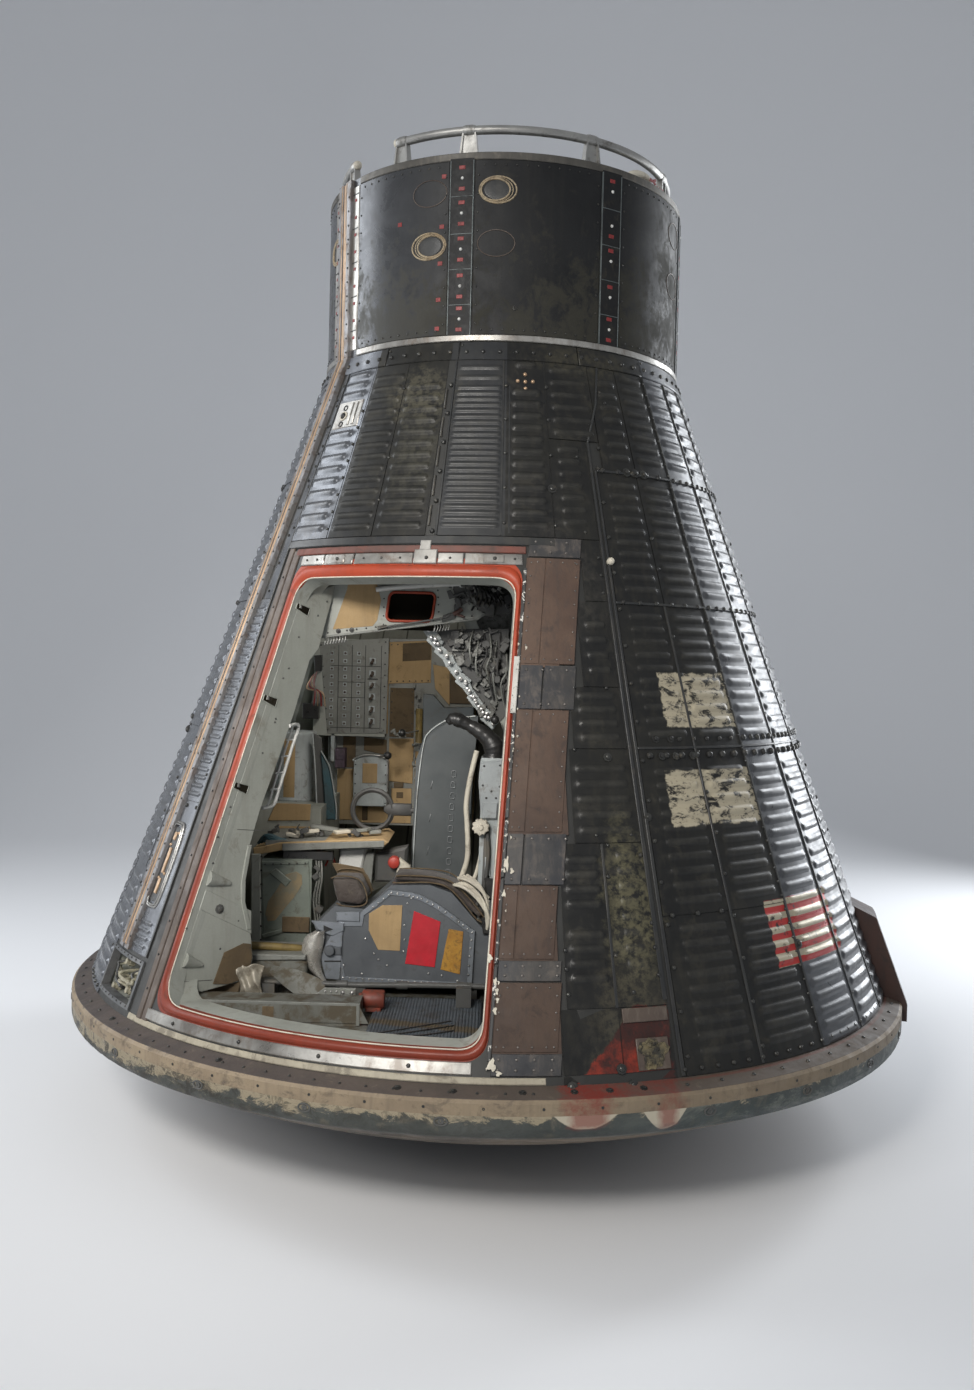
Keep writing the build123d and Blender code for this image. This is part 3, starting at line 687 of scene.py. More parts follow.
                     rough=(0.28, 0.5), patch=15.0, metallic=0.45),
    "redPlate": dict(base=(0.52, 0.022, 0.035), second=(0.44, 0.02, 0.03), dirt=(0.55, 0.30, 0.28),
                     dirtFrom=0.7, rough=(0.3, 0.5), patch=26.0),
    "yellowPlate": dict(base=(0.42, 0.22, 0.035), second=(0.30, 0.14, 0.025), dirt=(0.10, 0.06, 0.02),
                        dirtFrom=0.5, rough=(0.4, 0.6), patch=42.0),
    "paleGrey": dict(base=(0.40, 0.43, 0.43), second=(0.33, 0.36, 0.36), dirt=(0.14, 0.12, 0.09),
                     rough=(0.38, 0.6), patch=14.0, streak=0.2),
    "greenCabinet": dict(base=(0.20, 0.225, 0.19), second=(0.165, 0.19, 0.165), dirt=(0.09, 0.08, 0.055),
                         rough=(0.42, 0.65), patch=12.0),
    "oliveTube": dict(base=(0.19, 0.135, 0.04), second=(0.12, 0.085, 0.03), dirt=(0.05, 0.04, 0.02),
                      rough=(0.5, 0.75), patch=24.0),
    "teal": dict(base=(0.040, 0.095, 0.115), second=(0.05, 0.08, 0.09), rough=(0.6, 0.85), patch=24.0),
    "mauve": dict(base=(0.10, 0.065, 0.09), second=(0.07, 0.05, 0.07), rough=(0.5, 0.7), patch=24.0),
    "foil": dict(base=(0.37, 0.34, 0.28), second=(0.27, 0.245, 0.195), dirt=(0.12, 0.095, 0.065),
                 dirtFrom=0.5, metallic=0.3, rough=(0.42, 0.68), patch=24.0),
    "mechGrey": dict(base=(0.25, 0.25, 0.235), second=(0.12, 0.12, 0.11), dirt=(0.04, 0.037, 0.03),
                     dirtFrom=0.50, metallic=0.4, rough=(0.3, 0.55), patch=40.0),
    "legGrey": dict(base=(0.072, 0.080, 0.082), second=(0.056, 0.064, 0.067), dirt=(0.05, 0.046, 0.04),
                    dirtFrom=0.6, rough=(0.35, 0.55), patch=9.0, chip=(0.3, 0.3, 0.29), chipFrom=0.76),
    "markGrey": dict(base=(0.15, 0.16, 0.165), second=(0.11, 0.12, 0.125), rough=(0.35, 0.5), patch=30.0,
                     metallic=0.2),
    "floorGrey": dict(base=(0.165, 0.168, 0.150), second=(0.115, 0.115, 0.10), dirt=(0.075, 0.058, 0.034),
                      dirtFrom=0.47, dirtAmount=0.9, streak=0.25, rough=(0.4, 0.65), patch=9.0,
                      chip=(0.40, 0.39, 0.36), chipFrom=0.70),
    "polished": dict(base=(0.66, 0.64, 0.59), second=(0.40, 0.38, 0.34), dirt=(0.12, 0.10, 0.07),
                     dirtFrom=0.54, metallic=0.6, rough=(0.18, 0.36), patch=20.0),
}
mat = {name: weathered(name, look) for name, look in finishes.items()}


# skin materials
skinLook = dict(
    dark=dict(base=(0.0085, 0.0085, 0.0080), second=(0.015, 0.0145, 0.012), dirt=(0.040, 0.036, 0.026),
              dirtFrom=0.55, dirtAmount=0.5, patch=7.0, grainDepth=0.10, rough=(0.34, 0.56), streak=0.3,
              dents=1.2, specular=0.34),
    bareAndSheen=(0.17, 0.18, 0.20),  # bare blue-grey metal; also a painted sheen where the lamps shine on the skin
    cream=(0.46, 0.41, 0.30),
    red=(0.25, 0.030, 0.016),
    maroon=(0.045, 0.014, 0.012),
    stripe=(0.46, 0.04, 0.035),
    rubbed=(0.062, 0.060, 0.052),  # bead tops worn to the metal
    # share by azimuth: the light column left of the hatch is bare metal; the left flank and the right columns
    # are also lightened as a painted sheen where the lamps shine
    bareAndSheenStops=[(-180, 0.22), (-100, 0.40), (-76, 0.75), (-38.4, 0.0), (-14.2, 0.15), (0.6, 0.02),
                (44.8, 0.46), (78, 0.22)],
    stains=[
        # azimuth, height, half width in degrees, half height, strength, colour
        (18.5, 0.62, 3.2, 0.12, 0.8, (0.115, 0.105, 0.062)),
        (17.0, 0.43, 4.5, 0.09, 0.45, (0.085, 0.075, 0.05)),
        (4.5, 0.44, 3.0, 0.045, 0.6, (0.03, 0.03, 0.03)),
        (-22.0, 1.585, 9.0, 0.05, 0.5, (0.10, 0.09, 0.06)),
        (-19.0, 1.50, 6.0, 0.13, 0.3, (0.09, 0.085, 0.06)),
        (24.0, 1.665, 14.0, 0.03, 0.35, (0.09, 0.08, 0.05)),
        (9.0, 1.20, 9.0, 0.09, 0.25, (0.10, 0.09, 0.08)),
        (-44.0, 1.32, 5.0, 0.06, 0.3, (0.07, 0.06, 0.05)),
        (52.0, 1.09, 7.0, 0.07, 0.25, (0.06, 0.055, 0.05)),
        (150.0, 1.05, 20.0, 0.2, 0.35, (0.09, 0.08, 0.06)),
        (215.0, 0.70, 22.0, 0.18, 0.35, (0.10, 0.085, 0.06)),
    ],
    creamBars=[(28.5, 44.3, 0.927, 1.03), (26.5, 45.0, 0.748, 0.848)],  # azimuths, then heights
    banner=(40.0, 57.0, 0.485, 0.602),  # small striped panel
    stripePitch=0.0234,
    redPatch=dict(west=8.5, foot=0.31, slope=60.9, east=21.4, head=0.452),  # slope in degrees a metre
)


def redPatch(az, z, ragged, look):
    # red repair paint: between a slanting line and an upright one, under a level line
    slant = az - calc("MULTIPLY_ADD", z, look["slope"], look["west"] - look["foot"] * look["slope"])
    side = look["east"] - az
    level = (look["head"] - z) * 70.0
    depth = calc("MINIMUM", calc("MINIMUM", slant, side), level)
    return grow(depth, ragged, 2.6, 0.12)


def skinMaterial(name, look):
    # dark oxidised metal; barer, bluer and lighter by azimuth, partly bare metal and partly a painted sheen
    # where the lamps shine, with painted bars, stains and rubbed beads
    material, shader, place = newMaterial(name)
    colour, roughness, height = layers(place, look["dark"])
    az, z, radius = polar(place)
    ragged = noise(place, 26.0, 8, 0.72)
    broad = noise(place, 5.0, 6, 0.7)
    stops = place.tree.nodes.new("ShaderNodeValToRGB")
    stops.color_ramp.interpolation = "CONSTANT"
    feed(stops.inputs[0], ramp(az, -180, 180))
    for index, (azimuth, level) in enumerate(look["bareAndSheenStops"]):
        stop = stops.color_ramp.elements[0] if index == 0 else stops.color_ramp.elements.new(
            (azimuth + 180) / 360)
        stop.position = (azimuth + 180) / 360
        stop.color = (level, level, level, 1)
    stops.color_ramp.elements[-1].color = stops.color_ramp.elements[-2].color
    # lighter, bluer and more metallic by azimuth: partly bare metal, partly painted sheen
    bareAndSheen = Shade(place.tree, stops.outputs[0]) * ramp(broad, 0.3, 0.6, 0.65, 1.1)
    colour = mix(bareAndSheen, colour, look["bareAndSheen"])
    roughness = calc("MULTIPLY_ADD", bareAndSheen, -0.22, roughness)
    speckle = ramp(noise(place, 62.0, 7, 0.75), 0.42, 0.56)
    wear = node(place.tree, "Attribute", 2, attribute_name="wear")
    rub = ramp(wear, 0.3, 1.0) * ramp(ragged, 0.4, 0.62, 0.08, 0.40)
    colour = mix(rub, colour, look["rubbed"])
    for azimuth, level, wide, tall, strength, tone in look["stains"]:
        across = (az - (azimuth if azimuth < 180 else azimuth - 360)) / wide
        along = (z - level) / tall
        near = 1.0 - calc("SQRT", across * across + along * along)
        spread = grow(near, ragged, 2.4, 0.35) * speckle
        colour = mix(spread * strength, colour, tone)
    for left, right, foot, head in look["creamBars"]:
        depth = calc("MINIMUM", between(az, left, right), between(z, foot, head, 80.0))
        worn = ramp(noise(place, 30.0, 9, 0.78, 0.4, stretch=(1, 1, 2.2)), 0.43, 0.50)
        mask = grow(depth, ragged, 1.6, 0.12) * worn
        colour = mix(mask * 0.85, colour, look["cream"])
    left, right, foot, head = look["banner"]
    banner = calc("MINIMUM", between(az, left, right), between(z, foot, head, 70.0))
    stripePair = calc("FRACT", (z - foot) * (1 / look["stripePitch"]))
    worn = ramp(noise(place, 34.0, 8, 0.75), 0.36, 0.44)
    bannerMask = grow(banner, ragged, 0.6, 0.08) * worn
    stripes = mix(calc("GREATER_THAN", stripePair, 0.5), look["stripe"], look["cream"])
    colour = mix(bannerMask * 0.85, colour, stripes)
    paint = mix(ramp(broad, 0.44, 0.56), look["red"], look["maroon"])
    paintMask = redPatch(az, z, ragged, look["redPatch"]) * ramp(speckle, 0.0, 0.6, 0.55, 0.92)
    colour = mix(paintMask, colour, paint)
    finish(shader, colour, roughness, height, look["dark"])
    feed(shader.inputs["Metallic"], bareAndSheen * 0.8)
    return material


mat["shingle"] = skinMaterial("shingle", skinLook)


def wallMaterial(look):
    # CAD walls: dark outside, under the shingles; inside grey-green panel with a dark joint every few degrees
    material, shader, place = newMaterial("wall")
    colour, roughness, height = layers(place, finishes["cabinGrey"])
    az, z, radius = polar(place)
    skin = calc("MULTIPLY_ADD", z, -math.tan(coneTilt), topRadius + math.tan(coneTilt) * jointHeight)
    outer = calc("GREATER_THAN", radius, skin - look["depth"])
    turn = calc("FRACT", az * (1 / look["pitch"]))
    joint = calc("LESS_THAN", calc("ABSOLUTE", turn - 0.5), 0.03)
    colour = mix(joint, colour, (0.10, 0.10, 0.09))
    colour = mix(outer, colour, look["dark"])
    finish(shader, colour, roughness, height, finishes["cabinGrey"])
    return material


mat["wall"] = wallMaterial(dict(depth=0.012, pitch=7.5, dark=(0.025, 0.025, 0.023)))
print("skin materials made")

# shingles
shingleLook = dict(
    footLift=0.0026,
    headLift=0.0010,
    gap=0.0010,
    beadHeight=0.0037,
    beadHalf=0.0086,
)
beadAcross = np.array([-1, -0.97, -0.92, -0.85, -0.72, -0.35, 0, 0.35, 0.72, 0.85, 0.92, 0.97, 1])
beadAlong = np.array([-1.1, -0.95, -0.6, -0.2, 0.2, 0.6, 0.95, 1.1])


def shingleShape(az, z, beads, look):
    # sheet over the skin: lifts from head to foot so that it laps, and each bead adds a bump
    # 1 - d^2.2 where d is the distance from the bead's middle line over its half height
    middleRadius = float(skinRadius(np.mean(z)))
    turn = math.degrees(look["gap"] / middleRadius)
    west, east = az[0] + turn, az[1] - turn
    azimuths, heights = [west, east], [z[0] + 0.0005, z[1] - 0.0005]
    for bead in beads:
        middle, half = (bead[0] + bead[1]) / 2, (bead[1] - bead[0]) / 2
        azimuths.extend(middle + half * beadAcross)
        heights.extend(bead[2] + bead[3] * beadAlong)
    azimuths = np.unique(np.round(np.clip(azimuths, west, east), 3))
    heights = np.unique(np.round(np.clip(heights, z[0] + 0.0005, z[1] - 0.0005), 5))
    azimuths = np.concatenate([azimuths[:1], azimuths, azimuths[-1:]])
    heights = np.concatenate([heights[:1], heights, heights[-1:]])
    share = (heights - z[0]) / (z[1] - z[0])
    base = look["footLift"] + (look["headLift"] - look["footLift"]) * share
    bump = np.zeros((len(heights), len(azimuths)))
    for west, east, level, half in beads:
        reach = math.radians(east - west) / 2 * skinRadius(level)
        u = np.radians(azimuths - (west + east) / 2) * skinRadius(level)
        beyond = np.maximum(0, np.abs(u) - (reach - half))
        d = np.hypot(beyond[None, :], (heights - level)[:, None] / math.cos(coneTilt)) / half
        bump = np.maximum(bump, np.clip(1 - d ** 2.2, 0, None))
    size = min(1.0, beads[0][3] / look["beadHalf"]) if beads else 1.0  # narrower beads are lower
    out = base[:, None] + look["beadHeight"] * bump * size
    out[[0, -1]] = -0.002
    out[:, [0, -1]] = -0.002
    shape = gridShape(onSkin(azimuths[None, :], heights[:, None], out))
    return shape, bump.ravel()


def beadRow(west, east, top, bottom, count, half=shingleLook["beadHalf"]):
    # beads of equal length at equal steps from the top one to the bottom one
    return [(west, east, level, half) for level in np.linspace(top, bottom, count)]


levels = [0.3365, 0.595, 0.890, 1.163, 1.430, 1.656]  # joints between shingles, from the foot up
seamFoot, seamHead = 0.3375, 1.655  # upright seams end 1 mm inside the lowest and the highest joint
levelBeads = [(0.572, 0.372, 9), (0.845, 0.620, 10), (1.137, 0.914, 10), (1.403, 1.190, 10),
              (1.640, 1.462, 8)]


def column(west, east, inset=(1.5, 1.3), first=0, last=4, onePiece=False):
    # standard shingles of one column: a sheet for each level with its beads; onePiece joins the two lowest
    sheets = []
    for level in range(max(first, 1) if onePiece else first, last + 1):
        lowest = onePiece and level == 1
        beads = beadRow(west + inset[0], east - inset[1],
                        *((0.845, 0.345, 21) if lowest else levelBeads[level]))
        sheets.append(((west, east), (levels[0 if lowest else level], levels[level + 1]), beads))
    return sheets


def frontSheets():
    # the columns that the hatch, bay and raceway interrupt, each with its own beads
    sheets = []
    upper = (1.285, 1.656)
    # left of the raceway, and the narrow column under it
    sheets += column(-72.5, -63.0, (1.6, 0.6))
    sheets.append(((-63.0, -50.6), (1.163, 1.656), []))
    sheets.append(((-63.0, -50.6), (0.745, 1.163), beadRow(-56.2, -51.4, 1.14, 0.76, 24, 0.0052)))
    sheets.append(((-63.0, -50.6), (0.447, 0.745), beadRow(-56.4, -52.0, 0.505, 0.462, 4, 0.0050)))
    # light column, with a plain panel between its beads
    sheets.append(((-50.5, -38.4), upper,
                   beadRow(-50.0, -40.2, 1.645, 1.602, 3) + beadRow(-50.0, -40.2, 1.513, 1.308, 9)))
    # dark double column
    sheets.append(((-38.4, -26.6), upper, beadRow(-37.4, -27.4, 1.628, 1.306, 14, 0.0076)))
    sheets.append(((-26.6, -14.6), upper, beadRow(-25.6, -15.8, 1.602, 1.306, 13, 0.0080)))
    # closely ribbed column
    sheets.append(((-12.2, 0.6), upper, beadRow(-11.6, 0.1, 1.640, 1.618, 2, 0.0060)
                   + beadRow(-11.6, 0.1, 1.596, 1.306, 24, 0.0052)))
    sheets.append(((0.6, 11.5), upper,
                   beadRow(3.6, 9.4, 1.648, 1.648, 1) + beadRow(2.7, 10.4, 1.588, 1.308, 12)))
    sheets.append(((11.5, 24.2), (1.490, 1.656), beadRow(12.8, 23.4, 1.640, 1.505, 6)))
    sheets.append(((24.2, 33.4), (1.430, 1.656), beadRow(26.4, 32.4, 1.622, 1.462, 7)))
    sheets.append(((11.5, 20.8), (1.285, 1.490), beadRow(13.4, 18.9, 1.470, 1.318, 7)))
    sheets += column(22.6, 33.4, (2.2, 1.0), last=3)
    sheets += column(33.4, 44.7, (1.2, 1.4))
    # bright columns on the right
    for west, east in ((44.7, 55.6), (55.6, 66.2), (66.2, 77.3)):
        sheets += column(west, east, (1.0, 1.1), onePiece=True)
    # right of the brown plates
    sheets.append(((16.4, 20.8), (1.163, 1.285), []))
    sheets.append(((14.6, 20.8), (1.000, 1.163), beadRow(15.8, 19.8, 1.118, 1.032, 4)))
    sheets.append(((12.2, 20.8), (0.887, 1.000), beadRow(13.4, 19.9, 0.984, 0.908, 4)))
    sheets.append(((11.4, 21.2), (0.722, 0.887), beadRow(12.2, 20.2, 0.852, 0.744, 5)))
    sheets.append(((9.2, 15.2), (0.452, 0.722),
                   beadRow(9.9, 14.5, 0.694, 0.620, 4) + beadRow(9.9, 14.5, 0.570, 0.500, 4)))
    sheets.append(((15.2, 21.6), (0.452, 0.722), beadRow(17.0, 20.0, 0.700, 0.520, 8, 0.0105)))
    return sheets


backEdges = np.linspace(77.3, 287.5, 20)


def backSheets(first, last):
    # the rest of the circle, left out where the window is cut through
    sheets = []
    for west, east in zip(backEdges[first:last], backEdges[first + 1:last + 1]):
        if east < 237.5 or west > 262.5:
            sheets += column(west, east, (1.1, 1.1), onePiece=True)
        else:
            sheets.append(((west, east), (levels[4], levels[5]),
                           beadRow(west + 1.1, east - 1.1, *levelBeads[4])))
            sheets.append(((west, east), (1.285, levels[4]),
                           beadRow(west + 1.1, east - 1.1, 1.403, 1.309, 5)))
            sheets.append(((west, east), (levels[0], 0.742),
                           beadRow(west + 1.1, east - 1.1, 0.719, 0.345, 16)))
    return sheets


def addShingles(name, sheets):
    # one piece of several shingles, each given by azimuths, heights and beads
    made = [shingleShape(az, z, beads, shingleLook) for az, z, beads in sheets]
    return addPiece(name, [shape for shape, _ in made], "shingle",
                    {"wear": np.concatenate([wear for _, wear in made])}, sharp=50)


front = frontSheets()
addShingles("shingles_front", front[:24])
addShingles("shingles_right", front[24:])
addShingles("shingles_rear_right", backSheets(0, 6))
addShingles("shingles_rear", backSheets(6, 13))
addShingles("shingles_rear_left", backSheets(13, 19))
print("shingles made")

# rivets, bolts and seams
rivetHead = turnedShape([(1.0, -0.4), (1.0, 0.15), (0.74, 0.62), (0.36, 0.8)], 8)
washerBolt = turnedShape([(1.9, -0.3), (1.85, 0.25), (1.05, 0.3), (1.0, 0.85), (0.55, 1.05)], 8)
countersunk = turnedShape([(1.0, -0.4), (1.0, 0.12), (0.45, 0.12), (0.35, -0.1)], 8)


def rivetLine(az, z, out, radius, tube=None, shape=rivetHead):
    # heads on the skin at azimuths and heights; one number stands for all of a line
    az, z = np.broadcast_arrays(np.asarray(az, float), np.asarray(z, float))
    return scattered(shape, basis(az.ravel(), z.ravel(), out, tube), radius)


def clearOfWindow(edge):
    # whether a seam misses the left window, which takes up 236 to 264 degrees
    return edge < 236 or edge > 264


skinRivets = [
    # azimuths, heights, out, radius
    (-38.9, np.arange(1.56, 1.30, -0.0365), 0.0020, 0.0036),
    (-51.6, np.arange(1.63, 1.30, -0.045), 0.0020, 0.0032),
    (-13.3, np.arange(1.602, 1.29, -0.0615), 0.0018, 0.0052),
    (-26.6, [1.60, 1.45, 1.36], 0.0020, 0.0030),
    (1.3, np.arange(1.60, 1.29, -0.072), 0.0018, 0.0042),
    (11.8, [1.60, 1.53, 1.455, 1.31], 0.0018, 0.0042),
    (18.0, [1.455, 1.30], 0.0018, 0.0040),
    ([28.0, 27.0, 24.0], [1.578, 1.60, 1.478], 0.0020, 0.0040),
    (23.1, np.arange(1.435, 0.35, -0.0712), 0.0022, 0.0044),
    (20.2, np.arange(1.25, 1.17, -0.035), 0.0020, 0.0036),
    (33.8, np.arange(1.10, 0.36, -0.0735), 0.0024, 0.0042),
    (33.8, [1.297, 1.235], 0.0024, 0.0042),
    (44.3, np.arange(1.64, 0.36, -0.0252), 0.0024, 0.0026),
    (55.9, np.arange(1.60, 0.36, -0.05), 0.0026, 0.0036),
    (66.5, np.arange(1.60, 0.36, -0.05), 0.0026, 0.0036),
    (np.arange(24.0, 44.5, 4.1), 1.4305, 0.0030, 0.0054),
    (np.arange(46.0, 77.5, 2.9), 1.4305, 0.0030, 0.0050),
    (np.arange(24.0, 44.5, 3.7), 1.1635, 0.0030, 0.0046),
    (np.arange(46.0, 77.5, 2.9), 1.1635, 0.0030, 0.0050),
    (np.arange(45.5, 77.5, 2.2), 0.904, 0.0030, 0.0062),
    (np.arange(24.5, 77.5, 2.9), 0.8745, 0.0030, 0.0066),
    (np.arange(30.5, 44.5, 2.9), 0.904, 0.0030, 0.0045),
    (np.arange(24.0, 33.0, 3.9), 0.5955, 0.0030, 0.0046),
    (np.arange(22.5, 77.5, 2.2), 0.3475, 0.0030, 0.0044),
    (np.arange(80.0, 287.0, 3.1), 1.4305, 0.0030, 0.0048),
    (np.arange(80.0, 235.0, 3.1), 1.1635, 0.0030, 0.0048),
    (np.arange(266.0, 287.0, 3.1), 1.1635, 0.0030, 0.0048),
    (np.arange(80.0, 235.0, 2.9), 0.904, 0.0030, 0.0060),
    (np.arange(80.0, 235.0, 2.9), 0.8745, 0.0030, 0.0060),
    (np.arange(266.0, 287.0, 2.9), 0.904, 0.0030, 0.0060),
    (np.arange(266.0, 287.0, 2.9), 0.8745, 0.0030, 0.0060),
    (np.arange(80.0, 297.0, 2.2), 0.3475, 0.0030, 0.0044),
    # sheets round the plates beside the hatch
    ([16.0, 12.3, 13.0, 18.5, 14.5, 19.6], [0.718, 0.885, 0.998, 0.998, 0.735, 0.735], 0.0024, 0.0034),
    ([9.4, 9.4, 9.5, 15.6, 20.9, 15.6, 20.6], [0.545, 0.515, 0.475, 0.535, 0.585, 0.665, 0.70], 0.0024,
     0.0040),
    ([20.9, 20.9, 17.4], [0.545, 0.50, 0.475], 0.0024, 0.0044),
    (-62.5, np.arange(1.62, 0.47, -0.048), 0.0020, 0.0030),
    (-52.9, np.arange(1.60, 1.18, -0.060), 0.0020, 0.0030),
    ([-51.2, -54.8, -57.0], [0.735, 0.735, 0.735], 0.0022, 0.0040),
    ([-54.6, -51.6, -54.9], [0.86, 0.80, 0.78], 0.0022, 0.0036),
    (-64.5, np.arange(1.62, 0.36, -0.07), 0.0022, 0.0036),
]
boltRows = [
    (17.4, 0.872, 0.0024, 0.0046),
    (11.6, 1.385, 0.0020, 0.0052),
    (np.array([26.0, 28.8]), 0.905, 0.0030, 0.0044),
    (np.array([26.6, 29.2, 32.5]), 0.873, 0.0030, 0.0042),
    (22.6, 0.765, 0.0030, 0.0042),
    (np.array([30.5, 33.0, 35.6]), 1.432, 0.0030, 0.0052),
    (45.0, 0.517, 0.0050, 0.0050),
    (np.array([9.4, 16.2, 15.0]), [0.333, 0.331, 0.357], 0.0030, 0.0050),
]
skinHeads = [rivetLine(az, z, out, size) for az, z, out, size in skinRivets]
skinHeads += [rivetLine(az, z, out, size, shape=washerBolt) for az, z, out, size in boltRows]
for edge in backEdges[:-1]:
    skinHeads.append(rivetLine(edge + 0.25, np.arange(1.61, 0.37 if clearOfWindow(edge) else 1.30, -0.0712),
                               0.0024, 0.0042))
addHeads("skin_rivets", skinHeads)

# welts and stringers over the seams, the slanting seam, and the five bright dots of a cross
stringers = [
    # azimuths, heights, thickness
    ((21.0, 21.55), (0.46, 1.487), 0.0040), ((22.05, 22.55), (seamFoot, 1.43), 0.0036),
    ((33.15, 33.55), (seamFoot, 1.16), 0.0042), ((44.45, 44.85), (seamFoot, seamHead), 0.0044),
    ((0.35, 0.85), (1.287, seamHead), 0.0030), ((2.0, 2.45), (1.29, 1.60), 0.0026),
    ((55.4, 55.8), (seamFoot, seamHead), 0.0044), ((66.0, 66.4), (seamFoot, seamHead), 0.0044),
    ((-12.7, -12.2), (1.287, seamHead), 0.0030),
    ((15.0, 15.35), (0.452, 0.72), 0.0034), ((-50.9, -50.45), (0.447, 1.656), 0.0032),
]
welts = [plateShape(az, z, thick, edge=0.0009) for az, z, thick in stringers]


def slantingSeam(offset):
    # azimuth of the seam right of the hatch, which bends to the side with height
    return lambda z: np.interp(z, [1.487, 1.52, 1.60, 1.656], [21.3, 22.4, 26.6, 27.4]) + offset


welts.append(plateShape((slantingSeam(-0.3), slantingSeam(0.25)), (1.487, seamHead), 0.0046, edge=0.0009))
for edge in backEdges[1:-1]:
    reach = (seamFoot if clearOfWindow(edge) else 1.285, seamHead)
    welts.append(plateShape((edge - 0.2, edge + 0.2), reach, 0.0044, edge=0.0009))
for first, last in ((22.6, 77.3), (77.3, 235.0), (265.5, 287.5)):
    for level in (0.886, 1.1605, 1.4275):
        welts.append(plateShape((first, last), (level, level + 0.0045), 0.0040, edge=0.0009))
addPiece("skin_welts", welts, "blackMetal")

brightBars = [plateShape((-14.35, -13.95), (level - 0.021, level + 0.021), 0.0052, edge=0.0016)
              for level in np.arange(1.572, 1.31, -0.0615)]
addPiece("seam_bars", brightBars, "rimMetal")
crossDots = rivetLine([6.3, 6.3, 6.3, 4.3, 8.3], [1.61, 1.626, 1.595, 1.611, 1.611], 0.0016, 0.0042)
addHeads("cross_dots", crossDots, "copper")

# panel with three holes in the light column: a raised plate, ribs beside it, dark dished holes
portPlate = [plateShape((-49.8, -39.6), (1.528, 1.588), 0.0030)]
portPlate += [plateShape((az - 0.35, az + 0.35), (1.533, 1.583), 0.0052, edge=0.0012)
              for az in (-43.4, -41.6)]
addPiece("port_plate", portPlate, "silverBand")
holeRing = turnedShape([(1.0, -0.2), (1.0, 0.16), (0.8, 0.2), (0.72, 0.02), (0.3, -0.02)], 20)
smallHoles = rivetLine([-46.2, -46.2], [1.573, 1.537], 0.0030, 0.0068, shape=holeRing)
addPiece("port_holes", smallHoles, "blackMetal")
addPiece("port_ring", rivetLine([-46.0], [1.555], 0.0030, 0.0105, shape=holeRing), "cream")
addPiece("port_core", rivetLine([-46.0], [1.555], 0.0032, 0.0072, shape=rivetHead), "blackPlastic")

# riveted band over the joint of cone and cylinder, in pieces, and the bright ring above it
bandJoints = np.array([-53.6, -35.2, -12.0, 22.0, 45.0, 80, 118, 156, 194, 232, 270, 301.5])
band = [plateShape((west + 0.15, east - 0.15), (1.657, 1.696), 0.0034)
        for west, east in zip(bandJoints[:-1], bandJoints[1:])]
addPiece("joint_band", band, "shingle")
bandRivets = [rivetLine(np.arange(-52.3, 298, 4.7), 1.6735, 0.0034, 0.0048)]
bandRivets.append(rivetLine(bandJoints[1:-1] + 0.7, 1.688, 0.0034, 0.0030))
addHeads("joint_rivets", bandRivets)
addPiece("foot_ring", [plateShape((-50.0, 305.0), (1.6985, 1.7115), 0.0042, tube=topRadius, step=2.5)],
         "silverBand")
print("rivets, welts and bands made")

# cylinder
cylinder = dict(
    strapFirst=-12.75,
    strapPitch=45.5,
    strapCount=7,
    strapHalf=3.52,
    strapProud=0.003,
    foot=1.7125,
    head=2.0655,
    cellLines=(1.773, 1.845, 1.917, 1.993),
    cellRivets=(1.744, 1.811, 1.886, 1.959, 2.030),
    redReach=0.0215,
    ringWide=0.038,
    ringTall=0.027,
)
strapAz = [cylinder["strapFirst"] + cylinder["strapPitch"] * i for i in range(cylinder["strapCount"])]
panelEdges = [-50.3] + [az + side * (cylinder["strapHalf"] + 0.35) for az in strapAz for side in (-1, 1)]
panelEdges.append(292.6)
panelSpans = list(zip(panelEdges[::2], panelEdges[1::2]))
panels = [plateShape(span, (cylinder["foot"], cylinder["head"]), 0.0014, edge=0.0006, tube=topRadius, step=2)
          for span in panelSpans]


def cylinderMaterial():
    # dark glossy metal, mottled with olive corrosion that thickens towards the foot, with a painted sheen
    # towards the raceway
    look = dict(base=(0.011, 0.0115, 0.0125), second=(0.017, 0.0175, 0.0185), dirt=(0.04, 0.037, 0.03),
                dirtFrom=0.6, rough=(0.2, 0.38), patch=6.0, grainDepth=0.05, metallic=0.1, streak=0.15,
                specular=0.32)
    material, shader, place = newMaterial("cylinderSkin")
    colour, roughness, height = layers(place, look)
    az, z, radius = polar(place)
    sheen = ramp(az, -52, -18, 1.0, 0.0)  # painted sheen: lighter, more metallic colour towards the raceway
    colour = mix(sheen * 0.8, colour, (0.135, 0.14, 0.15))
    mottle = noise(place, 26.0, 10, 0.78, 0.4, stretch=(1, 1, 0.75))
    where = noise(place, 3.1, 3, 0.5)
    low = ramp(z, 1.70, 1.97, 0.16, 0.0)
    mask = ramp(mottle + low + (where - 0.5) * 0.5, 0.56, 0.68)
    colour = mix(mask * 0.55, colour, (0.050, 0.047, 0.034))
    roughness = roughness + mask * 0.22
    dull = ramp(az, -36, -8, 0.0, 0.26) * ramp(az, 80, 110, 1.0, 0.0)
    roughness = roughness + dull
    finish(shader, colour, roughness, height, look)
    feed(shader.inputs["Metallic"], calc("MULTIPLY_ADD", sheen, 0.65, look["metallic"]))
    return material


mat["cylinder"] = cylinderMaterial()
addPiece("cylinder_panels", panels, "cylinder")


def cylinderBar(az, level, wide, tall, thick, edge=0.0005):
    # small raised bar on the cylinder, from its middle, its half width in degrees and its half height
    return plateShape((az - wide, az + wide), (level - tall, level + tall), thick, edge=edge, tube=topRadius)


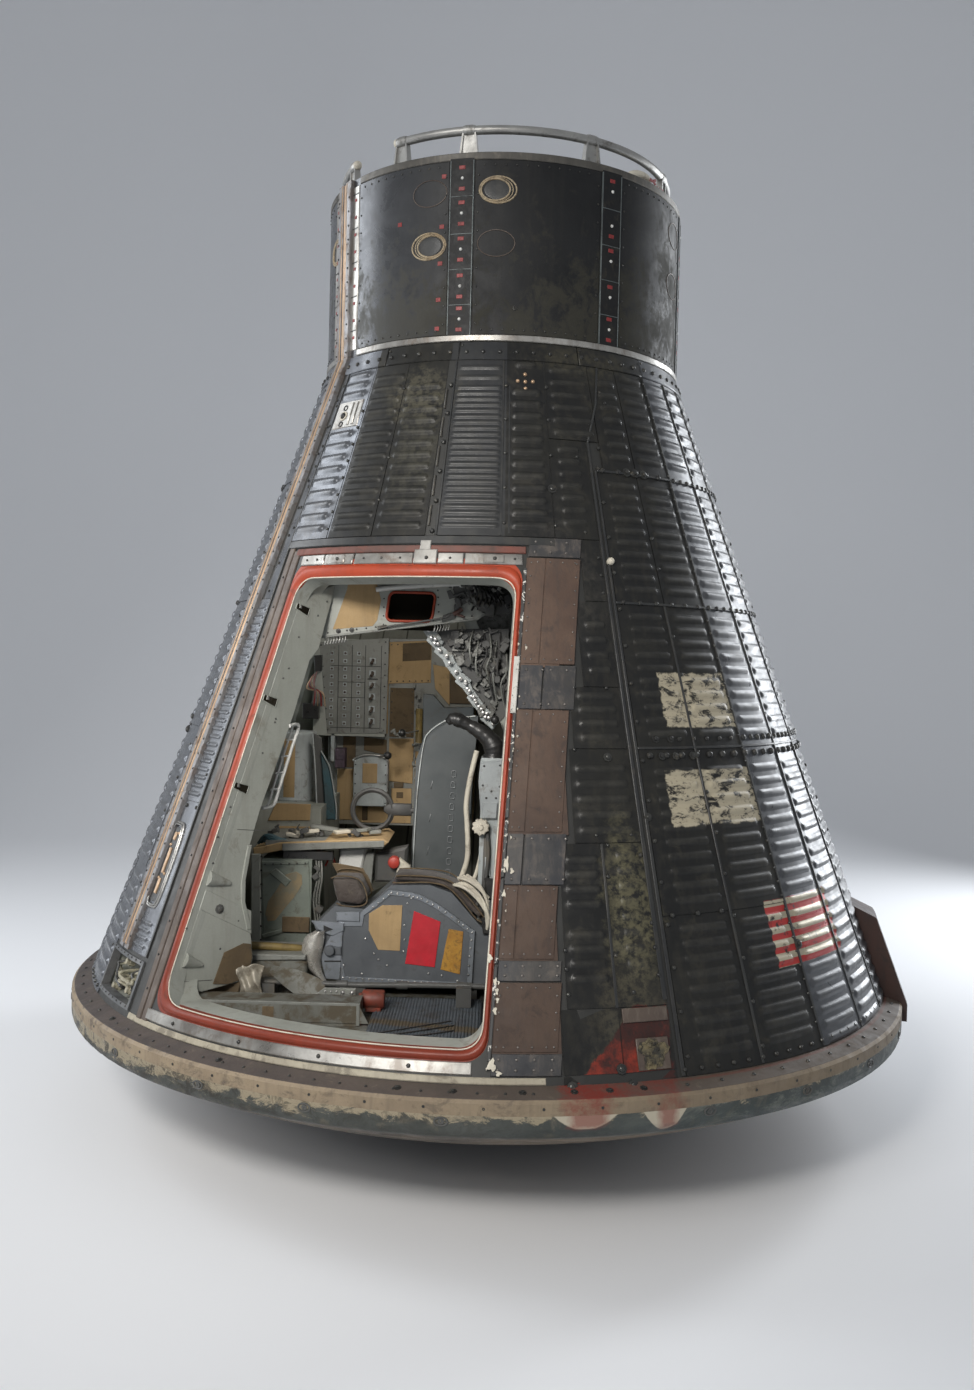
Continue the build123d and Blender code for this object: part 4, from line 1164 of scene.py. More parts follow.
top = cylinder["strapProud"]
strapEdges, strapChips, strapWhites = [], [], []
for index, az in enumerate(strapAz):
    for side in (-1, 1):
        line = az + side * (cylinder["strapHalf"] - 0.15)
        strapEdges.append(plateShape((line - 0.15, line + 0.15), (1.70, 2.066), top + 0.0010, edge=0.0004,
                                     tube=topRadius))
    for level in cylinder["cellLines"]:
        strapEdges.append(cylinderBar(az, level, 3.2, 0.0008, top + 0.0008, 0.0003))
    for level in cylinder["cellRivets"]:
        strapWhites.append(rivetLine([az + 0.1], [level], top, 0.0034, topRadius))
        for side in (-1, 1):
            if index and (level * 1000 + index * 7 + side) % 3 > 1.7:
                continue  # some of the red chips are gone
            strapChips.append(cylinderBar(az, level + side * cylinder["redReach"], 0.9, 0.0038, top + 0.0009))
for az, level in ((-18.2, 2.037), (-18.6, 1.935), (-18.9, 1.860), (-19.2, 1.786), (-19.4, 1.727),
                  (-32.6, 1.952)):
    strapChips.append(cylinderBar(az, level, 0.7, 0.0042, 0.0022))
for level in np.arange(1.74, 2.05, 0.037):
    for az in (-52.3, -65.0):
        strapChips.append(cylinderBar(az, level, 0.5, 0.003, 0.0034))
addPiece("strap_lines", strapEdges, "strapEdge")
addPiece("strap_chips", strapChips, "chipRed")
addHeads("strap_rivets", strapWhites, "whitePaint")


def ovalRing(az, z, wide, tall, thick, shift=0.0):
    # closed pipe round an oval lying on the cylinder
    turn = wholeTurn(48)
    azimuths = az + np.degrees((wide * np.cos(turn) + shift) / topRadius)
    return pipeShape(onSkin(azimuths, z + tall * np.sin(turn), 0.0016, topRadius), thick, 6, closed=True)


wide, tall = cylinder["ringWide"], cylinder["ringTall"]
creamRings, faintRings, ringCaps = [], [], []
for az, z, shift in ((-2.3, 2.005, -0.005), (-22.6, 1.897, 0.005), (-66.0, 1.95, 0.0)):
    creamRings += [ovalRing(az, z, wide, tall, 0.0020),
                   ovalRing(az, z, wide * 0.78, tall * 0.82, 0.0024, shift),
                   ovalRing(az, z, wide * 0.89, tall * 0.92, 0.0012, shift * 0.6)]
for az, z in ((-22.6, 2.005), (-2.5, 1.897), (67.6, 2.006), (66.9, 1.893), (155.0, 2.0), (155.0, 1.895),
              (240, 2.0)):
    faintRings.append(ovalRing(az, z, wide, tall, 0.0011))
for az, z in ((-2.3, 2.005), (-22.6, 1.897)):
    points, *faces = turnedShape([(0.74, -0.05), (0.74, 0.03), (0.68, 0.045), (0.3, 0.05)], 32)
    ringCaps.append(scattered((points * (wide, tall, 0.02), *faces), basis(az, z, 0.0012, topRadius)))
addPiece("port_rings", creamRings, "ringCream", sharp=60)
addPiece("port_outlines", faintRings, "frameBrown", sharp=60)
addPiece("port_caps", ringCaps, "blackMetal")
panelRivets = []
for west, east in panelSpans:
    for az in (west + 0.9, east - 0.9):
        panelRivets.append(rivetLine(az, np.arange(1.735, 2.05, 0.0375), 0.0013, 0.0022, topRadius))
    for level in (1.722, 2.056):
        panelRivets.append(rivetLine(np.arange(west + 2.6, east - 2, 3.1), level, 0.0013, 0.0022, topRadius))
panelRivets.append(rivetLine([3.4], [1.767], 0.0013, 0.0052, topRadius, shape=holeRing))
addHeads("cylinder_rivets", panelRivets)

# clean strips each side of the raceway, with dark cross lines
flank = [plateShape(span, (1.7125, 2.066), 0.0022, tube=topRadius)
         for span in ((-55.4, -50.6), (-67.1, -60.9))]
addPiece("raceway_flanks", flank, "silverBand")
lines = [plateShape((west, east), (level - 0.0012, level + 0.0012), 0.0030, edge=0.0005, tube=topRadius)
         for west, east in ((-55.2, -50.8), (-66.9, -61.1)) for level in np.arange(1.755, 2.05, 0.0735)]
addPiece("flank_lines", lines, "blackMetal")
rim = [plateShape((-50.2, 292.4), (2.0665, 2.0818), 0.0026, tube=topRadius, step=2.5)]
rim += [plateShape((-67.1, -62.6), (2.0665, 2.0818), 0.0026, tube=topRadius)]
addPiece("rim_band", rim, "rimMetal")
print("cylinder made")

# raceway
raceway = dict(azimuth=-58.0, proud=0.009)


def raceEdge(offset, tube=None):
    # azimuth of a line beside the raceway's middle plane, on the cone or on a tube:
    # arcsine of its distance over the radius
    def azimuth(z):
        radius = skinRadius(z) if tube is None else tube + 0 * z
        return raceway["azimuth"] + np.degrees(np.arcsin(offset / radius))

    return azimuth


def raceStrip(west, east, foot, head, thick, tube=None):
    # strip along the raceway between two distances from its middle plane
    return plateShape((raceEdge(west, tube), raceEdge(east, tube)), (foot, head), thick, edge=0.0008,
                      tube=tube)


proud = raceway["proud"]
bars = [raceStrip(-0.0034, 0.0034, foot, head, proud - 0.0008, tube)
        for foot, head, tube in ((0.452, 1.6945, None), (1.6975, 2.079, topRadius))]
bars += [raceStrip(side - 0.0012, side + 0.0012, foot, head, proud + 0.0012, tube)
         for foot, head, tube in ((0.452, 1.694, None), (1.698, 2.080, topRadius))
         for side in (-0.0105, 0.0105)]
addPiece("raceway_bar", bars, "copper")
covers = []
for feet, long, last, tube in ((np.arange(0.455, 1.66, 0.1525), 0.150, 1.693, None),
                               (np.arange(1.70, 2.05, 0.123), 0.121, 2.079, topRadius)):
    covers += [raceStrip(west, east, foot, min(foot + long, last), proud + 0.0012, tube) for foot in feet
               for west, east in ((-0.0275, -0.0130), (0.0130, 0.0275))]
addPiece("raceway_covers", covers, "racewayMetal")
raceHeads = []
for offset in (-0.0235, 0.0235):
    for z, tube in ((np.arange(0.47, 1.69, 0.0305), None), (np.arange(1.71, 2.07, 0.0305), topRadius)):
        raceHeads.append(rivetLine(raceEdge(offset, tube)(z), z, proud + 0.0012, 0.0024, tube))
addHeads("raceway_rivets", raceHeads)

# slot in the narrow column: a raised rim round a dark well with fittings in it
slotRim = []
for thick, inset, level in ((0.0030, 0.0, 0.0026), (0.0018, 0.004, 0.0052)):
    west, east, foot, head = -56.6 + inset * 60, -52.4 - inset * 60, 0.535 + inset, 0.700 - inset
    turn = wholeTurn(56)
    across, up = np.cos(turn), np.sin(turn)
    across, up = np.abs(across) ** 0.35 * np.sign(across), np.abs(up) ** 0.6 * np.sign(up)
    slotLine = onSkin((west + east) / 2 + (east - west) / 2 * across,
                      (foot + head) / 2 + (head - foot) / 2 * up, level)
    slotRim.append(pipeShape(slotLine, thick, 6, closed=True))
addPiece("slot_rim", slotRim, "steel", sharp=60)
addPiece("slot_well", [plateShape((-56.2, -52.8), (0.545, 0.690), 0.0030, edge=0.0006)], "blackPlastic")
slotParts = [plateShape((-54.9, -54.2), (foot, foot + tall), 0.0058, edge=0.0012)
             for foot, tall in ((0.56, 0.03), (0.60, 0.05), (0.665, 0.016))]
slotParts += [rivetLine([-55.2, -53.8, -55.2, -53.6], [0.59, 0.60, 0.655, 0.68], 0.003, 0.0036)]
addPiece("slot_parts", slotParts, "copper")
print("raceway made")

# hatch surround
hatch = dict(
    acute=1.45,
    leftPlane=-45.4,
    leftLip=0.026,
    rightFoot=-0.0055,
    rightSlope=0.0556,
    foot=0.388,
    head=1.204,
    corner=0.042,
)


def hatchLeft(z, offset=0.0):
    # azimuth of the opening's left lip, where an upright plane cuts the skin: arcsine of distance over radius
    return hatch["leftPlane"] + np.degrees(np.arcsin((hatch["leftLip"] - offset) / skinRadius(z)))


def hatchRight(z, offset=0.0):
    # azimuth of the opening's right side, whose x grows evenly with height
    x = hatch["rightFoot"] + hatch["rightSlope"] * (z - hatch["foot"]) + offset
    return np.degrees(np.arcsin(x / skinRadius(z)))


def hatchLoop(left=0.0, right=0.0, top=0.0, bottom=0.0, count=24):
    # closed line (azimuth, height) round the opening, moved out by an offset on each side;
    # each corner is a quadratic curve between points one corner radius away from it
    foot, head = hatch["foot"] - bottom, hatch["head"] + top
    corner = hatch["corner"]
    west0, west1, east1, east0 = (hatchLeft(foot, left), hatchLeft(head, left), hatchRight(head, right),
                                  hatchRight(foot, right))
    inset0, inset1 = (math.degrees(corner / skinRadius(level)) for level in (foot, head))
    up = np.linspace(foot + corner, head - corner, count)
    long = hatch["acute"]  # the sharp corner at the lower left curves over a longer way
    leftUp = np.linspace(foot + long * corner, head - corner, count)
    sides = [
        np.stack([hatchLeft(leftUp, left), leftUp], -1),
        np.stack([np.linspace(west1 + inset1, east1 - inset1, count), np.full(count, head)], -1),
        np.stack([hatchRight(up[::-1], right), up[::-1]], -1),
        np.stack([np.linspace(east0 - inset0, west0 + long * inset0, count), np.full(count, foot)], -1),
    ]
    corners = [(west1, head), (east1, head), (east0, foot), (west0, foot)]
    t = np.linspace(0, 1, 9)[1:-1, None]
    line = []
    for index in range(4):
        start, end, control = sides[index][-1], sides[(index + 1) % 4][0], np.array(corners[index])
        line += [sides[index], start * (1 - t) ** 2 + 2 * control * t * (1 - t) + end * t ** 2]
    line = np.concatenate(line)
    return line[:, 0], line[:, 1]


def hatchStrip(section, widths):
    # strip round the opening: each (share, out) of its section is a line moved by that share of the widths
    lines = []
    for share, out in section:
        az, z = hatchLoop(*(share * w for w in widths))
        lines.append(onSkin(az, z, out))
    return gridShape(np.stack(lines)[::-1], loop=True)


sealWidths = (0.023, 0.0095, 0.024, 0.017)  # left, right, top, bottom
share = np.linspace(0, 1, 9)
sealSection = list(zip(0.04 + 0.96 * share, -0.001 + 0.0062 * np.sin(math.pi * share) ** 0.7))
addPiece("seal_bulb", hatchStrip(sealSection, sealWidths), "orangeSeal", sharp=70)
az, z = hatchLoop(-0.0006, -0.0006, -0.0006, -0.0006)
addPiece("seal_piping", pipeShape(onSkin(az, z, 0.0004), 0.0014, 6, closed=True), "cream",
         sharp=70)
addPiece("seal_sleeve", hatchStrip([(-0.0028, -0.031), (-0.0009, -0.0015)], (1, 1, 1, 1)), "sleeveGrey",
         sharp=70)


def besideLeft(offset):
    # line beside the left lip at a fixed distance
    return lambda z: hatchLeft(z, offset)


def besideRight(offset):
    # line beside the right side at a fixed distance
    return lambda z: hatchRight(z, offset)


strips = [plateShape((besideLeft(0.066), besideLeft(0.049)), (0.346, 1.268), 0.0040),
          plateShape((besideLeft(0.0475), besideLeft(0.0265)), (0.346, 1.262), 0.0028)]
addPiece("frame_strips", strips, "frameBrown")
addPiece("head_red_strip", [plateShape((-46.5, 5.6), (1.2515, 1.2655), 0.0034)], "brownRed")
addPiece("head_dark_strip", [plateShape((-50.2, 11.4), (1.2675, 1.2840), 0.0046)], "blackMetal")
headBands = [plateShape(span, (1.2290, 1.2498), 0.0042)
             for span in ((-43.8, -37.2), (-36.9, -29.6), (-29.2, -16.4), (-11.4, -6.4), (-6.1, 4.9))]
headBands += [plateShape(span, reach, thick) for span, reach, thick in (
    ((-16.2, -11.6), (1.2280, 1.2560), 0.0058), ((-15.2, -13.0), (1.254, 1.274), 0.0066),
    ((-35.2, -31.6), (1.2310, 1.2480), 0.0060), ((-2.6, 1.4), (1.2310, 1.2480), 0.0060))]
addPiece("head_bands", headBands, "silverBand")
addHeads("head_bolts",
         [rivetLine([-33.3, -13.6, -0.4], 1.239, 0.0058, 0.0040),
          rivetLine([-42, -39, -27, -23, -19, -9, 3.4], 1.2395, 0.0042, 0.0026)])
addPiece("sill", plateShape((-45.9, -1.4), (0.3505, 0.3700), 0.0034), "silverBand")
addHeads("sill_bolts", [rivetLine([-40, -29, -18.5, -8.2], 0.3600, 0.0034, 0.0040)])
addPiece("cream_strip", [plateShape((-50.2, 6.6), (0.3368, 0.3478), 0.0022)], "creamStrip")
z = np.arange(0.40, 1.25, 0.062)
addHeads("frame_rivets", rivetLine(hatchLeft(z, 0.057), z, 0.0040, 0.0026))

# edge of the opening on the right: dark angle with chipped white paint
edges = [plateShape((besideRight(0.0105), besideRight(0.0165)), (foot, head), 0.0062, edge=0.0012)
         for foot, head in ((0.372, 0.52), (0.524, 0.66), (0.664, 0.76), (0.764, 1.02), (1.024, 1.222))]
addPiece("edge_angle", edges, "chipped")

# plates beside the hatch: brown ones over the CAD's, in two widths, and dark ones between
brownTable = [
    # foot, head, joint, last: distances from the hatch edge in metres
    (1.040, 1.243, 0.052, 0.118), (0.740, 0.955, 0.047, 0.113), (0.531, 0.650, 0.043, 0.112),
    (0.386, 0.494, 0.000, 0.128),
]
browns = []
for foot, head, joint, last in brownTable:
    spans = [(0.0175, joint - 0.0008), (joint + 0.0008, last)] if joint else [(0.0175, last)]
    for first, second in spans:
        browns.append(plateShape((besideRight(first), besideRight(second)), (foot, head), 0.0054,
                                 edge=0.0010))
addPiece("brown_plates", browns, "brownPlate")
darkTable = [
    (1.246, 1.284, 0.0175, 0.118), (0.957, 1.038, 0.0175, 0.060), (0.957, 1.038, 0.0625, 0.122),
    (0.652, 0.738, 0.0175, 0.046), (0.652, 0.738, 0.0485, 0.122), (0.496, 0.529, 0.0175, 0.126),
    (0.3500, 0.384, 0.0175, 0.136),
]
darks = [plateShape((besideRight(first), besideRight(second)), (foot, head), 0.0040, edge=0.0010)
         for foot, head, first, second in darkTable]
addPiece("dark_plates", darks, "bluePlate")
plateHeads = []
for foot, head, joint, last in brownTable:
    z = np.arange(foot + 0.008, head, 0.0265)
    for offset in (0.024, last - 0.007):
        plateHeads.append(rivetLine(hatchRight(z, offset), z, 0.0054, 0.0019))
    across = np.arange(0.036, last - 0.01, 0.024)
    for level in (foot + 0.008, head - 0.008):
        plateHeads.append(rivetLine(hatchRight(np.full(len(across), level), across), level, 0.0054, 0.0019))
for foot, head, first, second in darkTable:
    for level in (foot + 0.009, head - 0.009):
        across = np.arange(first + 0.012, second, 0.03)
        plateHeads.append(rivetLine(hatchRight(np.full(len(across), level), across), level, 0.0040, 0.0026))
addHeads("plate_rivets", plateHeads, "dullHead")

# patches of old white paint beside the edge, as thin ragged sheets
paintFlakes = []
flakes = [(2.2, 0.686, 0.30, 0.011), (2.9, 0.674, 0.22, 0.005), (0.3, 0.532, 0.28, 0.007),
          (0.75, 0.366, 0.45, 0.009), (1.5, 0.354, 0.30, 0.004)]
for level in 0.36 + 0.72 * seeded.random(20) ** 1.4:  # small chips, thicker towards the foot
    offset = 0.0100 + 0.016 * seeded.random()
    size = 0.0010 + 0.0026 * seeded.random() ** 2
    flakes.append((float(hatchRight(level, offset)), level, math.degrees(size / skinRadius(level)),
                   size * 1.8))
for az, level, wide, tall in flakes:
    turn = wholeTurn(14)
    reach = 1 + 0.28 * np.sin(3 * turn + az * 5) + 0.2 * np.sin(5 * turn + level * 40)
    rings = []
    for share, out in ((1.0, 0.0030), (1.0, 0.0064), (0.92, 0.0068), (0.4, 0.0068)):
        rings.append(onSkin(az + wide * share * reach * np.cos(turn),
                            level + tall * share * reach * np.sin(turn), out))
    paintFlakes.append(ringsShape(rings))
addPiece("paint_flakes", paintFlakes, "cream")
knob = turnedShape([(0.007, -0.004), (0.0074, 0.002), (0.0066, 0.006), (0.0042, 0.009), (0.0014, 0.010)], 16)
addPiece("cream_knob", scattered(knob, basis(22.6, 1.243, 0.003)), "cream")
print("hatch surround made")

# red patch with its broken hole
patchSheets = [shingleShape(az, z, [], shingleLook)[0] for az, z in (
    ((8.5, 15.3), (0.3500, 0.4515)), ((15.3, 21.6), (0.3500, 0.4515)), ((8.5, 21.6), (0.3364, 0.3490)))]
addPiece("patch_sheets", patchSheets, "shingle")
torn = [plateShape(az, z, thick, edge=0.0009) for az, z, thick in (
    ((17.0, 20.9), (0.352, 0.402), 0.0044), ((15.7, 21.3), (0.4275, 0.4500), 0.0046))]
addPiece("patch_frames", torn, "frameBrown")
holeTurn = wholeTurn(28)
holeReach = 1 + 0.16 * np.sin(3 * holeTurn + 0.6) + 0.13 * np.sin(5 * holeTurn) + 0.08 * np.sin(11 * holeTurn)
rings = [onSkin(18.9 + 1.62 * share * holeReach * np.cos(holeTurn),
                0.378 + 0.0235 * share * holeReach * np.sin(holeTurn), out)
         for share, out in ((1.0, 0.002), (1.0, 0.0056), (0.84, 0.0060), (0.80, 0.0048), (0.3, 0.0046))]
addPiece("torn_hole", ringsShape(rings), "tornFoam")
crust = []
for index in range(11):
    turn = index * 0.571 + 0.2
    az, level = 18.9 + 1.1 * math.cos(turn) * (0.4 + 0.05 * index), 0.378 + 0.017 * math.sin(turn * 1.7)
    size = 0.0035 + 0.0012 * math.sin(index * 2.1)
    crust.append(rivetLine([az], [level], 0.0044, size, shape=turnedShape(
        [(1.0, -0.4), (1.1, 0.3), (0.7, 0.7 + 0.2 * math.sin(index)), (0.2, 0.8)], 7)))
addPiece("torn_flakes", crust, "tornFoam")
print("red patch made")

# shield, ring and base
ring = dict(
    bandRadius=0.9405,  # the ring is tan outside this radius, brown inside it
    tan=(0.30, 0.235, 0.155),
    ledge=(0.082, 0.064, 0.056),
    red=(0.17, 0.024, 0.015),
    line=(0.12, 0.045, 0.032),
)


def tongue(az, z, west, east, tip):
    # how far a point is inside a rounded tongue that hangs from the ring down to a height
    middle, half = (west + east) / 2, (east - west) / 2
    share = (az - middle) / half
    lowest = calc("MULTIPLY_ADD", share * share, 0.3 - tip, tip)
    inside = (z - lowest) * 90.0
    return calc("MINIMUM", inside, (1.0 - calc("ABSOLUTE", share)) * half)


def ringMaterial():
    # tan band with a darker ledge inside it, burns, a thin line and worn red paint between ragged limits
    look = dict(base=ring["tan"], second=(0.235, 0.18, 0.12), dirt=(0.09, 0.07, 0.055), dirtFrom=0.56,
                streak=0.25, rough=(0.55, 0.8), patch=11.0, grainDepth=0.3)
    material, shader, place = newMaterial("ringBand")
    colour, roughness, height = layers(place, look)
    az, z, radius = polar(place)
    ragged = noise(place, 26.0, 8, 0.72)
    ledge, _, _ = layers(place,
                         dict(base=ring["ledge"], second=(0.055, 0.045, 0.042), dirt=(0.16, 0.13, 0.10),
                              dirtFrom=0.58, patch=13.0, streak=0.0))
    inner = calc("LESS_THAN", radius, ring["bandRadius"])
    colour = mix(inner, colour, ledge)
    browned = ramp(az, -30, 15, 0.0, 0.42) * ramp(az, 120, 170, 1.0, 0.0)
    colour = mix(browned, colour, (0.10, 0.075, 0.05))
    thin = calc("MINIMUM", between(radius, 0.9065, 0.9130, 400.0), az - 21.0)
    colour = mix(grow(thin, ragged, 2.4, 0.3) * 0.7, colour, ring["line"])
    burnt = ramp(noise(place, 19.0, 9, 0.74, 0.5, stretch=(1, 1, 1.8)), 0.53, 0.60)
    colour = mix(burnt * ramp(az, -60, 40, 0.75, 0.3), colour, (0.075, 0.06, 0.048))
    thinPaint = ramp(noise(place, 48.0, 8, 0.75), 0.40, 0.56, 0.35, 0.95)
    onLedge = grow(between(az, 8.2, 14.6), ragged, 7.0, 0.9) * inner
    colour = mix(onLedge * thinPaint, colour, ring["red"])
    faded = grow(between(az, 14.0, 21.0), ragged, 8.0, 1.5) * inner
    colour = mix(faded * thinPaint * 0.45, colour, ring["red"])
    for west, east, share in ((8.4, 12.8, 0.75), (18.0, 20.8, 0.5)):
        onBand = grow(between(az, west, east), ragged, 5.0, 0.8)
        colour = mix(onBand * thinPaint * share, colour, ring["red"])
    finish(shader, colour, roughness, height, look)
    return material


def shieldMaterial():
    # charred cloth and resin: tan mottles below the ring, cloth laid in rings under the dish
    look = dict(base=(0.038, 0.042, 0.037), second=(0.06, 0.066, 0.06), dirt=(0.13, 0.115, 0.085),
                dirtFrom=0.55, rough=(0.42, 0.75), patch=7.0, grain=170.0, grainDepth=0.6, dents=1.5)
    material, shader, place = newMaterial("ablatedShield")
    colour, roughness, height = layers(place, look)
    az, z, radius = polar(place)
    ragged = noise(place, 26.0, 8, 0.72)
    mottle = noise(place, 17.0, 9, 0.78, 0.6, stretch=(1, 1, 2.2))
    top = ramp(z, 0.268, 0.300, -0.20, 0.08)
    left = ramp(az, -50, 45, 0.11, -0.12)
    mask = ramp(mottle + top + left, 0.50, 0.55)
    colour = mix(mask * 0.85, colour, (0.31, 0.26, 0.175))
    # black char and brown patches left of the hatch's middle
    char = noise(place, 23.0, 9, 0.8, 0.9, stretch=(1, 1, 1.5))
    charred = ramp(char, 0.50, 0.56) * ramp(az, -40, 10, 0.85, 0.15)
    colour = mix(charred, colour, (0.022, 0.018, 0.013))
    brown = ramp(char, 0.46, 0.38) * ramp(az, -30, 0, 0.7, 0.0)
    colour = mix(brown, colour, (0.13, 0.105, 0.07))
    pale = ramp(noise(place, 8.0, 9, 0.78, 0.8, stretch=(1, 1, 2.4)), 0.50, 0.60) * ramp(az, 12, 26, 0.0, 0.6)
    colour = mix(pale, colour, (0.22, 0.22, 0.18))
    teal = ramp(az, 0, 22, 0.0, 0.55) * ramp(z, 0.30, 0.25, 0.3, 1.0)
    colour = mix(teal * (1.0 - mask), colour, (0.05, 0.075, 0.08))
    for west, east, tip in ((7.0, 13.6, 0.277), (16.4, 21.2, 0.267)):
        depth = tongue(az, z, west, east, tip)
        colour = mix(grow(depth, ragged, 0.7, 0.1), colour, (0.40, 0.36, 0.28))
        blush = calc("MINIMUM", depth, between(az, west + 1.8, east - 1.2))
        colour = mix(grow(blush, ragged, 2.2, 0.5) * 0.7, colour, ring["red"])
    # rings of cloth tape under the dish, each split into lengths
    rings = radius * (1 / 0.0265)  # the tape is 26.5 mm wide
    edge = calc("ABSOLUTE", calc("FRACT", rings) - 0.5)
    lap = ramp(edge, 0.42, 0.5)
    index = calc("FLOOR", rings)
    shade = node(place.tree, "TexWhiteNoise", 0, noise_dimensions="1D", W=index)
    weave = noise(place, 90.0, 4, 0.6, stretch=(1, 1, 0.2))
    under = mix(ramp(noise(place, 3.2, 9, 0.75, 1.2), 0.42, 0.6), (0.055, 0.046, 0.036), (0.19, 0.145, 0.10))
    under = mix(shade * 0.35, under, (0.09, 0.075, 0.06))
    under = mix(lap * 0.7, under, (0.02, 0.018, 0.016))
    below = ramp(z, 0.246, 0.258, 1.0, 0.0)
    colour = mix(below, colour, under)
    height = height + lap * below * (-0.0012)
    height = height + weave * 0.0004
    finish(shader, colour, roughness, height, look)
    return material


mat["ringBand"] = ringMaterial()
mat["shield"] = shieldMaterial()


def ledgeFrames(az, radius):
    # frames on the sloping ledge of the ring
    az, radius = np.broadcast_arrays(np.radians(np.asarray(az, float)), np.asarray(radius, float))
    tilt = math.atan2(0.010, 0.0373)
    z = ringTop + (0.940 - radius) * math.tan(tilt)
    zero = np.zeros_like(az)
    east = np.stack([np.cos(az), np.sin(az), zero], -1)
    normal = np.stack([math.sin(tilt) * np.sin(az), -math.sin(tilt) * np.cos(az), math.cos(tilt) + zero], -1)
    return onCircle(radius, az, z), east, np.cross(normal, east), normal


ledgeHeads = [scattered(rivetHead, ledgeFrames(np.arange(-50, 8, 2.9), 0.925), 0.0028),
              scattered(rivetHead, ledgeFrames(np.arange(22, 308, 4.4), 0.9235), 0.0036),
              scattered(washerBolt,
                        ledgeFrames(np.array([-52, -30.5, -9, -3.2, 4.0, 9.4, 13.2, 17.0]), 0.921), 0.0036)]
addHeads("ledge_bolts", ledgeHeads)
bandHeads = [scattered(countersunk, basis(np.arange(-90, 270, 6.0), 0.312, 0.0002, shieldRadius), 0.0026)]
addHeads("ring_screws", bandHeads)
ovals = []
for az in np.concatenate([[-47.5, -32.0, -18.5, -4.2], np.arange(24, 300, 13.8)]):
    turn = wholeTurn(24)
    line = onSkin(az + np.degrees(0.011 * np.cos(turn) / shieldRadius), 0.2892 + 0.0068 * np.sin(turn),
                  0.0006, shieldRadius)
    ovals.append(pipeShape(line, 0.0016, 6, closed=True))
    ovals.append(scattered(countersunk, basis(az, 0.2892, 0.0004, shieldRadius), 0.0052))
addPiece("rim_plugs", ovals, "darkGrey", sharp=50)
print("shield and ring made")

# equipment bay, window, rail and top
bayTubes, bayDark = [], []
for index in range(13):
    start = np.array([-61.6 + 9.2 * ((index * 0.381966) % 1), 0.364 + 0.008 * (index % 3)])
    end = np.array([-61.8 + 9.6 * ((index * 0.618034 + 0.3) % 1), 0.424 - 0.012 * (index % 4)])
    middle = (start + end) / 2 + (2.6 * math.sin(index * 2.3), 0.010 * math.cos(index * 1.7))
    route = np.array([start, (start + middle) / 2 + (1.2 * math.cos(index), 0.004), middle,
                      (middle + end) / 2 - (1.0 * math.cos(index), 0.003), end])
    depth = -0.014 - 0.003 * (index % 5) + 0.006 * np.sin(np.linspace(0, math.pi, 5))
    depth[[0, -1]] = -0.047  # both ends are fixed in the floor of the bay
    line = bent(onSkin(route[:, 0], route[:, 1], depth))
    (bayTubes if index % 3 else bayDark).append(pipeShape(line, 0.0026 + 0.0006 * (index % 3), 8))
for az, level in ((-60.5, 0.365), (-55.0, 0.375), (-52.6, 0.40), (-58.5, 0.42)):
    bayTubes.append(rivetLine([az], [level], -0.022, 0.0085, shape=turnedShape(
        [(1.0, -0.8), (1.0, 0.5), (0.8, 0.6), (0.8, 1.3), (0.3, 1.4)], 10)))
addPiece("bay_plumbing", bayTubes, "wireCream", sharp=45)
addPiece("bay_pipes", bayDark, "darkGrey", sharp=45)
bayHeads = [rivetLine(np.arange(-62.2, -51, 1.55), level, 0.004, 0.0020) for level in (0.354, 0.436)]
addHeads("bay_rivets", bayHeads)

window = dict(azimuth=-110.0, foot=0.790, head=1.245, footHalf=0.1395, headHalf=0.095)


def windowLine(inset):
    # points (azimuth, height) round the window frame, some way outside the glass
    z0, w0, z1, w1 = (window["foot"] - inset, window["footHalf"] + inset, window["head"] + inset,
                      window["headHalf"] + inset)
    up = np.linspace(0.06, 0.94, 12)
    side = np.stack([w0 + (w1 - w0) * up, z0 + (z1 - z0) * up], -1)
    foot = np.stack([np.linspace(-w0 * 0.86, w0 * 0.86, 9), np.full(9, z0)], -1)
    head = np.stack([np.linspace(w1 * 0.86, -w1 * 0.86, 7), np.full(7, z1)], -1)
    line = np.concatenate([foot, side, head, side[::-1] * (-1, 1)])
    return window["azimuth"] + np.degrees(np.arcsin(line[:, 0] / skinRadius(line[:, 1]))), line[:, 1]


az, z = windowLine(0.016)
addHeads("window_bolts", rivetLine(az, z, 0.006, 0.0038, shape=washerBolt))
az, z = windowLine(0.003)
addPiece("window_gasket", pipeShape(onSkin(az, z, 0.0050), 0.0030, 8, closed=True), "darkRubber",
         sharp=60)


def glassMaterial():
    # clear pane with smears in its roughness
    material, shader, place = newMaterial("pane")
    shader.inputs["Base Color"].default_value = (0.80, 0.86, 0.86, 1)
    shader.inputs["Transmission Weight"].default_value = 1.0
    shader.inputs["IOR"].default_value = 1.45
    feed(shader.inputs["Roughness"], ramp(noise(place, 9.0, 6, 0.7), 0.4, 0.7, 0.02, 0.16))
    return material


mat["pane"] = glassMaterial()
besideWindow = [plateShape(span, (0.745, 1.28), 0.0034) for span in ((-124.6, -121.6), (-98.2, -95.6))]
addPiece("window_side_plates", besideWindow, "shingle")

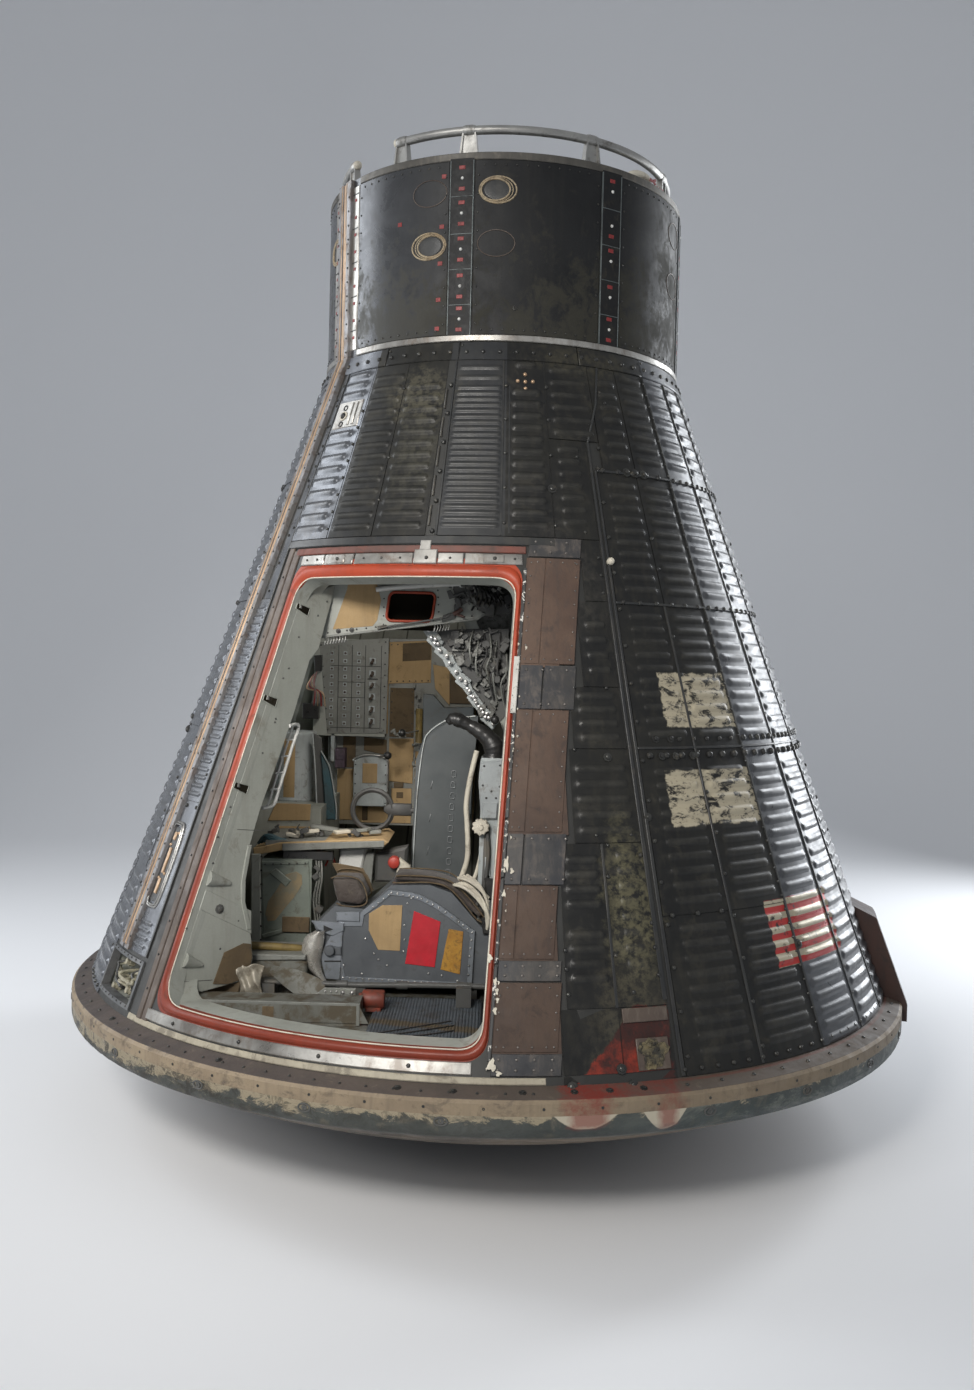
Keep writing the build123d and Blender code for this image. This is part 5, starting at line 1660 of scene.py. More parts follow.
railRadius, railHeight = 0.376, 2.140
post = dict(azimuths=(-36, -12, 28, 68, 108, 148, 188, 228, 262, 296), foot=2.082)
posts, clamps = [], []
for az in post["azimuths"]:
    turn = math.radians(az)
    east = np.array([math.cos(turn), math.sin(turn), 0])
    outward = np.array([math.sin(turn), -math.cos(turn), 0])
    foot = outward * railRadius + (0, 0, post["foot"])
    posts.append(moved(blockShape((-0.022, -0.016, -0.001), (0.022, 0.016, 0.005), 0.0012), foot, east,
                       -outward, (0, 0, 1)))
    for side in (-1, 1):  # cheeks that taper from the foot to the tube
        outline = [(side * 0.020, -0.008), (side * 0.020, 0.008), (side * 0.0155, 0.008),
                   (side * 0.0155, -0.008)]
        low = [(x, y, 0.003) for x, y in outline]
        high = [(x * 0.72, y * 0.8, 0.052) for x, y in outline]
        rings = np.array([low, high] if side < 0 else [low[::-1], high[::-1]])
        posts.append(moved(ringsShape(rings), foot, east, -outward, (0, 0, 1)))
    for side in (-0.0155, 0.0155):
        clamps.append(moved(turnedShape([(0.0030, -0.001), (0.0030, 0.0022), (0.0016, 0.003)], 8),
                            foot + east * side + outward * 0.011 + (0, 0, 0.005), east, -outward, (0, 0, 1)))
    collar = onCircle(railRadius, np.radians(np.linspace(az - 1.9, az + 1.9, 5)), railHeight)
    posts.append(pipeShape(collar, np.array([0.0100, 0.0112, 0.0112, 0.0112, 0.0100]), 16))
addPiece("rail_posts", posts, "rail", sharp=40)
addHeads("rail_bolts", clamps)
caps = []
for az, step in ((-38.0, -1), (298.0, 1)):
    line = onCircle(railRadius, np.radians(az + step * np.linspace(-0.6, 1.6, 7)), railHeight)
    caps.append(pipeShape(line, np.array([0.0096, 0.0100, 0.0100, 0.0098, 0.0088, 0.0062, 0.0022]), 16))
addPiece("rail_caps", caps, "cream", sharp=50)

# torn end of a wrapping on the rim: a pale rounded stub and red scraps
turns = np.radians([43.5, 45.0, 47.0, 49.5, 52.0, 53.5])
reach = np.array([0.372, 0.378, 0.384, 0.388, 0.390, 0.391])
stubLine = onCircle(reach, turns, [2.086, 2.094, 2.099, 2.099, 2.094, 2.086])
stubSizes = np.interp(np.arange(21), [0, 4, 16, 20], [0.004, 0.0105, 0.0095, 0.003])
addPiece("rim_stub", pipeShape(bent(stubLine, 4), stubSizes, 12), "cream", sharp=70)
scraps = []
for index in range(11):
    az = 50.5 + 1.25 * index + 0.8 * math.sin(index * 2.1)
    level = 2.090 - 0.0018 * index + 0.004 * math.sin(index * 1.3)
    lean = math.radians(40 * math.sin(index * 1.9))
    point, east, up, normal = basis(az, level, 0.004, topRadius - 0.006)
    scrap = slabShape([(-0.007, -0.002), (0.006, -0.003), (0.008, 0.003), (-0.002, 0.005)], 0.0016, 0.0004)
    scraps.append(moved(scrap, point, east * math.cos(lean) + up * math.sin(lean),
                        up * math.cos(lean) - east * math.sin(lean), normal))
addPiece("rim_scraps", scraps, "chipRed")

deckTop = 2.020
deckParts, deckHeads = [], []
turn = np.radians(np.arange(0, 360, 15.0))
circle = np.stack([np.cos(turn), np.sin(turn), np.zeros_like(turn)], -1)
upright = (0, 0, 1.0)
tangent = np.cross(upright, circle)
for radius in (0.212, 0.372):
    deckHeads.append(scattered(washerBolt, (circle * radius + (0, 0, deckTop), tangent, -circle, upright),
                               0.0034))
for index in range(12):  # stiffening ribs from the canister to the wall
    angle = math.radians(index * 30 + 7)
    out = np.array([math.cos(angle), math.sin(angle), 0])
    deckParts.append(moved(blockShape((0.197, -0.004, -0.001), (0.384, 0.004, 0.016), 0.0015),
                           (0, 0, deckTop), out, (-out[1], out[0], 0), (0, 0, 1)))
turn = wholeTurn(96)
for radius, height, size in ((0.1875, 2.0345, 0.0042), (0.365, 2.0245, 0.0050)):
    line = np.stack([radius * np.cos(turn), radius * np.sin(turn), np.full(96, height)], -1)
    deckParts.append(pipeShape(line, size, 8, closed=True))
addPiece("deck_ribs", deckParts, "deck", sharp=45)
addHeads("deck_bolts", deckHeads)
drum = dict(azimuths=(20, 110, 205, 292), radius=0.287, size=0.036)
drumShape = turnedShape([(drum["size"], 0), (drum["size"], 0.040), (0.031, 0.046), (0.012, 0.050),
                         (0.006, 0.052)], 24)
drums = [moved(drumShape, onCircle(drum["radius"], math.radians(az), deckTop)) for az in drum["azimuths"]]
addPiece("deck_drums", drums, "canister", sharp=40)
print("bay, window and top made")

# cabin: flat shapes and their helpers
facing = dict(east=(1, 0, 0), up=(0, 0, 1), normal=(0, -1, 0))  # plates that face the hatch


def frameShape(outer, inner, thick, edge=0.001):
    # plate with one hole: four closed lines round the hole, joined into a ring
    outer, inner = np.asarray(outer, float), np.asarray(inner, float)
    lines = [(outer, -thick), (outer, -edge), (insetOutline(outer, edge), 0), (insetOutline(inner, -edge), 0),
             (inner, -edge), (inner, -thick)]
    grid = np.stack([np.column_stack([line, np.full(len(line), level)]) for line, level in lines])
    quads = gridQuads(len(lines) + 1, len(outer), loop=True) % (len(lines) * len(outer))
    return grid.reshape(-1, 3), quads, noTriangles


def atAngles(outline, centre, angles):
    # where rays from a centre at given angles cross an outline
    start = np.asarray(outline, float) - centre
    side = np.roll(start, -1, 0) - start
    ray = np.stack([np.cos(angles), np.sin(angles)], -1)[:, None]
    cross = ray[..., 0] * side[:, 1] - ray[..., 1] * side[:, 0]
    with np.errstate(divide="ignore"):  # a ray along a side never meets it
        reach = (start[:, 0] * side[:, 1] - start[:, 1] * side[:, 0]) / cross
        share = (start[:, 0] * ray[..., 1] - start[:, 1] * ray[..., 0]) / cross
    reach = np.where((share >= -1e-9) & (share <= 1 + 1e-9) & (reach > 0), reach, np.inf).min(1)
    return centre + ray[:, 0] * reach[:, None]


def roundedBox(x0, z0, x1, z1, corner, steps=5):
    # outline of a box with a quarter circle at each corner
    turn = np.linspace(0, math.pi / 2, steps)
    centres = [(x1 - corner, z1 - corner), (x0 + corner, z1 - corner), (x0 + corner, z0 + corner),
               (x1 - corner, z0 + corner)]
    return np.concatenate([np.stack([x + corner * np.cos(turn + i * math.pi / 2),
                                     z + corner * np.sin(turn + i * math.pi / 2)], -1)
                           for i, (x, z) in enumerate(centres)])


def holed(outline, hole, thick, count=48):
    # plate of any star-like outline round a hole; the rays go through the outline's corners too
    centre = np.mean(hole, 0)
    corners = np.asarray(outline, float) - centre
    angles = np.sort(np.concatenate([wholeTurn(count),
                                     np.arctan2(corners[:, 1], corners[:, 0]) % (2 * math.pi)]))
    angles = angles[np.concatenate([[True], np.diff(angles) > 1e-4])]
    return frameShape(atAngles(turnedLeft(outline), centre, angles),
                      atAngles(turnedLeft(hole), centre, angles), thick)


def slab(outline, y, thick=0.003, edge=0.0010):
    # plate that faces the hatch; its outline is in millimetres, x and height
    return moved(slabShape(np.asarray(outline, float) / 1000, thick, min(edge, thick / 2.5)), (0, y, 0),
                 **facing)


def board(x0, z0, x1, z1, y, thick=0.003, edge=0.0010):
    # rectangular slab between two corners
    return slab([(x0, z0), (x1, z0), (x1, z1), (x0, z1)], y, thick, edge)


def heads(places, y, radius, shape=rivetHead):
    # rivets or bolts on a plate that faces the hatch, places in millimetres
    places = np.asarray(places, float) / 1000
    origin = np.column_stack([places[:, 0], np.full(len(places), y), places[:, 1]])
    return scattered(shape, (origin, *facing.values()), radius)


def headRow(start, end, count, y, radius, shape=rivetHead):
    # heads at equal steps from start to end
    return heads(np.linspace(start, end, count), y, radius, shape)


def fixedPipe(points, radius, sides=10, steps=6):
    # pipe with smooth bends through points in millimetres
    return pipeShape(bent(np.asarray(points, float) / 1000, steps), radius, sides)


# left wall of the hatch tunnel
tunnel = dict(offset=0.0275, front=0.0155)
wallTurn = math.radians(hatch["leftPlane"])
wallOut = np.array([math.sin(wallTurn), -math.cos(wallTurn), 0])
wallNormal = np.array([math.cos(wallTurn), math.sin(wallTurn), 0])
wallFacing = dict(east=-wallOut, up=(0, 0, 1), normal=wallNormal)


def onWall(outline, proud=0.0, thick=0.002, edge=0.0008):
    # plate on the tunnel's left wall; its outline is (distance from the axis, height) in millimetres
    flat = np.asarray(outline, float) / 1000 * (-1, 1)
    return moved(slabShape(flat, thick, edge), wallNormal * (tunnel["offset"] + proud), **wallFacing)


def wallPoint(along, z, proud=0.0):
    # point of the tunnel's left wall: along it from the axis, upwards, and proud of its face
    return wallOut * along / 1000 + wallNormal * (tunnel["offset"] + proud) + np.array([0, 0, z / 1000])


def wallHeads(places, proud, radius, shape=rivetHead):
    # heads on the tunnel's left wall
    origin = np.array([wallPoint(along, z, proud) for along, z in places])
    return scattered(shape, (origin, *wallFacing.values()), radius)


frontEdge = [(1000 * (skinRadius(z / 1000) - tunnel["front"]), z) for z in (412, 600, 800, 1000, 1163)]
deepEdge = [(500, 1196), (507, 1165), (538, 1062), (560, 1038), (597, 927), (634, 832), (674, 736),
            (696, 668), (709, 600), (709, 556), (689, 484), (684, 440), (690, 415), (712, 398), (800, 392)]
wallPlate = [onWall(frontEdge + deepEdge)]
wallPlate.append(onWall([(1000 * (skinRadius(0.590) - tunnel["front"]), 590), (690, 536), (689, 490),
                         (1000 * (skinRadius(0.554) - tunnel["front"]), 554)], 0.0012))
wallPlate.append(onWall([(702, 668), (715, 600), (715, 556), (700, 500), (690, 500), (706, 556), (706, 600),
                         (693, 668)], 0.0030, 0.004))
addPiece("tunnel_wall", wallPlate, "cabinGrey")
slotPlaces = [(581, 1141), (656, 955), (720, 783)]
slotFrames, slotDark, slotHooks = [], [], []
for along, z in slotPlaces:
    tilt = -0.32  # slots slope down towards the cabin
    corners = np.array([(-17, -5.0), (17, -9.5), (17, 9.5), (-17, 8.0)], float)
    turn = np.array([[math.cos(tilt), math.sin(tilt)], [-math.sin(tilt), math.cos(tilt)]])
    outer = corners @ turn * (-1, 1) + (along, z)
    inner = (corners * (0.92, 0.84)) @ turn * (-1, 1) + (along, z)
    slotDark.append(onWall(inner, 0.0012, 0.002, 0.0004))
    flat = [turnedLeft(line / 1000 * (-1, 1)) for line in (outer, inner)]
    slotFrames.append(moved(frameShape(*flat, 0.003), wallNormal * (tunnel["offset"] + 0.0018), **wallFacing))
    middle = np.array([-7, 3.4]) @ turn * (-1, 1) + (along, z)
    slotHooks.append(onWall([middle + c for c in ((-3.2, -4.6), (3.4, -3.4), (2.2, 4.4), (-2.4, 3.6))],
                            0.0026, 0.003, 0.0008))
addPiece("slot_frames", slotFrames, "cabinGrey")
addPiece("slot_shadows", slotDark, "void")
addPiece("wall_stain",
         [onWall([(690, 470), (708, 474), (752, 462), (776, 404), (742, 398), (716, 401), (692, 418),
                  (687, 444)], 0.0024, 0.0012, 0.0004)], "brownCloth")
addPiece("slot_hooks", slotHooks, "mechGrey")
blisters = []
for start, end, wide in (((790, 612), (741, 596), 0.0150), ((838, 460), (800, 444), 0.0140)):
    path = np.linspace(wallPoint(*start, -0.001), wallPoint(*end, -0.001), 7)
    blisters.append(pipeShape(path, wide * np.linspace(1, 0.36, 7), 16))
addPiece("wall_blisters", blisters, "cabinGrey", sharp=50)
wallScrews = [(589, 1084), (641, 918), (643, 911), (671, 850), (743, 747), (625, 1000), (612, 1020),
              (770, 690), (780, 640), (835, 520), (862, 425), (700, 640), (720, 520), (760, 470), (520, 1160),
              (542, 1130)]
addHeads("wall_screws",
         [wallHeads(wallScrews, 0.0, 0.0022), wallHeads([(764, 549)], 0.0012, 0.0052, shape=washerBolt)],
         "darkGrey")
seams = [onWall([(a, z), (b, z - 8), (b, z - 9.2), (a, z - 1.2)], 0.0006, 0.001, 0.0002)
         for a, b, z in ((726, 660, 702), (850, 776, 420))]
addPiece("wall_seams", seams, "darkGrey")

# ladder-like handrail on the wall's deep edge: two rails and four rungs
railTop, railFoot = (-400, -412, 898), (-443, -425, 745)
railLine = np.array([(-413, -447, 903), (-404, -424, 905), railTop, (-411, -416, 860), (-432, -422, 785),
                     railFoot, (-449, -438, 737), (-462, -458, 736)], float)
inner = railLine[1:-1] + (-11, -9, 0)
ladder = [fixedPipe(railLine, 0.0036), fixedPipe(inner, 0.0022)]
for share in (0.16, 0.38, 0.60, 0.82):
    place = np.array(railTop) * (1 - share) + np.array(railFoot) * share
    ladder.append(fixedPipe([place, place + (-6, -5, 0), place + (-15, -16, -1)], 0.0018, 6, 2))
ladderPiece = addPiece("ladder_rail", ladder, "whitePaint", sharp=60)
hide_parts("handrail")

# grey lining over the seal's inner face, with the pale piping at its front edge
lining = hatchStrip([(-1.0, 0.0010), (-1.0, -0.0146), (-0.1, -0.0146)], (0.0009,) * 4)
addPiece("seal_lining", lining, "cabinGrey")
print("tunnel made")

# top panel
topOutline = [(-345, 1236), (-352, 1160), (-363, 1084), (-200, 1107), (-37, 1130), (-22, 1142), (-52, 1166),
              (-86, 1180), (-104, 1236)]
topHole = roundedBox(-0.226, 0.0, -0.130, 0.060, 0.012) + (0, 1.124)
topHole[:, 0] += (topHole[:, 1] - 1.15) * 0.12
topY = -0.3662
topPlate = moved(holed(np.array(topOutline) / 1000, topHole, 0.0036), (0, topY, 0), **facing)
addPiece("top_plate", topPlate, "cabinGrey", sharp=30)
addPiece("port_shade", [board(-250, 1106, -110, 1200, -0.331, 0.003)], "void")
addPiece("top_tan", [slab([(-304, 1232), (-258, 1232), (-240, 1167), (-247, 1125), (-256, 1112), (-340, 1103),
                           (-312, 1186)], topY - 0.0008, 0.0016)], "tanCloth")
rimLine = np.column_stack([topHole[:, 0], np.full(len(topHole), topY - 0.0010), topHole[:, 1]])
windowRim = addPiece("port_rim", [pipeShape(rimLine, 0.0030, 8, closed=True)], "orangeSeal",
                     sharp=70)
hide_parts("inner_window_rim")
topTube = addPiece("top_tube",
                   [fixedPipe([(-250, -374, 1188), (-215, -376, 1193), (-150, -376, 1199), (-72, -375, 1205)],
                              0.0056, 12),
                    fixedPipe([(-78, -375, 1204), (-70, -375, 1205), (-62, -375, 1206)],
                              np.array([0.0062, 0.0074, 0.0080, 0.0084, 0.0084, 0.0080, 0.0078, 0.0076,
                                        0.0070, 0.0060, 0.0044, 0.0026, 0.0012]), 12),
                    board(-236, 1186, -226, 1200, topY, 0.006), board(-100, 1194, -90, 1210, topY, 0.006)],
                   "whitePaint", sharp=50)
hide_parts("top_rod")
leverParts = [fixedPipe([(-240, -372, 1109), (-200, -374, 1116), (-116, -374, 1131), (-96, -374, 1138)],
                        0.0020),
              slab([(-112, 1124), (-84, 1132), (-82, 1146), (-110, 1138)], topY - 0.006, 0.006),
              slab([(-246, 1104), (-226, 1108), (-228, 1116), (-246, 1112)], topY - 0.004, 0.006)]
addPiece("top_lever", leverParts, "darkGrey", sharp=45)
addPiece("lever_tip", [fixedPipe([(-88, -376, 1140), (-78, -377, 1146), (-70, -377, 1152)], 0.0044),
                       fixedPipe([(-80, -376, 1140), (-70, -377, 1137), (-64, -377, 1134)], 0.0026)],
         "brownRed", sharp=45)
lip = np.array([(-363, 1084), (-200, 1107), (-37, 1130), (-22, 1141)])
addPiece("top_lip", [slab(np.concatenate([lip, (lip + (-1, 5))[::-1]]), topY - 0.0006, 0.006)], "panelGrey")
topHeads = [headRow((-350, 1096), (-50, 1138), 16, topY - 0.0006, 0.0020),
            heads([(-328, 1100), (-300, 1103)], topY - 0.0006, 0.0030, washerBolt),
            headRow((-234, 1188), (-234, 1116), 5, topY, 0.0017),
            headRow((-122, 1190), (-118, 1130), 5, topY, 0.0017)]
addHeads("top_heads", topHeads)
fringe = [fixedPipe([(x, -362, 1086 + (x + 363) * 0.14), (x + 2, -366, 1078 + (x + 363) * 0.14),
                     (x - 1, -366, 1070 + (x + 363) * 0.14)], 0.0016, 6, 2)
          for x in [*range(-356, -312, 6), *range(-128, -96, 6)]]
addPiece("top_springs", fringe, "steel", sharp=60)


def clutter(places, y, deep, size, count, lean=0.0, kinds=(0, 1, 2)):
    # small housings, pegs and brackets set down by a seeded draw along a line or in an area
    made = []
    low, high = np.asarray(places, float) / 1000
    for index in range(count):
        share = (index + seeded.random()) / count if lean else seeded.random(2)
        middle = low + (high - low) * share + (seeded.random(2) - 0.5) * lean
        wide, tall, thick = size * (0.45 + seeded.random(3))
        depth = y + (seeded.random() - 0.5) * deep
        angle = seeded.choice([0.0, 0.35, -0.6, -0.95])
        east = np.array([math.cos(angle), 0, math.sin(angle)])
        up = np.array([-math.sin(angle), 0, math.cos(angle)])
        kind = seeded.choice(kinds)
        origin = (middle[0], depth, middle[1])
        if kind == 0:
            shape = blockShape((-wide / 2, -tall / 2, -thick), (wide / 2, tall / 2, thick / 2), size * 0.08)
        elif kind == 1:
            profile = [(wide * 0.42, -thick), (wide * 0.42, thick * 0.3), (wide * 0.30, thick * 0.36),
                       (wide * 0.28, thick * 0.8), (wide * 0.1, thick * 0.86)]
            shape = turnedShape(profile, 12)
        else:
            reach = [(-wide * 0.6, 0), (wide * 0.6, 0), (wide * 0.6, tall * 0.25), (-wide * 0.2, tall * 0.3),
                     (-wide * 0.3, tall * 0.8), (-wide * 0.6, tall * 0.8)]
            shape = slabShape(reach, thick * 0.7, size * 0.06)
        made.append(moved(shape, origin, east, up, (0, -1, 0)))
    return made


addPiece("top_fittings", clutter([(-84, 1150), (22, 1224)], -0.370, 0.012, 0.020, 34, kinds=(0, 0, 2)),
         "darkGrey", sharp=35)
addPiece("top_covers", clutter([(-60, 1150), (24, 1215)], -0.378, 0.010, 0.015, 14, kinds=(0, 2)),
         "blackPlastic", sharp=35)
addPiece("top_contacts", clutter([(-70, 1146), (22, 1205)], -0.386, 0.006, 0.008, 13, kinds=(0, 2)),
         "mechGrey", sharp=35)
topLooms = [fixedPipe([(-60 + 9 * i, -366, 1222 - 3 * i), (-48 + 10 * i, -392, 1204 - 5 * i),
                       (-38 + 9 * i, -394, 1178 - 2 * i), (-50 + 12 * i, -368, 1150 + 2 * i)], 0.0022, 6, 5)
            for i in range(7)]
addPiece("top_looms", topLooms, "blackPlastic", sharp=60)

# mechanisms behind the instrument panel
chain = np.array([(-134, 1098), (-122, 1072), (-98, 1046), (-76, 1012), (-56, 990), (-42, 962), (-22, 940),
                  (-8, 918)])
chainBlocks, chainCaps = [], []
for index, (x, z) in enumerate(np.concatenate([chain, (chain[:-1] + chain[1:]) / 2])):
    lean = math.radians(seeded.choice([-52, -40, -66]))
    east = np.array([math.cos(lean), 0, math.sin(lean)])
    up = np.array([-math.sin(lean), 0, math.cos(lean)])
    wide, tall = 0.013 + 0.007 * seeded.random(), 0.007 + 0.006 * seeded.random()
    block = blockShape((-wide, -tall, -0.012), (wide, tall, 0.004 + 0.006 * seeded.random()), 0.0016)
    chainBlocks.append(moved(block, (x / 1000, -0.306, z / 1000), east, up, (0, -1, 0)))
    for side in (-0.6, 0.6):
        post = turnedShape([(0.0030, -0.004), (0.0030, 0.010), (0.0042, 0.011), (0.0042, 0.014),
                            (0.002, 0.015)], 8)
        chainCaps.append(moved(post,
                               (x / 1000 + east[0] * wide * side, -0.310, z / 1000 + east[2] * wide * side),
                               **facing))
addPiece("panel_chain", chainBlocks, "paleGrey", sharp=35)
addPiece("panel_caps", chainCaps, "steel", sharp=35)
panelWeb = slab([(-128, 1110), (30, 1116), (28, 930), (2, 900), (-18, 930), (-50, 978), (-74, 1000),
                 (-100, 1050)], -0.302, 0.010)
addPiece("panel_web", panelWeb, "darkGrey")
addPiece("panel_back", clutter([(-86, 1040), (-10, 1112)], -0.310, 0.012, 0.015, 26, kinds=(0, 0, 2))
         + clutter([(-40, 930), (30, 1050)], -0.310, 0.012, 0.014, 26, kinds=(0, 2)), "mechGrey",
         sharp=35)
addPiece("panel_boxes", clutter([(-60, 990), (30, 1110)], -0.316, 0.014, 0.015, 26, kinds=(0, 2))
         + clutter([(-100, 1060), (-50, 1108)], -0.312, 0.010, 0.013, 10, kinds=(0, 2)), "darkGrey",
         sharp=35)
looms = [fixedPipe([(x, -300, top), (x + 8 * math.sin(x), -328, (top + low) / 2 + 14),
                    (x - 5, -330, (top + low) / 2 - 20), (x + 6, -300, low)], 0.0021, 6, 5)
         for x, top, low in ((-34, 1096, 1000), (-24, 1104, 990), (-12, 1112, 985), (-4, 1090, 960),
                             (4, 1090, 950), (12, 1108, 972), (20, 1090, 940), (26, 1070, 930),
                             (-46, 1110, 1030))]
addPiece("panel_looms", looms[::2], "panelGrey", sharp=60)
addPiece("panel_wires", looms[1::2], "darkRubber", sharp=60)
addPiece("stick_knob",
         [heads([(4, 922)], -0.352, 0.0095,
                turnedShape([(0.5, -2.6), (0.5, 0.1), (0.86, 0.3), (1.0, 0.8), (0.8, 1.35), (0.3, 1.6)],
                            16))], "blackPlastic", sharp=50)
print("top panel made")

# rear boards and switch panel
rearY = 0.2985
addPiece("switch_panel", [slab([(-463, 1086), (-279, 1101), (-281, 848), (-437, 845)], rearY)], "panelGrey")
rowZ = np.linspace(873, 1058, 10)
columnX = (-428, -393, -357)
switchBases = [board(x - 5, z - 5, x + 5, z + 5, rearY - 0.0022, 0.0022) for x in columnX for z in rowZ]
switchPins = [heads([(x, z) for x in columnX for z in rowZ], rearY - 0.002, 0.0031)]
for z in (881, 913, 946, 977, 1007, 1040):
    switchBases.append(board(-329, z - 8, -312, z + 8, rearY - 0.003, 0.003))
    switchPins.append(fixedPipe([(-321, rearY * 1000, z + 3), (-319, rearY * 1000 - 9, z),
                                 (-323, rearY * 1000 - 18, z - 7)], 0.0038, 8, 3))
addPiece("switch_bases", switchBases, "paleGrey")
addPiece("switch_pins", switchPins, "frameBrown", sharp=40)
panelLines = [board(x - 0.8, 850, x + 0.8, 1080, rearY - 0.0009, 0.0012, 0.0003)
              for x in (-411, -375, -340, -298)]
panelLines += [board(-430, z - 0.8, -300, z + 0.8, rearY - 0.0009, 0.0012, 0.0003) for z in (862, 1025)]
for x0, z0, x1, z1 in ((-411, 941, -340, 983), (-334, 990, -306, 993)):
    outer = roundedBox(x0 / 1000, z0 / 1000, x1 / 1000, z1 / 1000, 0.001, 2)
    panelLines.append(moved(frameShape(outer, insetOutline(outer, 0.0013), 0.0016, 0.0003),
                            (0, rearY - 0.0012, 0), **facing))
addPiece("switch_lines", panelLines, "blackPlastic")
addHeads("switch_screws", [headRow((-458, 1078), (-436, 855), 9, rearY, 0.0022),
                           headRow((-288, 1090), (-289, 856), 9, rearY, 0.0022)])
# black bracket and short looms left of the panel
addPiece("side_bracket", [slab([(-497, 925), (-459, 925), (-456, 885), (-497, 885)], 0.262, 0.03),
                          slab([(-472, 1050), (-452, 1052), (-452, 1010), (-470, 1008)], 0.270, 0.02)],
         "blackPlastic")
sideLooms = [fixedPipe([(-461 - 2 * i, 272, 1010 - 2 * i), (-466 - 3 * i, 262, 985 - 3 * i),
                        (-468 + 3 * i, 258, 955), (-474 + 5 * i, 264, 918)], 0.0015 + 0.0004 * (i % 3), 6, 5)
             for i in range(8)]
addPiece("side_looms", sideLooms[::2], "mechGrey", sharp=60)
addPiece("side_wires", sideLooms[1::4], "chipRed", sharp=60)
addPiece("side_cords", sideLooms[3::4], "copper", sharp=60)

backY = 0.3478
backing = slab([(-440, 846), (-282, 846), (-282, 1100), (-50, 1104), (-50, 600), (-440, 600)], backY, 0.0025)
addPiece("board_backing", backing, "panelGrey")
tans = [
    slab([(-282, 980), (-169, 985), (-169, 1098), (-282, 1091)], backY - 0.003, 0.003),
    slab([(-276, 719), (-212, 713), (-211, 834), (-277, 833)], backY - 0.003, 0.003),
    slab([(-164, 1034), (-119, 1026), (-117, 925), (-157, 970)], backY - 0.006, 0.006),
    board(-414, 612, -370, 749, backY - 0.003), board(-366, 606, -276, 651, backY - 0.003),
    board(-268, 606, -214, 700, backY - 0.003), board(-206, 640, -188, 800, backY - 0.003),
    slab([(-507, 699), (-424, 698), (-426, 660), (-525, 657)], -0.0535, 0.003),
    slab([(-500, 645), (-420, 645), (-420, 604), (-500, 600)], -0.0535, 0.003),
    board(-341, 717, -302, 769, 0.2935, 0.002),
]
addPiece("tan_boards", tans, "tanCloth")
browns = [
    board(-277, 838, -212, 969, backY - 0.003), board(-117, 931, -60, 1030, backY - 0.006, 0.006),
    board(-400, 753, -366, 836, backY - 0.0028),
    slab([(-344, 800), (-283, 788), (-283, 829), (-344, 836)], backY - 0.0028, 0.003),
    board(-262, 701, -236, 716, backY - 0.0045), board(-254, 674, -236, 690, backY - 0.0045),
    board(-345, 612, -330, 650, backY - 0.0045), board(-240, 640, -226, 660, backY - 0.0045),
    slab([(-246, 1040), (-170, 1046), (-170, 1094), (-246, 1088)], backY - 0.0038, 0.003),
]
addPiece("brown_boards", browns, "brownCloth")
addPiece("grey_bay",
         [slab([(-186, 956), (-160, 954), (-130, 921), (-52, 923), (-52, 640), (-183, 640)], 0.296, 0.048)],
         "blueGrey")
roundTop = [(-320 + 45 * math.cos(t), 772 + 18 * math.sin(t)) for t in np.linspace(0, math.pi, 11)]
addPiece("pale_plate",
         [slab([(-275, 657), *roundTop, (-365, 656)], 0.297, 0.05, 0.0018),
          board(-427, 772, -417, 848, 0.30, 0.046),
          slab([(-356, 656), (-284, 656), (-290, 690), (-320, 700), (-350, 690)], 0.2945, 0.003)], "paleGrey")
addPiece("mauve_box", [board(-415, 755, -389, 806, 0.300, 0.046), board(-411, 776, -393, 790, 0.2975, 0.003)],
         "mauve")
addPiece("yellow_tube", [fixedPipe([(-194, 286, 827), (-194, 286, 870), (-194, 286, 917)], 0.0092, 14)],
         "oliveTube", sharp=50)
stems = [fixedPipe([(-232, 200, 857), (-214, 214, 858), (-192, 290, 861)], 0.0018, 6, 3),
         fixedPipe([(-268, 205, 798), (-286, 240, 792), (-300, 300, 786)], 0.0018, 6, 3)]
addPiece("knob_stems", stems, "steel", sharp=60)
ball = turnedShape([(0.25, -1.0), (0.72, -0.7), (1.0, 0.0), (0.86, 0.52), (0.5, 0.86), (0.2, 0.98)], 16)
knobPlaces = [(-0.232, 0.200, 0.857), (-0.268, 0.205, 0.798)]
addPiece("black_knobs", scattered(ball, (knobPlaces, *facing.values()), 0.0105), "blackPlastic",
         sharp=50)
arch = [(-320 + 47 * math.cos(t), 292, 772 + 20 * math.sin(t)) for t in np.linspace(0.1, math.pi - 0.1, 9)]
addPiece("pale_arch",
         [fixedPipe(arch, 0.0024, 8, 3),
          fixedPipe([(-275, 292, 657), (-274, 290, 720), (-275, 292, 772)], 0.0018, 8)], "steel",
         sharp=60)
boardHeads = [headRow((-276, 1084), (-176, 1090), 7, backY - 0.003, 0.002),
              headRow((-276, 986), (-176, 990), 7, backY - 0.003, 0.002),
              headRow((-272, 960), (-272, 846), 5, backY - 0.003, 0.002),
              headRow((-217, 960), (-217, 846), 5, backY - 0.003, 0.002),
              headRow((-360, 664), (-360, 765), 5, 0.297, 0.002),
              headRow((-280, 664), (-280, 765), 5, 0.297, 0.002),
              headRow((-176, 830), (-60, 838), 8, 0.296, 0.0022)]
addHeads("board_heads", boardHeads)
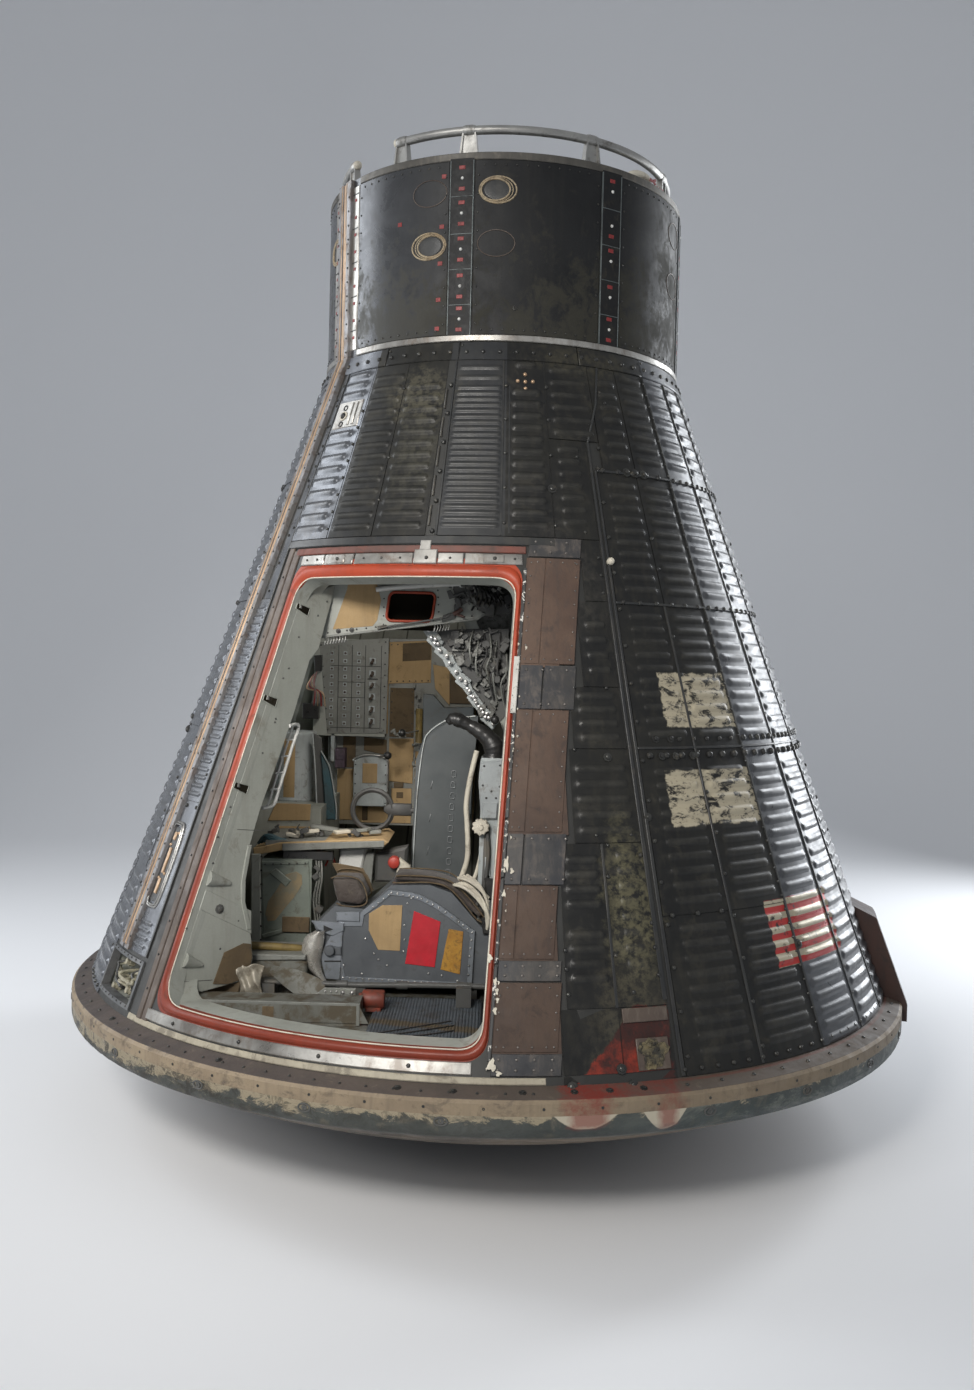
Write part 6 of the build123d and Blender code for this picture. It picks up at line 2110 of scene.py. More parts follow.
extras = (clutter([(-212, 600), (-190, 1000)], 0.335, 0.01, 0.011, 18)
          + clutter([(-300, 840), (-210, 858)], 0.30, 0.01, 0.010, 10))
addPiece("board_fittings", extras, "panelGrey", sharp=35)

# can on the console, with the strap panel beside it
can = turnedShape([(0.049, 0.0), (0.050, 0.004), (0.048, 0.008), (0.048, 0.156), (0.0505, 0.160),
                   (0.0505, 0.168), (0.047, 0.171), (0.02, 0.172)], 36)
canPiece = addPiece("breathing_can", [moved(can, (-0.487, 0.108, 0.690))], "paleGrey", sharp=40)
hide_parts("breathing_bottle")
label = np.radians(np.linspace(-28, 6, 7))
tall = np.array([0.700, 0.702, 0.842, 0.844])
band = np.stack([np.stack([-0.487 + r * np.sin(label), 0.108 - r * np.cos(label), np.full(7, z)], -1)
                 for r, z in zip((0.0478, 0.0488, 0.0488, 0.0478), tall)])
addPiece("can_band", [gridShape(band)], "tanCloth")
addPiece("strap_panel",
         [slab([(-437, 860), (-417, 850), (-403, 690), (-400, 648), (-424, 648), (-430, 700)], 0.048, 0.010,
               0.003)], "darkGrey")
addPiece("teal_strip",
         [slab([(-417, 815), (-394, 777), (-378, 690), (-377, 650), (-403, 650), (-408, 720)], 0.040, 0.009,
               0.003)], "teal")
addPiece("strip_edges",
         [fixedPipe([(-416, 38, 818), (-402, 38, 795), (-392, 38, 770), (-377, 38, 690), (-375, 38, 652)],
                    0.0018, 6),
          fixedPipe([(-438, 46, 858), (-430, 46, 770), (-425, 46, 690), (-422, 46, 650)], 0.0018, 6)],
         "paleGrey", sharp=60)
print("rear boards made")

# leg panel, controller and loop handle
legLine = np.array([(-176, -152, 500), (-171, -152, 680), (-166, -152, 771), (-156, -152, 854),
                    (-145, -152, 880), (-118, -152, 902), (-96, -152, 911), (-40, -152, 920)], float)
addPiece("leg_edge", [fixedPipe(legLine, 0.0016, 6)], "paleGrey", sharp=60)
legMarks = []
for index, z in enumerate(np.arange(512, 812, 25.0)):
    x = -96 + (z - 512) * 0.035
    outer = roundedBox((x - 6) / 1000, (z - 8) / 1000, (x + 6) / 1000, (z + 8) / 1000, 0.004, 4)
    legMarks.append(moved(frameShape(outer, insetOutline(outer, 0.0024), 0.003, 0.0007), (0, -0.1514, 0),
                          **facing))
    if index % 3 == 1:
        legMarks.append(slab([(x - 52, z - 10), (x - 49, z - 10), (x - 45, z + 8), (x - 48, z + 8)], -0.1512,
                             0.002))
addPiece("leg_marks", legMarks, "markGrey", sharp=50)

gripPath = np.array([(-96, -372, 914), (-86, -372, 921), (-72, -372, 920), (-52, -372, 911), (-30, -373, 899),
                     (-10, -373, 884), (2, -373, 868), (4, -373, 852), (2, -373, 838)], float)
gripSize = np.array([0.006, 0.0135, 0.0155, 0.0125, 0.0155, 0.0175, 0.0225, 0.0195, 0.0235])
fine = bent(gripPath / 1000, 5)
sizes = np.interp(np.linspace(0, 8, len(fine)), np.arange(9), gripSize)
sizes = sizes + 0.0006 * np.sin(np.arange(len(fine)) * 1.9)
grip = addPiece("stick_grip", [pipeShape(fine, sizes, 20)], "blackPlastic", sharp=70)
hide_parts("hand_controller")
whiteBlock = [slab([(-24, 838), (26, 842), (25, 790), (22, 764), (15, 716), (-19, 714), (-24, 760),
                    (-27, 796)], -0.4045, 0.060, 0.004)]
whiteBlock += [slab([(-16, 720), (12, 720), (14, 752), (-18, 752)], -0.4085, 0.006, 0.0016)]
addPiece("stick_block", whiteBlock, "blockWhite")
addHeads("stick_bolts",
         [heads([(-16, 828), (17, 830), (-18, 788), (17, 786), (-10, 762), (10, 762), (0, 776)], -0.4045,
                0.0024)])
turn = wholeTurn(40)
lobes = 1 + 0.07 * np.sign(np.sin(10 * turn))
dial = np.stack([np.column_stack([r * lobes * np.cos(turn), r * lobes * np.sin(turn), np.full(40, h)])
                 for r, h in ((0.016, -0.012), (0.017, 0.0), (0.017, 0.006), (0.0145, 0.009), (0.006, 0.010),
                              (0.005, 0.013))])
addPiece("trim_dial", [moved(ringsShape(dial), (-0.020, -0.413, 0.703), **facing)], "cream",
         sharp=30)
addPiece("stick_strips",
         [slab([(-22, 700), (-12, 700), (-14, 560), (-24, 560)], -0.4030, 0.004),
          slab([(6, 706), (24, 706), (24, 480), (4, 480)], -0.4030, 0.004),
          slab([(-10, 640), (2, 640), (2, 600), (-10, 600)], -0.4045, 0.005)], "paleGrey")
addPiece("stick_dark",
         [slab([(-12, 700), (-2, 700), (0, 560), (-12, 500), (-22, 500), (-16, 560)], -0.4040, 0.005),
          fixedPipe([(-6, -407, 690), (-3, -409, 640), (-10, -409, 580), (-24, -408, 540), (-40, -400, 520)],
                    0.0042)], "darkGrey", sharp=50)
addPiece("cream_duct",
         [fixedPipe([(-33, -300, 852), (-38, -300, 830), (-47, -300, 785), (-53, -300, 735), (-50, -300, 690),
                     (-48, -300, 620), (-66, -300, 560)], 0.0058),
          fixedPipe([(-20, -322, 700), (-18, -324, 640), (-30, -322, 585), (-52, -318, 548)], 0.0046)],
         "cream", sharp=60)
loopTurn = np.radians(np.linspace(-172, 172, 33))
loopLine = [(-0.2700 - 0.0452 * np.cos(t), -0.1425, 0.700 + 0.0452 * np.sin(t)) for t in loopTurn]
addPiece("loop_guides",
         [pipeShape([(x, y - 0.0075, z) for x, y, z in loopLine], 0.0012, 6),
          slab([(-232, 716), (-180, 716), (-180, 688), (-232, 688), (-244, 697), (-244, 707)], -0.1485, 0.012,
               0.003)], "darkRubber", sharp=60)
print("leg panel and stick made")

# shelf, cabinet and what stands on them
addPiece("shelf_board", [slab([(-520, 622), (-456, 637), (-236, 650), (-223, 642), (-232, 633), (-455, 619),
                               (-518, 606)], -0.2535, 0.175, 0.002)], "tanCloth")
addPiece("shelf_lip", [slab([(-455, 634), (-232, 646), (-232, 632), (-455, 618)], -0.2560, 0.003)],
         "panelGrey")
papers = []
for x, y, z, wide, deep, lean, turnBy in ((-410, -200, 655, 52, 30, 0.10, 0.3),
                                          (-372, -190, 662, 60, 26, -0.12, -0.2),
                                          (-330, -215, 658, 34, 22, 0.05, 0.5),
                                          (-290, -205, 660, 46, 24, 0.2, -0.4),
                                          (-440, -215, 648, 30, 22, -0.2, 0.1),
                                          (-258, -200, 657, 28, 18, 0.1, 0.2)):
    east = np.array([math.cos(turnBy), math.sin(turnBy), lean])
    east /= np.linalg.norm(east)
    north = np.cross([0, 0, 1.0], east)
    north /= np.linalg.norm(north)
    shape = blockShape((-wide / 2000, -deep / 2000, -0.004), (wide / 2000, deep / 2000, 0.004), 0.0016)
    papers.append(moved(shape, (x / 1000, y / 1000, z / 1000), east, north, np.cross(east, north)))
addPiece("shelf_boxes", papers[::2], "cream")
addPiece("shelf_cases", papers[1::2], "panelGrey")
addPiece("shelf_parts", clutter([(-500, 640), (-250, 660)], -0.205, 0.05, 0.013, 16, kinds=(0, 2)),
         "darkGrey", sharp=35)
tealLooms = [fixedPipe([(-512 + 6 * i, -230, 630 + 2 * i), (-498 + 4 * i, -244, 648 - 2 * i),
                        (-480, -246, 650 - 5 * i), (-462 + 3 * i, -236, 640), (-452, -222, 630)], 0.0036, 6,
                       4) for i in range(4)]
addPiece("shelf_looms", tealLooms, "teal", sharp=60)
addPiece("shelf_wires",
         [fixedPipe([(-388, -205, 618), (-370, -222, 612), (-352, -212, 604), (-346, -200, 585)], 0.003, 6,
                    4),
          fixedPipe([(-396, -208, 612), (-378, -226, 606), (-360, -222, 596), (-366, -204, 580)], 0.0024, 6,
                    4)], "redPaint", sharp=60)
addPiece("shelf_shadow", [board(-455, 598, -345, 617, -0.2440, 0.02)], "blackPlastic")
addPiece("white_case", [slab([(-333, 617), (-275, 622), (-291, 545), (-341, 548)], -0.208, 0.05, 0.004)],
         "whitePaint")
addPiece("gusset", [slab([(-274, 613), (-257, 614), (-262, 545), (-290, 548)], -0.214, 0.006)], "panelGrey")
addPiece("dark_case", [slab([(-255, 610), (-184, 626), (-184, 545), (-256, 545)], -0.206, 0.05, 0.006)],
         "darkGrey")
redTurn = turnedShape([(0.0135, -0.01), (0.0135, 0.006), (0.012, 0.010), (0.006, 0.0125), (0.002, 0.013)], 24)
addPiece("red_knob", [moved(redTurn, (-0.212, -0.222, 0.594), **facing)], "redPaint", sharp=45)
addPiece("pale_wedge", [slab([(-200, 604), (-176, 586), (-176, 570), (-206, 572)], -0.226, 0.02, 0.003)],
         "cream")
addPiece("cabinet_face",
         [slab([(-500, 594), (-397, 598), (-389, 466), (-437, 445), (-493, 432)], -0.2530, 0.003),
          slab([(-500, 594), (-397, 598), (-398, 590), (-499, 586)], -0.2555, 0.003),
          slab([(-498, 432), (-392, 466), (-392, 458), (-492, 424)], -0.2555, 0.003)], "greenCabinet")
addPiece("cabinet_post", [slab([(-524, 610), (-503, 611), (-496, 350), (-519, 350)], -0.2560, 0.012, 0.002)],
         "cabinGrey")
addPiece("cabinet_tan", [slab([(-447, 566), (-424, 573), (-411, 566), (-410, 546), (-424, 520), (-450, 488),
                               (-468, 464), (-484, 462), (-490, 478), (-484, 506), (-466, 532)], -0.2538,
                              0.0012, 0.0004)], "tanSmear")
addPiece("cabinet_tab", [slab([(-483, 569), (-468, 580), (-434, 553), (-445, 539)], -0.2560, 0.004, 0.0014)],
         "greenCabinet")
addHeads("cabinet_heads", [headRow((-500, 605), (-497, 360), 9, -0.2560, 0.0024),
                           headRow((-492, 588), (-404, 592), 6, -0.2555, 0.0020)])
addPiece("cabinet_side", clutter([(-388, 480), (-372, 590)], -0.240, 0.02, 0.012, 10, kinds=(0, 2)),
         "darkGrey", sharp=35)
addPiece("cabinet_pipes",
         [fixedPipe([(-384 + 6 * i, -236, 604), (-378 + 5 * i, -243, 560), (-386 + 6 * i, -240, 510),
                     (-380 + 5 * i, -236, 452)], 0.0022, 6, 4) for i in range(3)], "panelGrey",
         sharp=60)
print("shelf and cabinet made")

# seat side
seatY = -0.4345
seatOutline = [(-298, 381), (-30, 374), (-26, 492), (-80, 530), (-104, 546), (-137, 562), (-160, 568),
               (-204, 572), (-232, 548), (-263, 524), (-266, 506), (-306, 505), (-312, 470), (-306, 420)]
addPiece("seat_plate", [slab(seatOutline, seatY, 0.0040, 0.0012)], "seatGrey")
outer = turnedLeft(np.array(seatOutline) / 1000)
rimPlate = frameShape(outer, insetOutline(outer, 0.0105), 0.004, 0.0009)
addPiece("seat_rim", [moved(rimPlate, (0, seatY - 0.0022, 0), **facing)], "seatEdge")
addPiece("seat_tan", [slab([(-217, 540), (-176, 541), (-179, 447), (-224, 448), (-244, 488), (-244, 522)],
                           seatY - 0.0012, 0.0020, 0.0006)], "tanCloth")
addPiece("red_plate",
         [slab([(-152, 530), (-97, 509), (-107, 415), (-168, 421)], seatY - 0.0016, 0.0022, 0.0006)],
         "redPlate")
addPiece("yellow_plate",
         [slab([(-80, 495), (-50, 490), (-55, 402), (-95, 411)], seatY - 0.0016, 0.0022, 0.0006)],
         "yellowPlate")
edgeLine = np.array([(-199, 566), (-162, 561), (-137, 556), (-101, 538), (-60, 510), (-32, 489), (-36, 440),
                     (-39, 382)])
seatHeads = [heads(edgeLine * (1 - t) + np.roll(edgeLine, -1, 0) * t, seatY - 0.0022, 0.0024)
             for t in (0, 0.33, 0.66)]
for shape in seatHeads[1:]:  # the row is open, so the last step of the closed line is dropped
    shape[0][-len(rivetHead[0]):] = shape[0][-2 * len(rivetHead[0]):-len(rivetHead[0])]
seatHeads += [heads([(-294, 414), (-223, 428), (-205, 416), (-172, 446), (-170, 470), (-171, 500),
                     (-166, 545), (-158, 556), (-232, 440), (-250, 470), (-120, 402), (-92, 398), (-60, 388),
                     (-256, 398)], seatY, 0.0024),
              headRow((-294, 389), (-40, 381), 20, seatY - 0.0022, 0.0022),
              headRow((-236, 536), (-204, 562), 4, seatY - 0.0022, 0.0022)]
addHeads("seat_heads", seatHeads, "steel")
addPiece("seat_bracket",
         [slab([(-362, 505), (-294, 502), (-294, 486), (-318, 474), (-348, 487)], -0.4400, 0.010, 0.002),
          slab([(-318, 480), (-296, 484), (-298, 420), (-300, 384), (-330, 386), (-342, 430), (-330, 460)],
               -0.4385, 0.006, 0.0016),
          slab([(-312, 524), (-262, 526), (-262, 505), (-310, 506)], -0.4390, 0.006, 0.0016)], "seatEdge")
# dark slabs in the seat's triangular cut and along its gap: painted shade
addPiece("seat_gap_shade", [slab([(-336, 497), (-316, 489), (-335, 482)], -0.4412, 0.002, 0.0004),
                      slab([(-333, 424), (-299, 425), (-299, 422), (-333, 421)], -0.4392, 0.002, 0.0004)],
         "blackPlastic")
addPiece("seat_boss",
         [moved(turnedShape([(0.011, -0.004), (0.011, 0.008), (0.009, 0.0105), (0.004, 0.011)], 20),
                (-0.322, -0.4395, 0.446), **facing), board(-322, 436, -298, 454, -0.4420, 0.008, 0.002)],
         "seatGrey", sharp=40)
outerLine = bent([(-352, 486), (-372, 473), (-379, 449), (-375, 425), (-360, 402), (-331, 380)], 4)
innerLine = bent([(-333, 486), (-334, 466), (-337, 446), (-340, 424), (-337, 404), (-327, 383)], 4)
leaf = []
for (x0, z0), (x1, z1) in zip(outerLine / 1000, innerLine / 1000):
    # hollow strap round the seat's corner: each section bulges towards the hatch between its two edges
    t = np.linspace(0, 1, 7)
    face = np.stack([x0 + (x1 - x0) * t, -0.4440 - 0.010 * np.sin(math.pi * t), z0 + (z1 - z0) * t], -1)
    leaf.append(np.concatenate([face, (face + (0, 0.003, 0))[::-1]]))
addPiece("seat_strap", [ringsShape(np.array(leaf)[:, ::-1])], "polished", sharp=60)
addPiece("seat_shim",
         [slab([(-336, 606), (-328, 607), (-269, 597), (-246, 551), (-262, 541), (-302, 545)], -0.3300, 0.004,
               0.0012)], "brownCloth")


def cushionMaterial():
    # dark brown coated cloth: fine grain, creases and paler patches
    look = dict(base=(0.055, 0.042, 0.036), second=(0.075, 0.060, 0.050), dirt=(0.15, 0.13, 0.10),
                dirtFrom=0.6, rough=(0.55, 0.8), patch=18.0, grain=620.0, grainDepth=0.35)
    material, shader, place = newMaterial("cushion")
    colour, roughness, height = layers(place, look)
    crease = noise(place, 60.0, 4, 0.6, 1.2, stretch=(1, 0.4, 1))
    height = height + ramp(crease, 0.35, 0.6) * 0.0008
    finish(shader, colour, roughness, height, look)
    shader.inputs["Sheen Weight"].default_value = 0.15
    return material


mat["cushion"] = cushionMaterial()
cushions = dict(
    front=-0.426,
    back=-0.334,
    left=[(-313, 539), (-262, 534), (-248, 552), (-268, 592), (-326, 592)],
    right=[(-200, 584), (-121, 586), (-76, 571), (-22, 511), (-8, 520), (-66, 584), (-115, 600), (-192, 600)],
    voxel=0.005,
    pressure=4.0,
    frames=20,
    cap=0.006,
)


def makeCushions(look):
    # both pads in one mesh: slabs a little smaller than their CAD solids, blown up by a cloth simulation
    shapes = [slab(insetOutline(turnedLeft(np.array(look[side], float)), 2.2), look["front"] + 0.003,
                   look["back"] - look["front"] - 0.006, 0.004) for side in ("left", "right")]
    piece = addPiece("seat_cushions", shapes, "cushion", sharp=80)
    remesh = piece.modifiers.new("remesh", "REMESH")
    remesh.mode = "VOXEL"
    remesh.voxel_size = look["voxel"]
    applyModifier(piece, remesh)
    start = np.zeros(len(piece.data.vertices) * 3)
    piece.data.vertices.foreach_get("co", start)
    cloth = piece.modifiers.new("cloth", "CLOTH")
    cloth.settings.use_pressure = True
    cloth.settings.uniform_pressure_force = look["pressure"]
    cloth.settings.effector_weights.gravity = 0.0
    cloth.point_cache.frame_start = 1
    cloth.point_cache.frame_end = look["frames"]
    for step in range(1, look["frames"] + 1):
        bpy.context.scene.frame_set(step)
    shaped = piece.evaluated_get(bpy.context.evaluated_depsgraph_get())
    swollen = np.zeros(len(shaped.data.vertices) * 3)
    shaped.data.vertices.foreach_get("co", swollen)
    shift = (swollen - start).reshape(-1, 3)
    far = np.linalg.norm(shift, axis=1)[:, None]
    shift *= np.minimum(1, look["cap"] / np.maximum(far, 1e-9))
    piece.modifiers.remove(cloth)
    piece.data.vertices.foreach_set("co", (start.reshape(-1, 3) + shift).ravel())
    piece.data.update()
    bpy.context.scene.frame_set(1)
    applyModifier(piece, piece.modifiers.new("smooth", "SUBSURF"))
    piece.data.shade_smooth()
    return piece


def applyModifier(piece, modifier):
    # the modifier's result becomes the piece's own mesh
    if modifier.type == "SUBSURF":
        modifier.levels = modifier.render_levels = 1
    result = bpy.data.meshes.new_from_object(piece.evaluated_get(bpy.context.evaluated_depsgraph_get()))
    piece.modifiers.remove(modifier)
    piece.data = result


seatPads = makeCushions(cushions)
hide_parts("seat_pads")
welting = []
for side in ("left", "right"):
    line = insetOutline(turnedLeft(np.array(cushions[side], float)), 1.2) / 1000
    for y in (cushions["front"] + 0.001, cushions["back"] - 0.001):
        ring = np.column_stack([line[:, 0], np.full(len(line), y), line[:, 1]])
        ring = np.concatenate([ring[-1:], ring, ring[:1]])
        welting.append(pipeShape(bent(ring, 4)[4:-4], 0.0016, 6))
addPiece("cushion_welts", welting, "brownCloth", sharp=70)
print("seat made")

# bundle of pale cables over the seat's right shoulder, clamped at both ends
shoulder = [fixedPipe([(-72 + 5 * i, -424, 584 + 1.5 * i), (-50 + 7 * i, -446, 582 - 4 * i),
                       (-26 + 5 * i, -450, 566 - 7 * i), (-8 + 2 * i, -446, 546 - 6 * i),
                       (-2, -438, 512 - 3 * i)], 0.0034, 8, 5) for i in range(6)]
shoulder += [fixedPipe([(-64 + 6 * i, -420, 598 + 2 * i), (-42 + 6 * i, -443, 596 - i),
                        (-20 + 4 * i, -447, 582 - 4 * i), (0, -442, 562 - 8 * i)], 0.0030, 8, 5)
             for i in range(4)]
addPiece("shoulder_cables", shoulder, "cream", sharp=60)
addPiece("shoulder_clamps", [slab([(-10, 600), (14, 600), (14, 556), (-4, 556)], -0.4380, 0.016, 0.003),
                             slab([(-14, 520), (12, 520), (12, 486), (-10, 486)], -0.4400, 0.012, 0.003)],
         "blackPlastic")

# floor
matLook = dict(x=(-0.2235, -0.0065), y=(-0.7185, -0.4415), foot=0.3452, top=0.3545, pitch=0.0062, rise=0.0022)


def makeMat(look):
    # quilted mat: channels along its length, |sin|^0.8 across them, pulled down by a stitch line every 46 mm,
    # with its rim drawn down to the floor
    across = int((look["x"][1] - look["x"][0]) / look["pitch"] * 8)
    x = np.linspace(*look["x"], across)
    y = np.linspace(*look["y"], 57)
    gx, gy = np.meshgrid(x, y)
    edge = np.minimum(np.minimum(gx - x[0], x[-1] - gx), np.minimum(gy - y[0], y[-1] - gy))
    crown = np.clip(edge / 0.007, 0, 1) ** 0.5
    ribs = np.abs(np.sin(math.pi * (gx - x[0]) / look["pitch"])) ** 0.8
    stitched = 1 - 0.8 * np.exp(-((gy - y[0]) % 0.046 / 0.002 - 1.5) ** 2)
    top = (look["foot"] + 0.001 + (look["top"] - look["foot"] - 0.001) * crown
           + look["rise"] * ribs * crown * stitched)
    upper = np.stack([gx, gy, top], -1)
    lower = np.stack([gx, gy, np.full_like(top, look["foot"])], -1)
    rows, columns = gx.shape
    points = np.concatenate([upper.reshape(-1, 3), lower.reshape(-1, 3)])
    quads, count = gridQuads(rows, columns), rows * columns
    rim = np.concatenate([np.arange(columns), columns - 1 + columns * np.arange(1, rows),
                          count - 1 - np.arange(1, columns), columns * np.arange(rows - 2, 0, -1)])
    following = np.roll(rim, -1)
    sides = np.stack([rim + count, following + count, following, rim], -1)
    return points, np.concatenate([quads, quads[:, ::-1] + count, sides]), noTriangles


def matMaterial():
    # blue-grey quilted cloth with a brown, dirty strip near its front edge
    look = dict(base=(0.085, 0.10, 0.115), second=(0.065, 0.08, 0.095), dirt=(0.05, 0.042, 0.03),
                dirtFrom=0.52, rough=(0.7, 0.9), patch=13.0, grain=600.0, grainDepth=0.3)
    material, shader, place = newMaterial("quilt")
    colour, roughness, height = layers(place, look)
    x, y, _ = coordinates(place)
    ragged = noise(place, 30.0, 7, 0.7)
    strip = between(calc("MULTIPLY_ADD", x, 0.25, y), -0.688, -0.652, 60.0)
    colour = mix(grow(strip, ragged, 2.6, 0.4) * 0.85, colour, (0.10, 0.072, 0.035))
    weave = node(place.tree, "TexWave", 1, Vector=place, Scale=260.0, Distortion=0.4, Detail=1.0)
    height = height + weave * 0.0002
    finish(shader, colour, roughness, height, look)
    return material


mat["quilt"] = matMaterial()
matPiece = addPiece("floor_quilt", [makeMat(matLook)], "quilt", sharp=80)
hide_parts("floor_mat")
cables = [[(-219, -714), (-150, -668), (-66, -612)], [(-186, -716), (-130, -684), (-60, -640)],
          [(-146, -716), (-105, -700), (-58, -672)]]
addPiece("floor_lines", [fixedPipe([(x, y, 357.0) for x, y in line], 0.0017, 6) for line in cables],
         "blackPlastic", sharp=60)
addPiece("floor_case", [moved(blockShape((-0.530, -0.462, 0.346), (-0.366, -0.345, 0.428), 0.004))],
         "floorGrey")
addPiece("floor_case_lid",
         [slab([(-531, 440), (-368, 439), (-368, 430), (-531, 424)], -0.4640, 0.120, 0.002)], "panelGrey")
addPiece("olive_pipe",
         [fixedPipe([(-560, -415, 438), (-545, -425, 447), (-500, -432, 450), (-450, -428, 448),
                     (-400, -420, 444), (-378, -412, 440)], 0.0080, 12)], "oliveTube", sharp=60)
addPiece("brown_patches",
         [slab([(-545, 424), (-482, 408), (-497, 352), (-556, 352)], -0.5220, 0.006, 0.002),
          board(-425, 348, -402, 380, -0.6225, 0.003), board(-452, 440, -392, 474, -0.2580, 0.003)],
         "brownCloth")
foilGrid = np.stack(np.meshgrid(np.linspace(0, 1, 25), np.linspace(0, 1, 33)), -1)
fu, fv = foilGrid[..., 0], foilGrid[..., 1]
foilX = -0.494 + 0.056 * fu + 0.008 * np.sin(fv * 4 + fu * 2)
foilZ = 0.350 + 0.082 * fv + 0.003 * np.sin(fu * 11)
foilY = (-0.530 + 0.0032 * np.sin(fu * 10 + 5 * fv) + 0.0030 * np.sin(fv * 13 - 4 * fu)
         + 0.02 * (fv - 0.3) ** 2)
foil = addPiece("foil_wrap", [gridShape(np.stack([foilX, foilY, foilZ], -1))], "foil", sharp=80)
foil.modifiers.new("thick", "SOLIDIFY").thickness = 0.002
bow = []
for share in np.linspace(0, 1, 13):
    # hollow panel that curves from the case down to the riveted strip
    x = -0.430 + 0.108 * share
    low = 0.419 - 0.050 * math.sin(math.pi * 0.62 * share) - 0.004 * share
    high = 0.421 - 0.030 * share ** 2
    bow.append([(x, -0.524, low), (x, -0.516, low - 0.003), (x, -0.490, high), (x, -0.496, high + 0.004)])
addPiece("bow_panel", [ringsShape(np.array(bow)[:, ::-1])], "floorGrey", sharp=50)
addPiece("floor_strip", [slab([(-412, 370), (-345, 358), (-267, 344), (-267, 391), (-320, 391), (-345, 372),
                               (-410, 378)], -0.5240, 0.004),
                         slab([(-290, 392), (-258, 392), (-258, 346), (-290, 346)], -0.5300, 0.010, 0.002),
                         slab([(-203, 353), (-14, 353), (-14, 340), (-203, 340)], -0.5240, 0.006)],
         "panelGrey")
stripHeads = [headRow((-405, 374), (-350, 363), 5, -0.5240, 0.0022),
              headRow((-318, 384), (-296, 384), 3, -0.5240, 0.0022),
              headRow((-340, 362), (-296, 354), 4, -0.5240, 0.0022),
              headRow((-196, 347), (-20, 347), 9, -0.5240, 0.0024),
              heads([(-283, 384), (-265, 384), (-283, 354), (-265, 354)], -0.5300, 0.0026, washerBolt)]
addHeads("floor_heads", stripHeads, "steel")
pipeZ = 0.391
pipeSpan = [(-516, -500, pipeZ * 1000), (-400, -497, pipeZ * 1000 + 2), (-260, -493, pipeZ * 1000 - 1),
            (-120, -489, pipeZ * 1000 + 1), (-4, -485, pipeZ * 1000)]
sleeves = [fixedPipe([(x, -485 - 15 * x / -516, pipeZ * 1000),
                      (x + 22, -485 - 15 * (x + 22) / -516, pipeZ * 1000)], 0.0082, 12, 2)
           for x in (-300, -180, -60)]
# the floor tube is dark grey, partly its own colour and partly painted shade under the seat
pipePiece = addPiece("floor_tube", [fixedPipe(pipeSpan, 0.0058, 10), *sleeves], "darkGrey",
                     sharp=50)
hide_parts("floor_pipe")
relay = turnedShape([(0.0165, -0.024), (0.0185, -0.021), (0.0185, 0.016), (0.0168, 0.019), (0.0120, 0.021),
                     (0.0115, 0.026), (0.004, 0.0265)], 28)
relayPiece = addPiece("relay_can",
                      [moved(relay, (-0.2235, -0.5400, 0.3755), (0, 0, 1), (0, 1, 0), (-1, 0, 0)),
                       moved(blockShape((-0.236, -0.556, 0.3535), (-0.205, -0.524, 0.362), 0.0015))],
                      "relayRed", sharp=40)
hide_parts("relay_box")
addPiece("floor_parts", clutter([(-300, 350), (-210, 368)], -0.505, 0.02, 0.011, 9, kinds=(0, 2)), "darkGrey",
         sharp=35)
addPiece("beam_face", slab([(-600, 386), (-241, 386), (-222, 350), (-600, 350)], -0.6222, 0.002), "floorGrey")
edgeStrip = plateShape((besideRight(0.0050), besideRight(0.0150)), (0.948, 1.052), 0.0085, edge=0.0012)
addPiece("edge_strip", edgeStrip, "chippedWhite")
addPiece("beam_trim", [slab([(-600, 389), (-243, 389), (-243, 383), (-600, 383)], -0.6225, 0.003),
                       slab([(-246, 389), (-239, 389), (-239, 346), (-246, 346)], -0.6230, 0.004)],
         "panelGrey")
addHeads("beam_heads", [headRow((-580, 378), (-252, 378), 13, -0.6200, 0.0022)])
print("floor made")

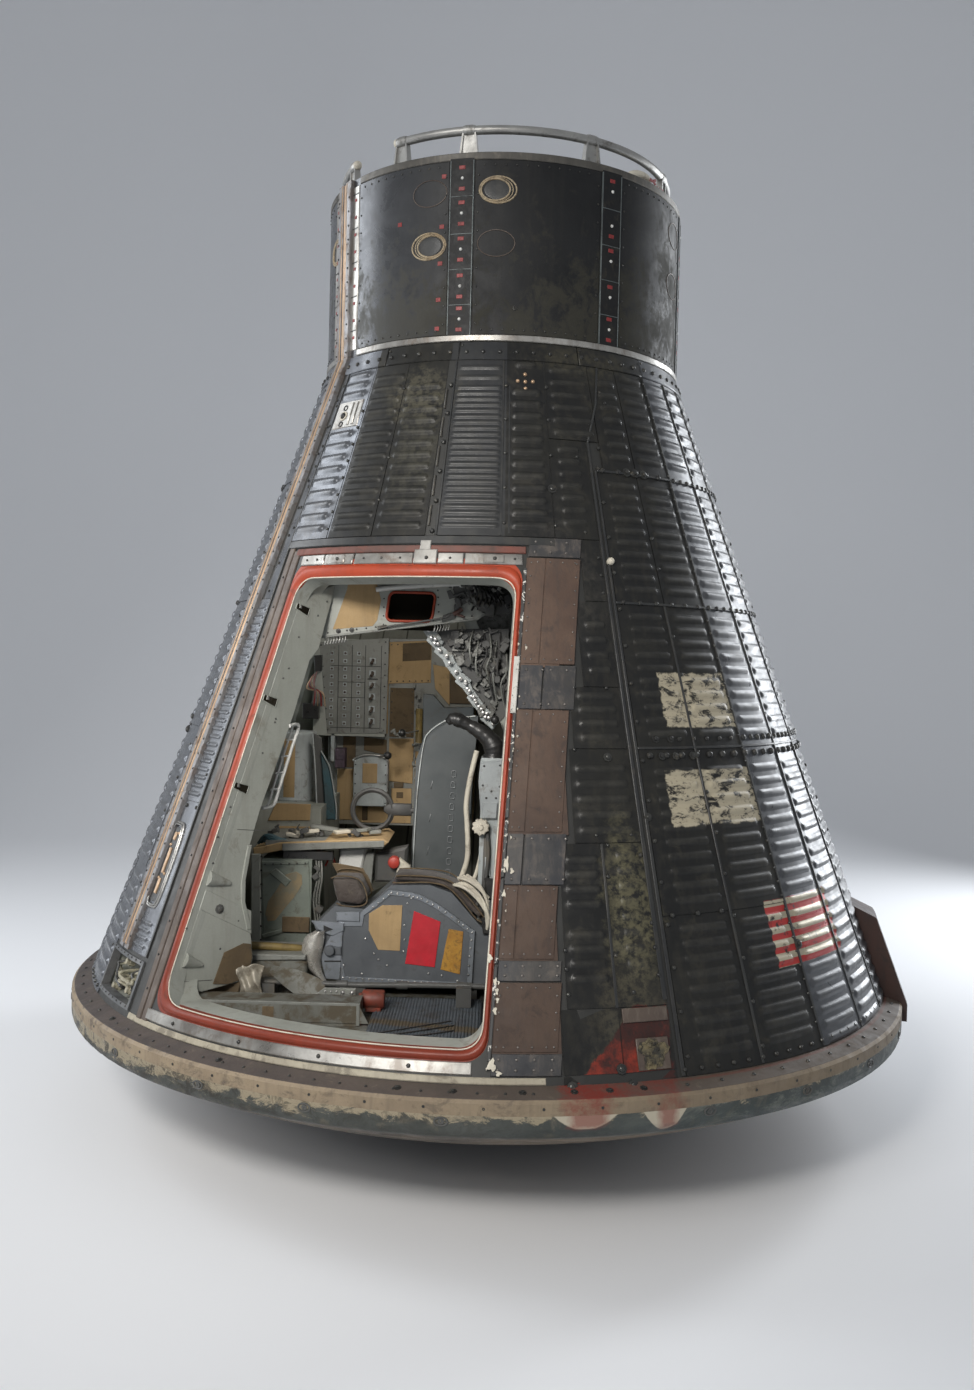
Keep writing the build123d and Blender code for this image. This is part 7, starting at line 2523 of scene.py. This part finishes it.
# CAD nodes that keep their own shape, by the finish they get
dressed = {
    "wall": ("cone_wall_right", "cone_wall_rear_right", "cone_wall_rear_left", "cone_wall_left",
             "bay_panel", "cone_wall_upper", "hatch_frame"),
    "cylinder": ("recovery_cylinder",),
    "strapCell": ("cylinder_straps",),
    "racewayMetal": ("raceway_cone", "raceway_cylinder"),
    "orangeSeal": ("hatch_seal", "inner_window_rim"),
    "brownPlate": ("edge_plates",),
    "ringBand": ("shield_ring",),
    "shield": ("heat_shield",),
    "bayRim": ("bay_frame",),
    "fairing": ("umbilical_fairing",),
    "windowFrame": ("window_frame",),
    "pane": ("window_glass",),
    "rail": ("top_rail", "rail_brackets"),
    "deck": ("recovery_deck",),
    "canister": ("parachute_canister",),
    "cabinGrey": ("hatch_tunnel", "left_console", "forward_bulkhead", "couch_shell", "equipment_box",
                  "instrument_panel"),
    "floorGrey": ("cabin_floor", "floor_beam"),
    "seatGrey": ("seat_side_support",),
    "legGrey": ("leg_panel",),
    "mechGrey": ("instrument_rack",),
    # the floor pipe and its clamps are dark grey, partly painted shade under the seat
    "darkGrey": ("floor_pipe", "pipe_clamps", "seat_rails", "top_panel"),
    "tanCloth": ("circuit_panel",),
    "panelGrey": ("equipment_shelf",),
    "greenCabinet": ("grey_cabinet",),
    "paleGrey": ("controller_base",),
    "darkRubber": ("loop_handle",),
}
for finishName, names in dressed.items():
    for name in names:
        slots = nodes[name].material_slots
        if len(slots) == 0:
            nodes[name].data.materials.append(mat[finishName])
        for slot in slots:
            slot.material = mat[finishName]

# floor that curves up into a backdrop
floor = dict(wide=18.0, front=-8.0, bend=3.6, bendRadius=3.0, head=9.0, colour=(0.84, 0.85, 0.87))
turn = np.linspace(0, math.pi / 2, 25)
sweep = np.concatenate([[(floor["front"], 0)],
                        np.stack([floor["bend"] + floor["bendRadius"] * np.sin(turn),
                                  floor["bendRadius"] * (1 - np.cos(turn))], -1),
                        [(floor["bend"] + floor["bendRadius"], floor["head"])]])
stageSides = [np.column_stack([np.full(len(sweep), x), sweep]) for x in (-floor["wide"], floor["wide"])]
stagePoints, stageQuads, _ = gridShape(np.stack(stageSides, 1))
stageMesh = bpy.data.meshes.new("floor")
stageMesh.from_pydata(stagePoints.tolist(), [], stageQuads.tolist())
stageMesh.shade_smooth()
stageFloor = bpy.data.objects.new("floor", stageMesh)
bpy.context.scene.collection.objects.link(stageFloor)
floorMaterial, floorShader, _ = newMaterial("floorPaint")
floorShader.inputs["Base Color"].default_value = (*floor["colour"], 1)
floorShader.inputs["Roughness"].default_value = 0.9
stageMesh.materials.append(floorMaterial)
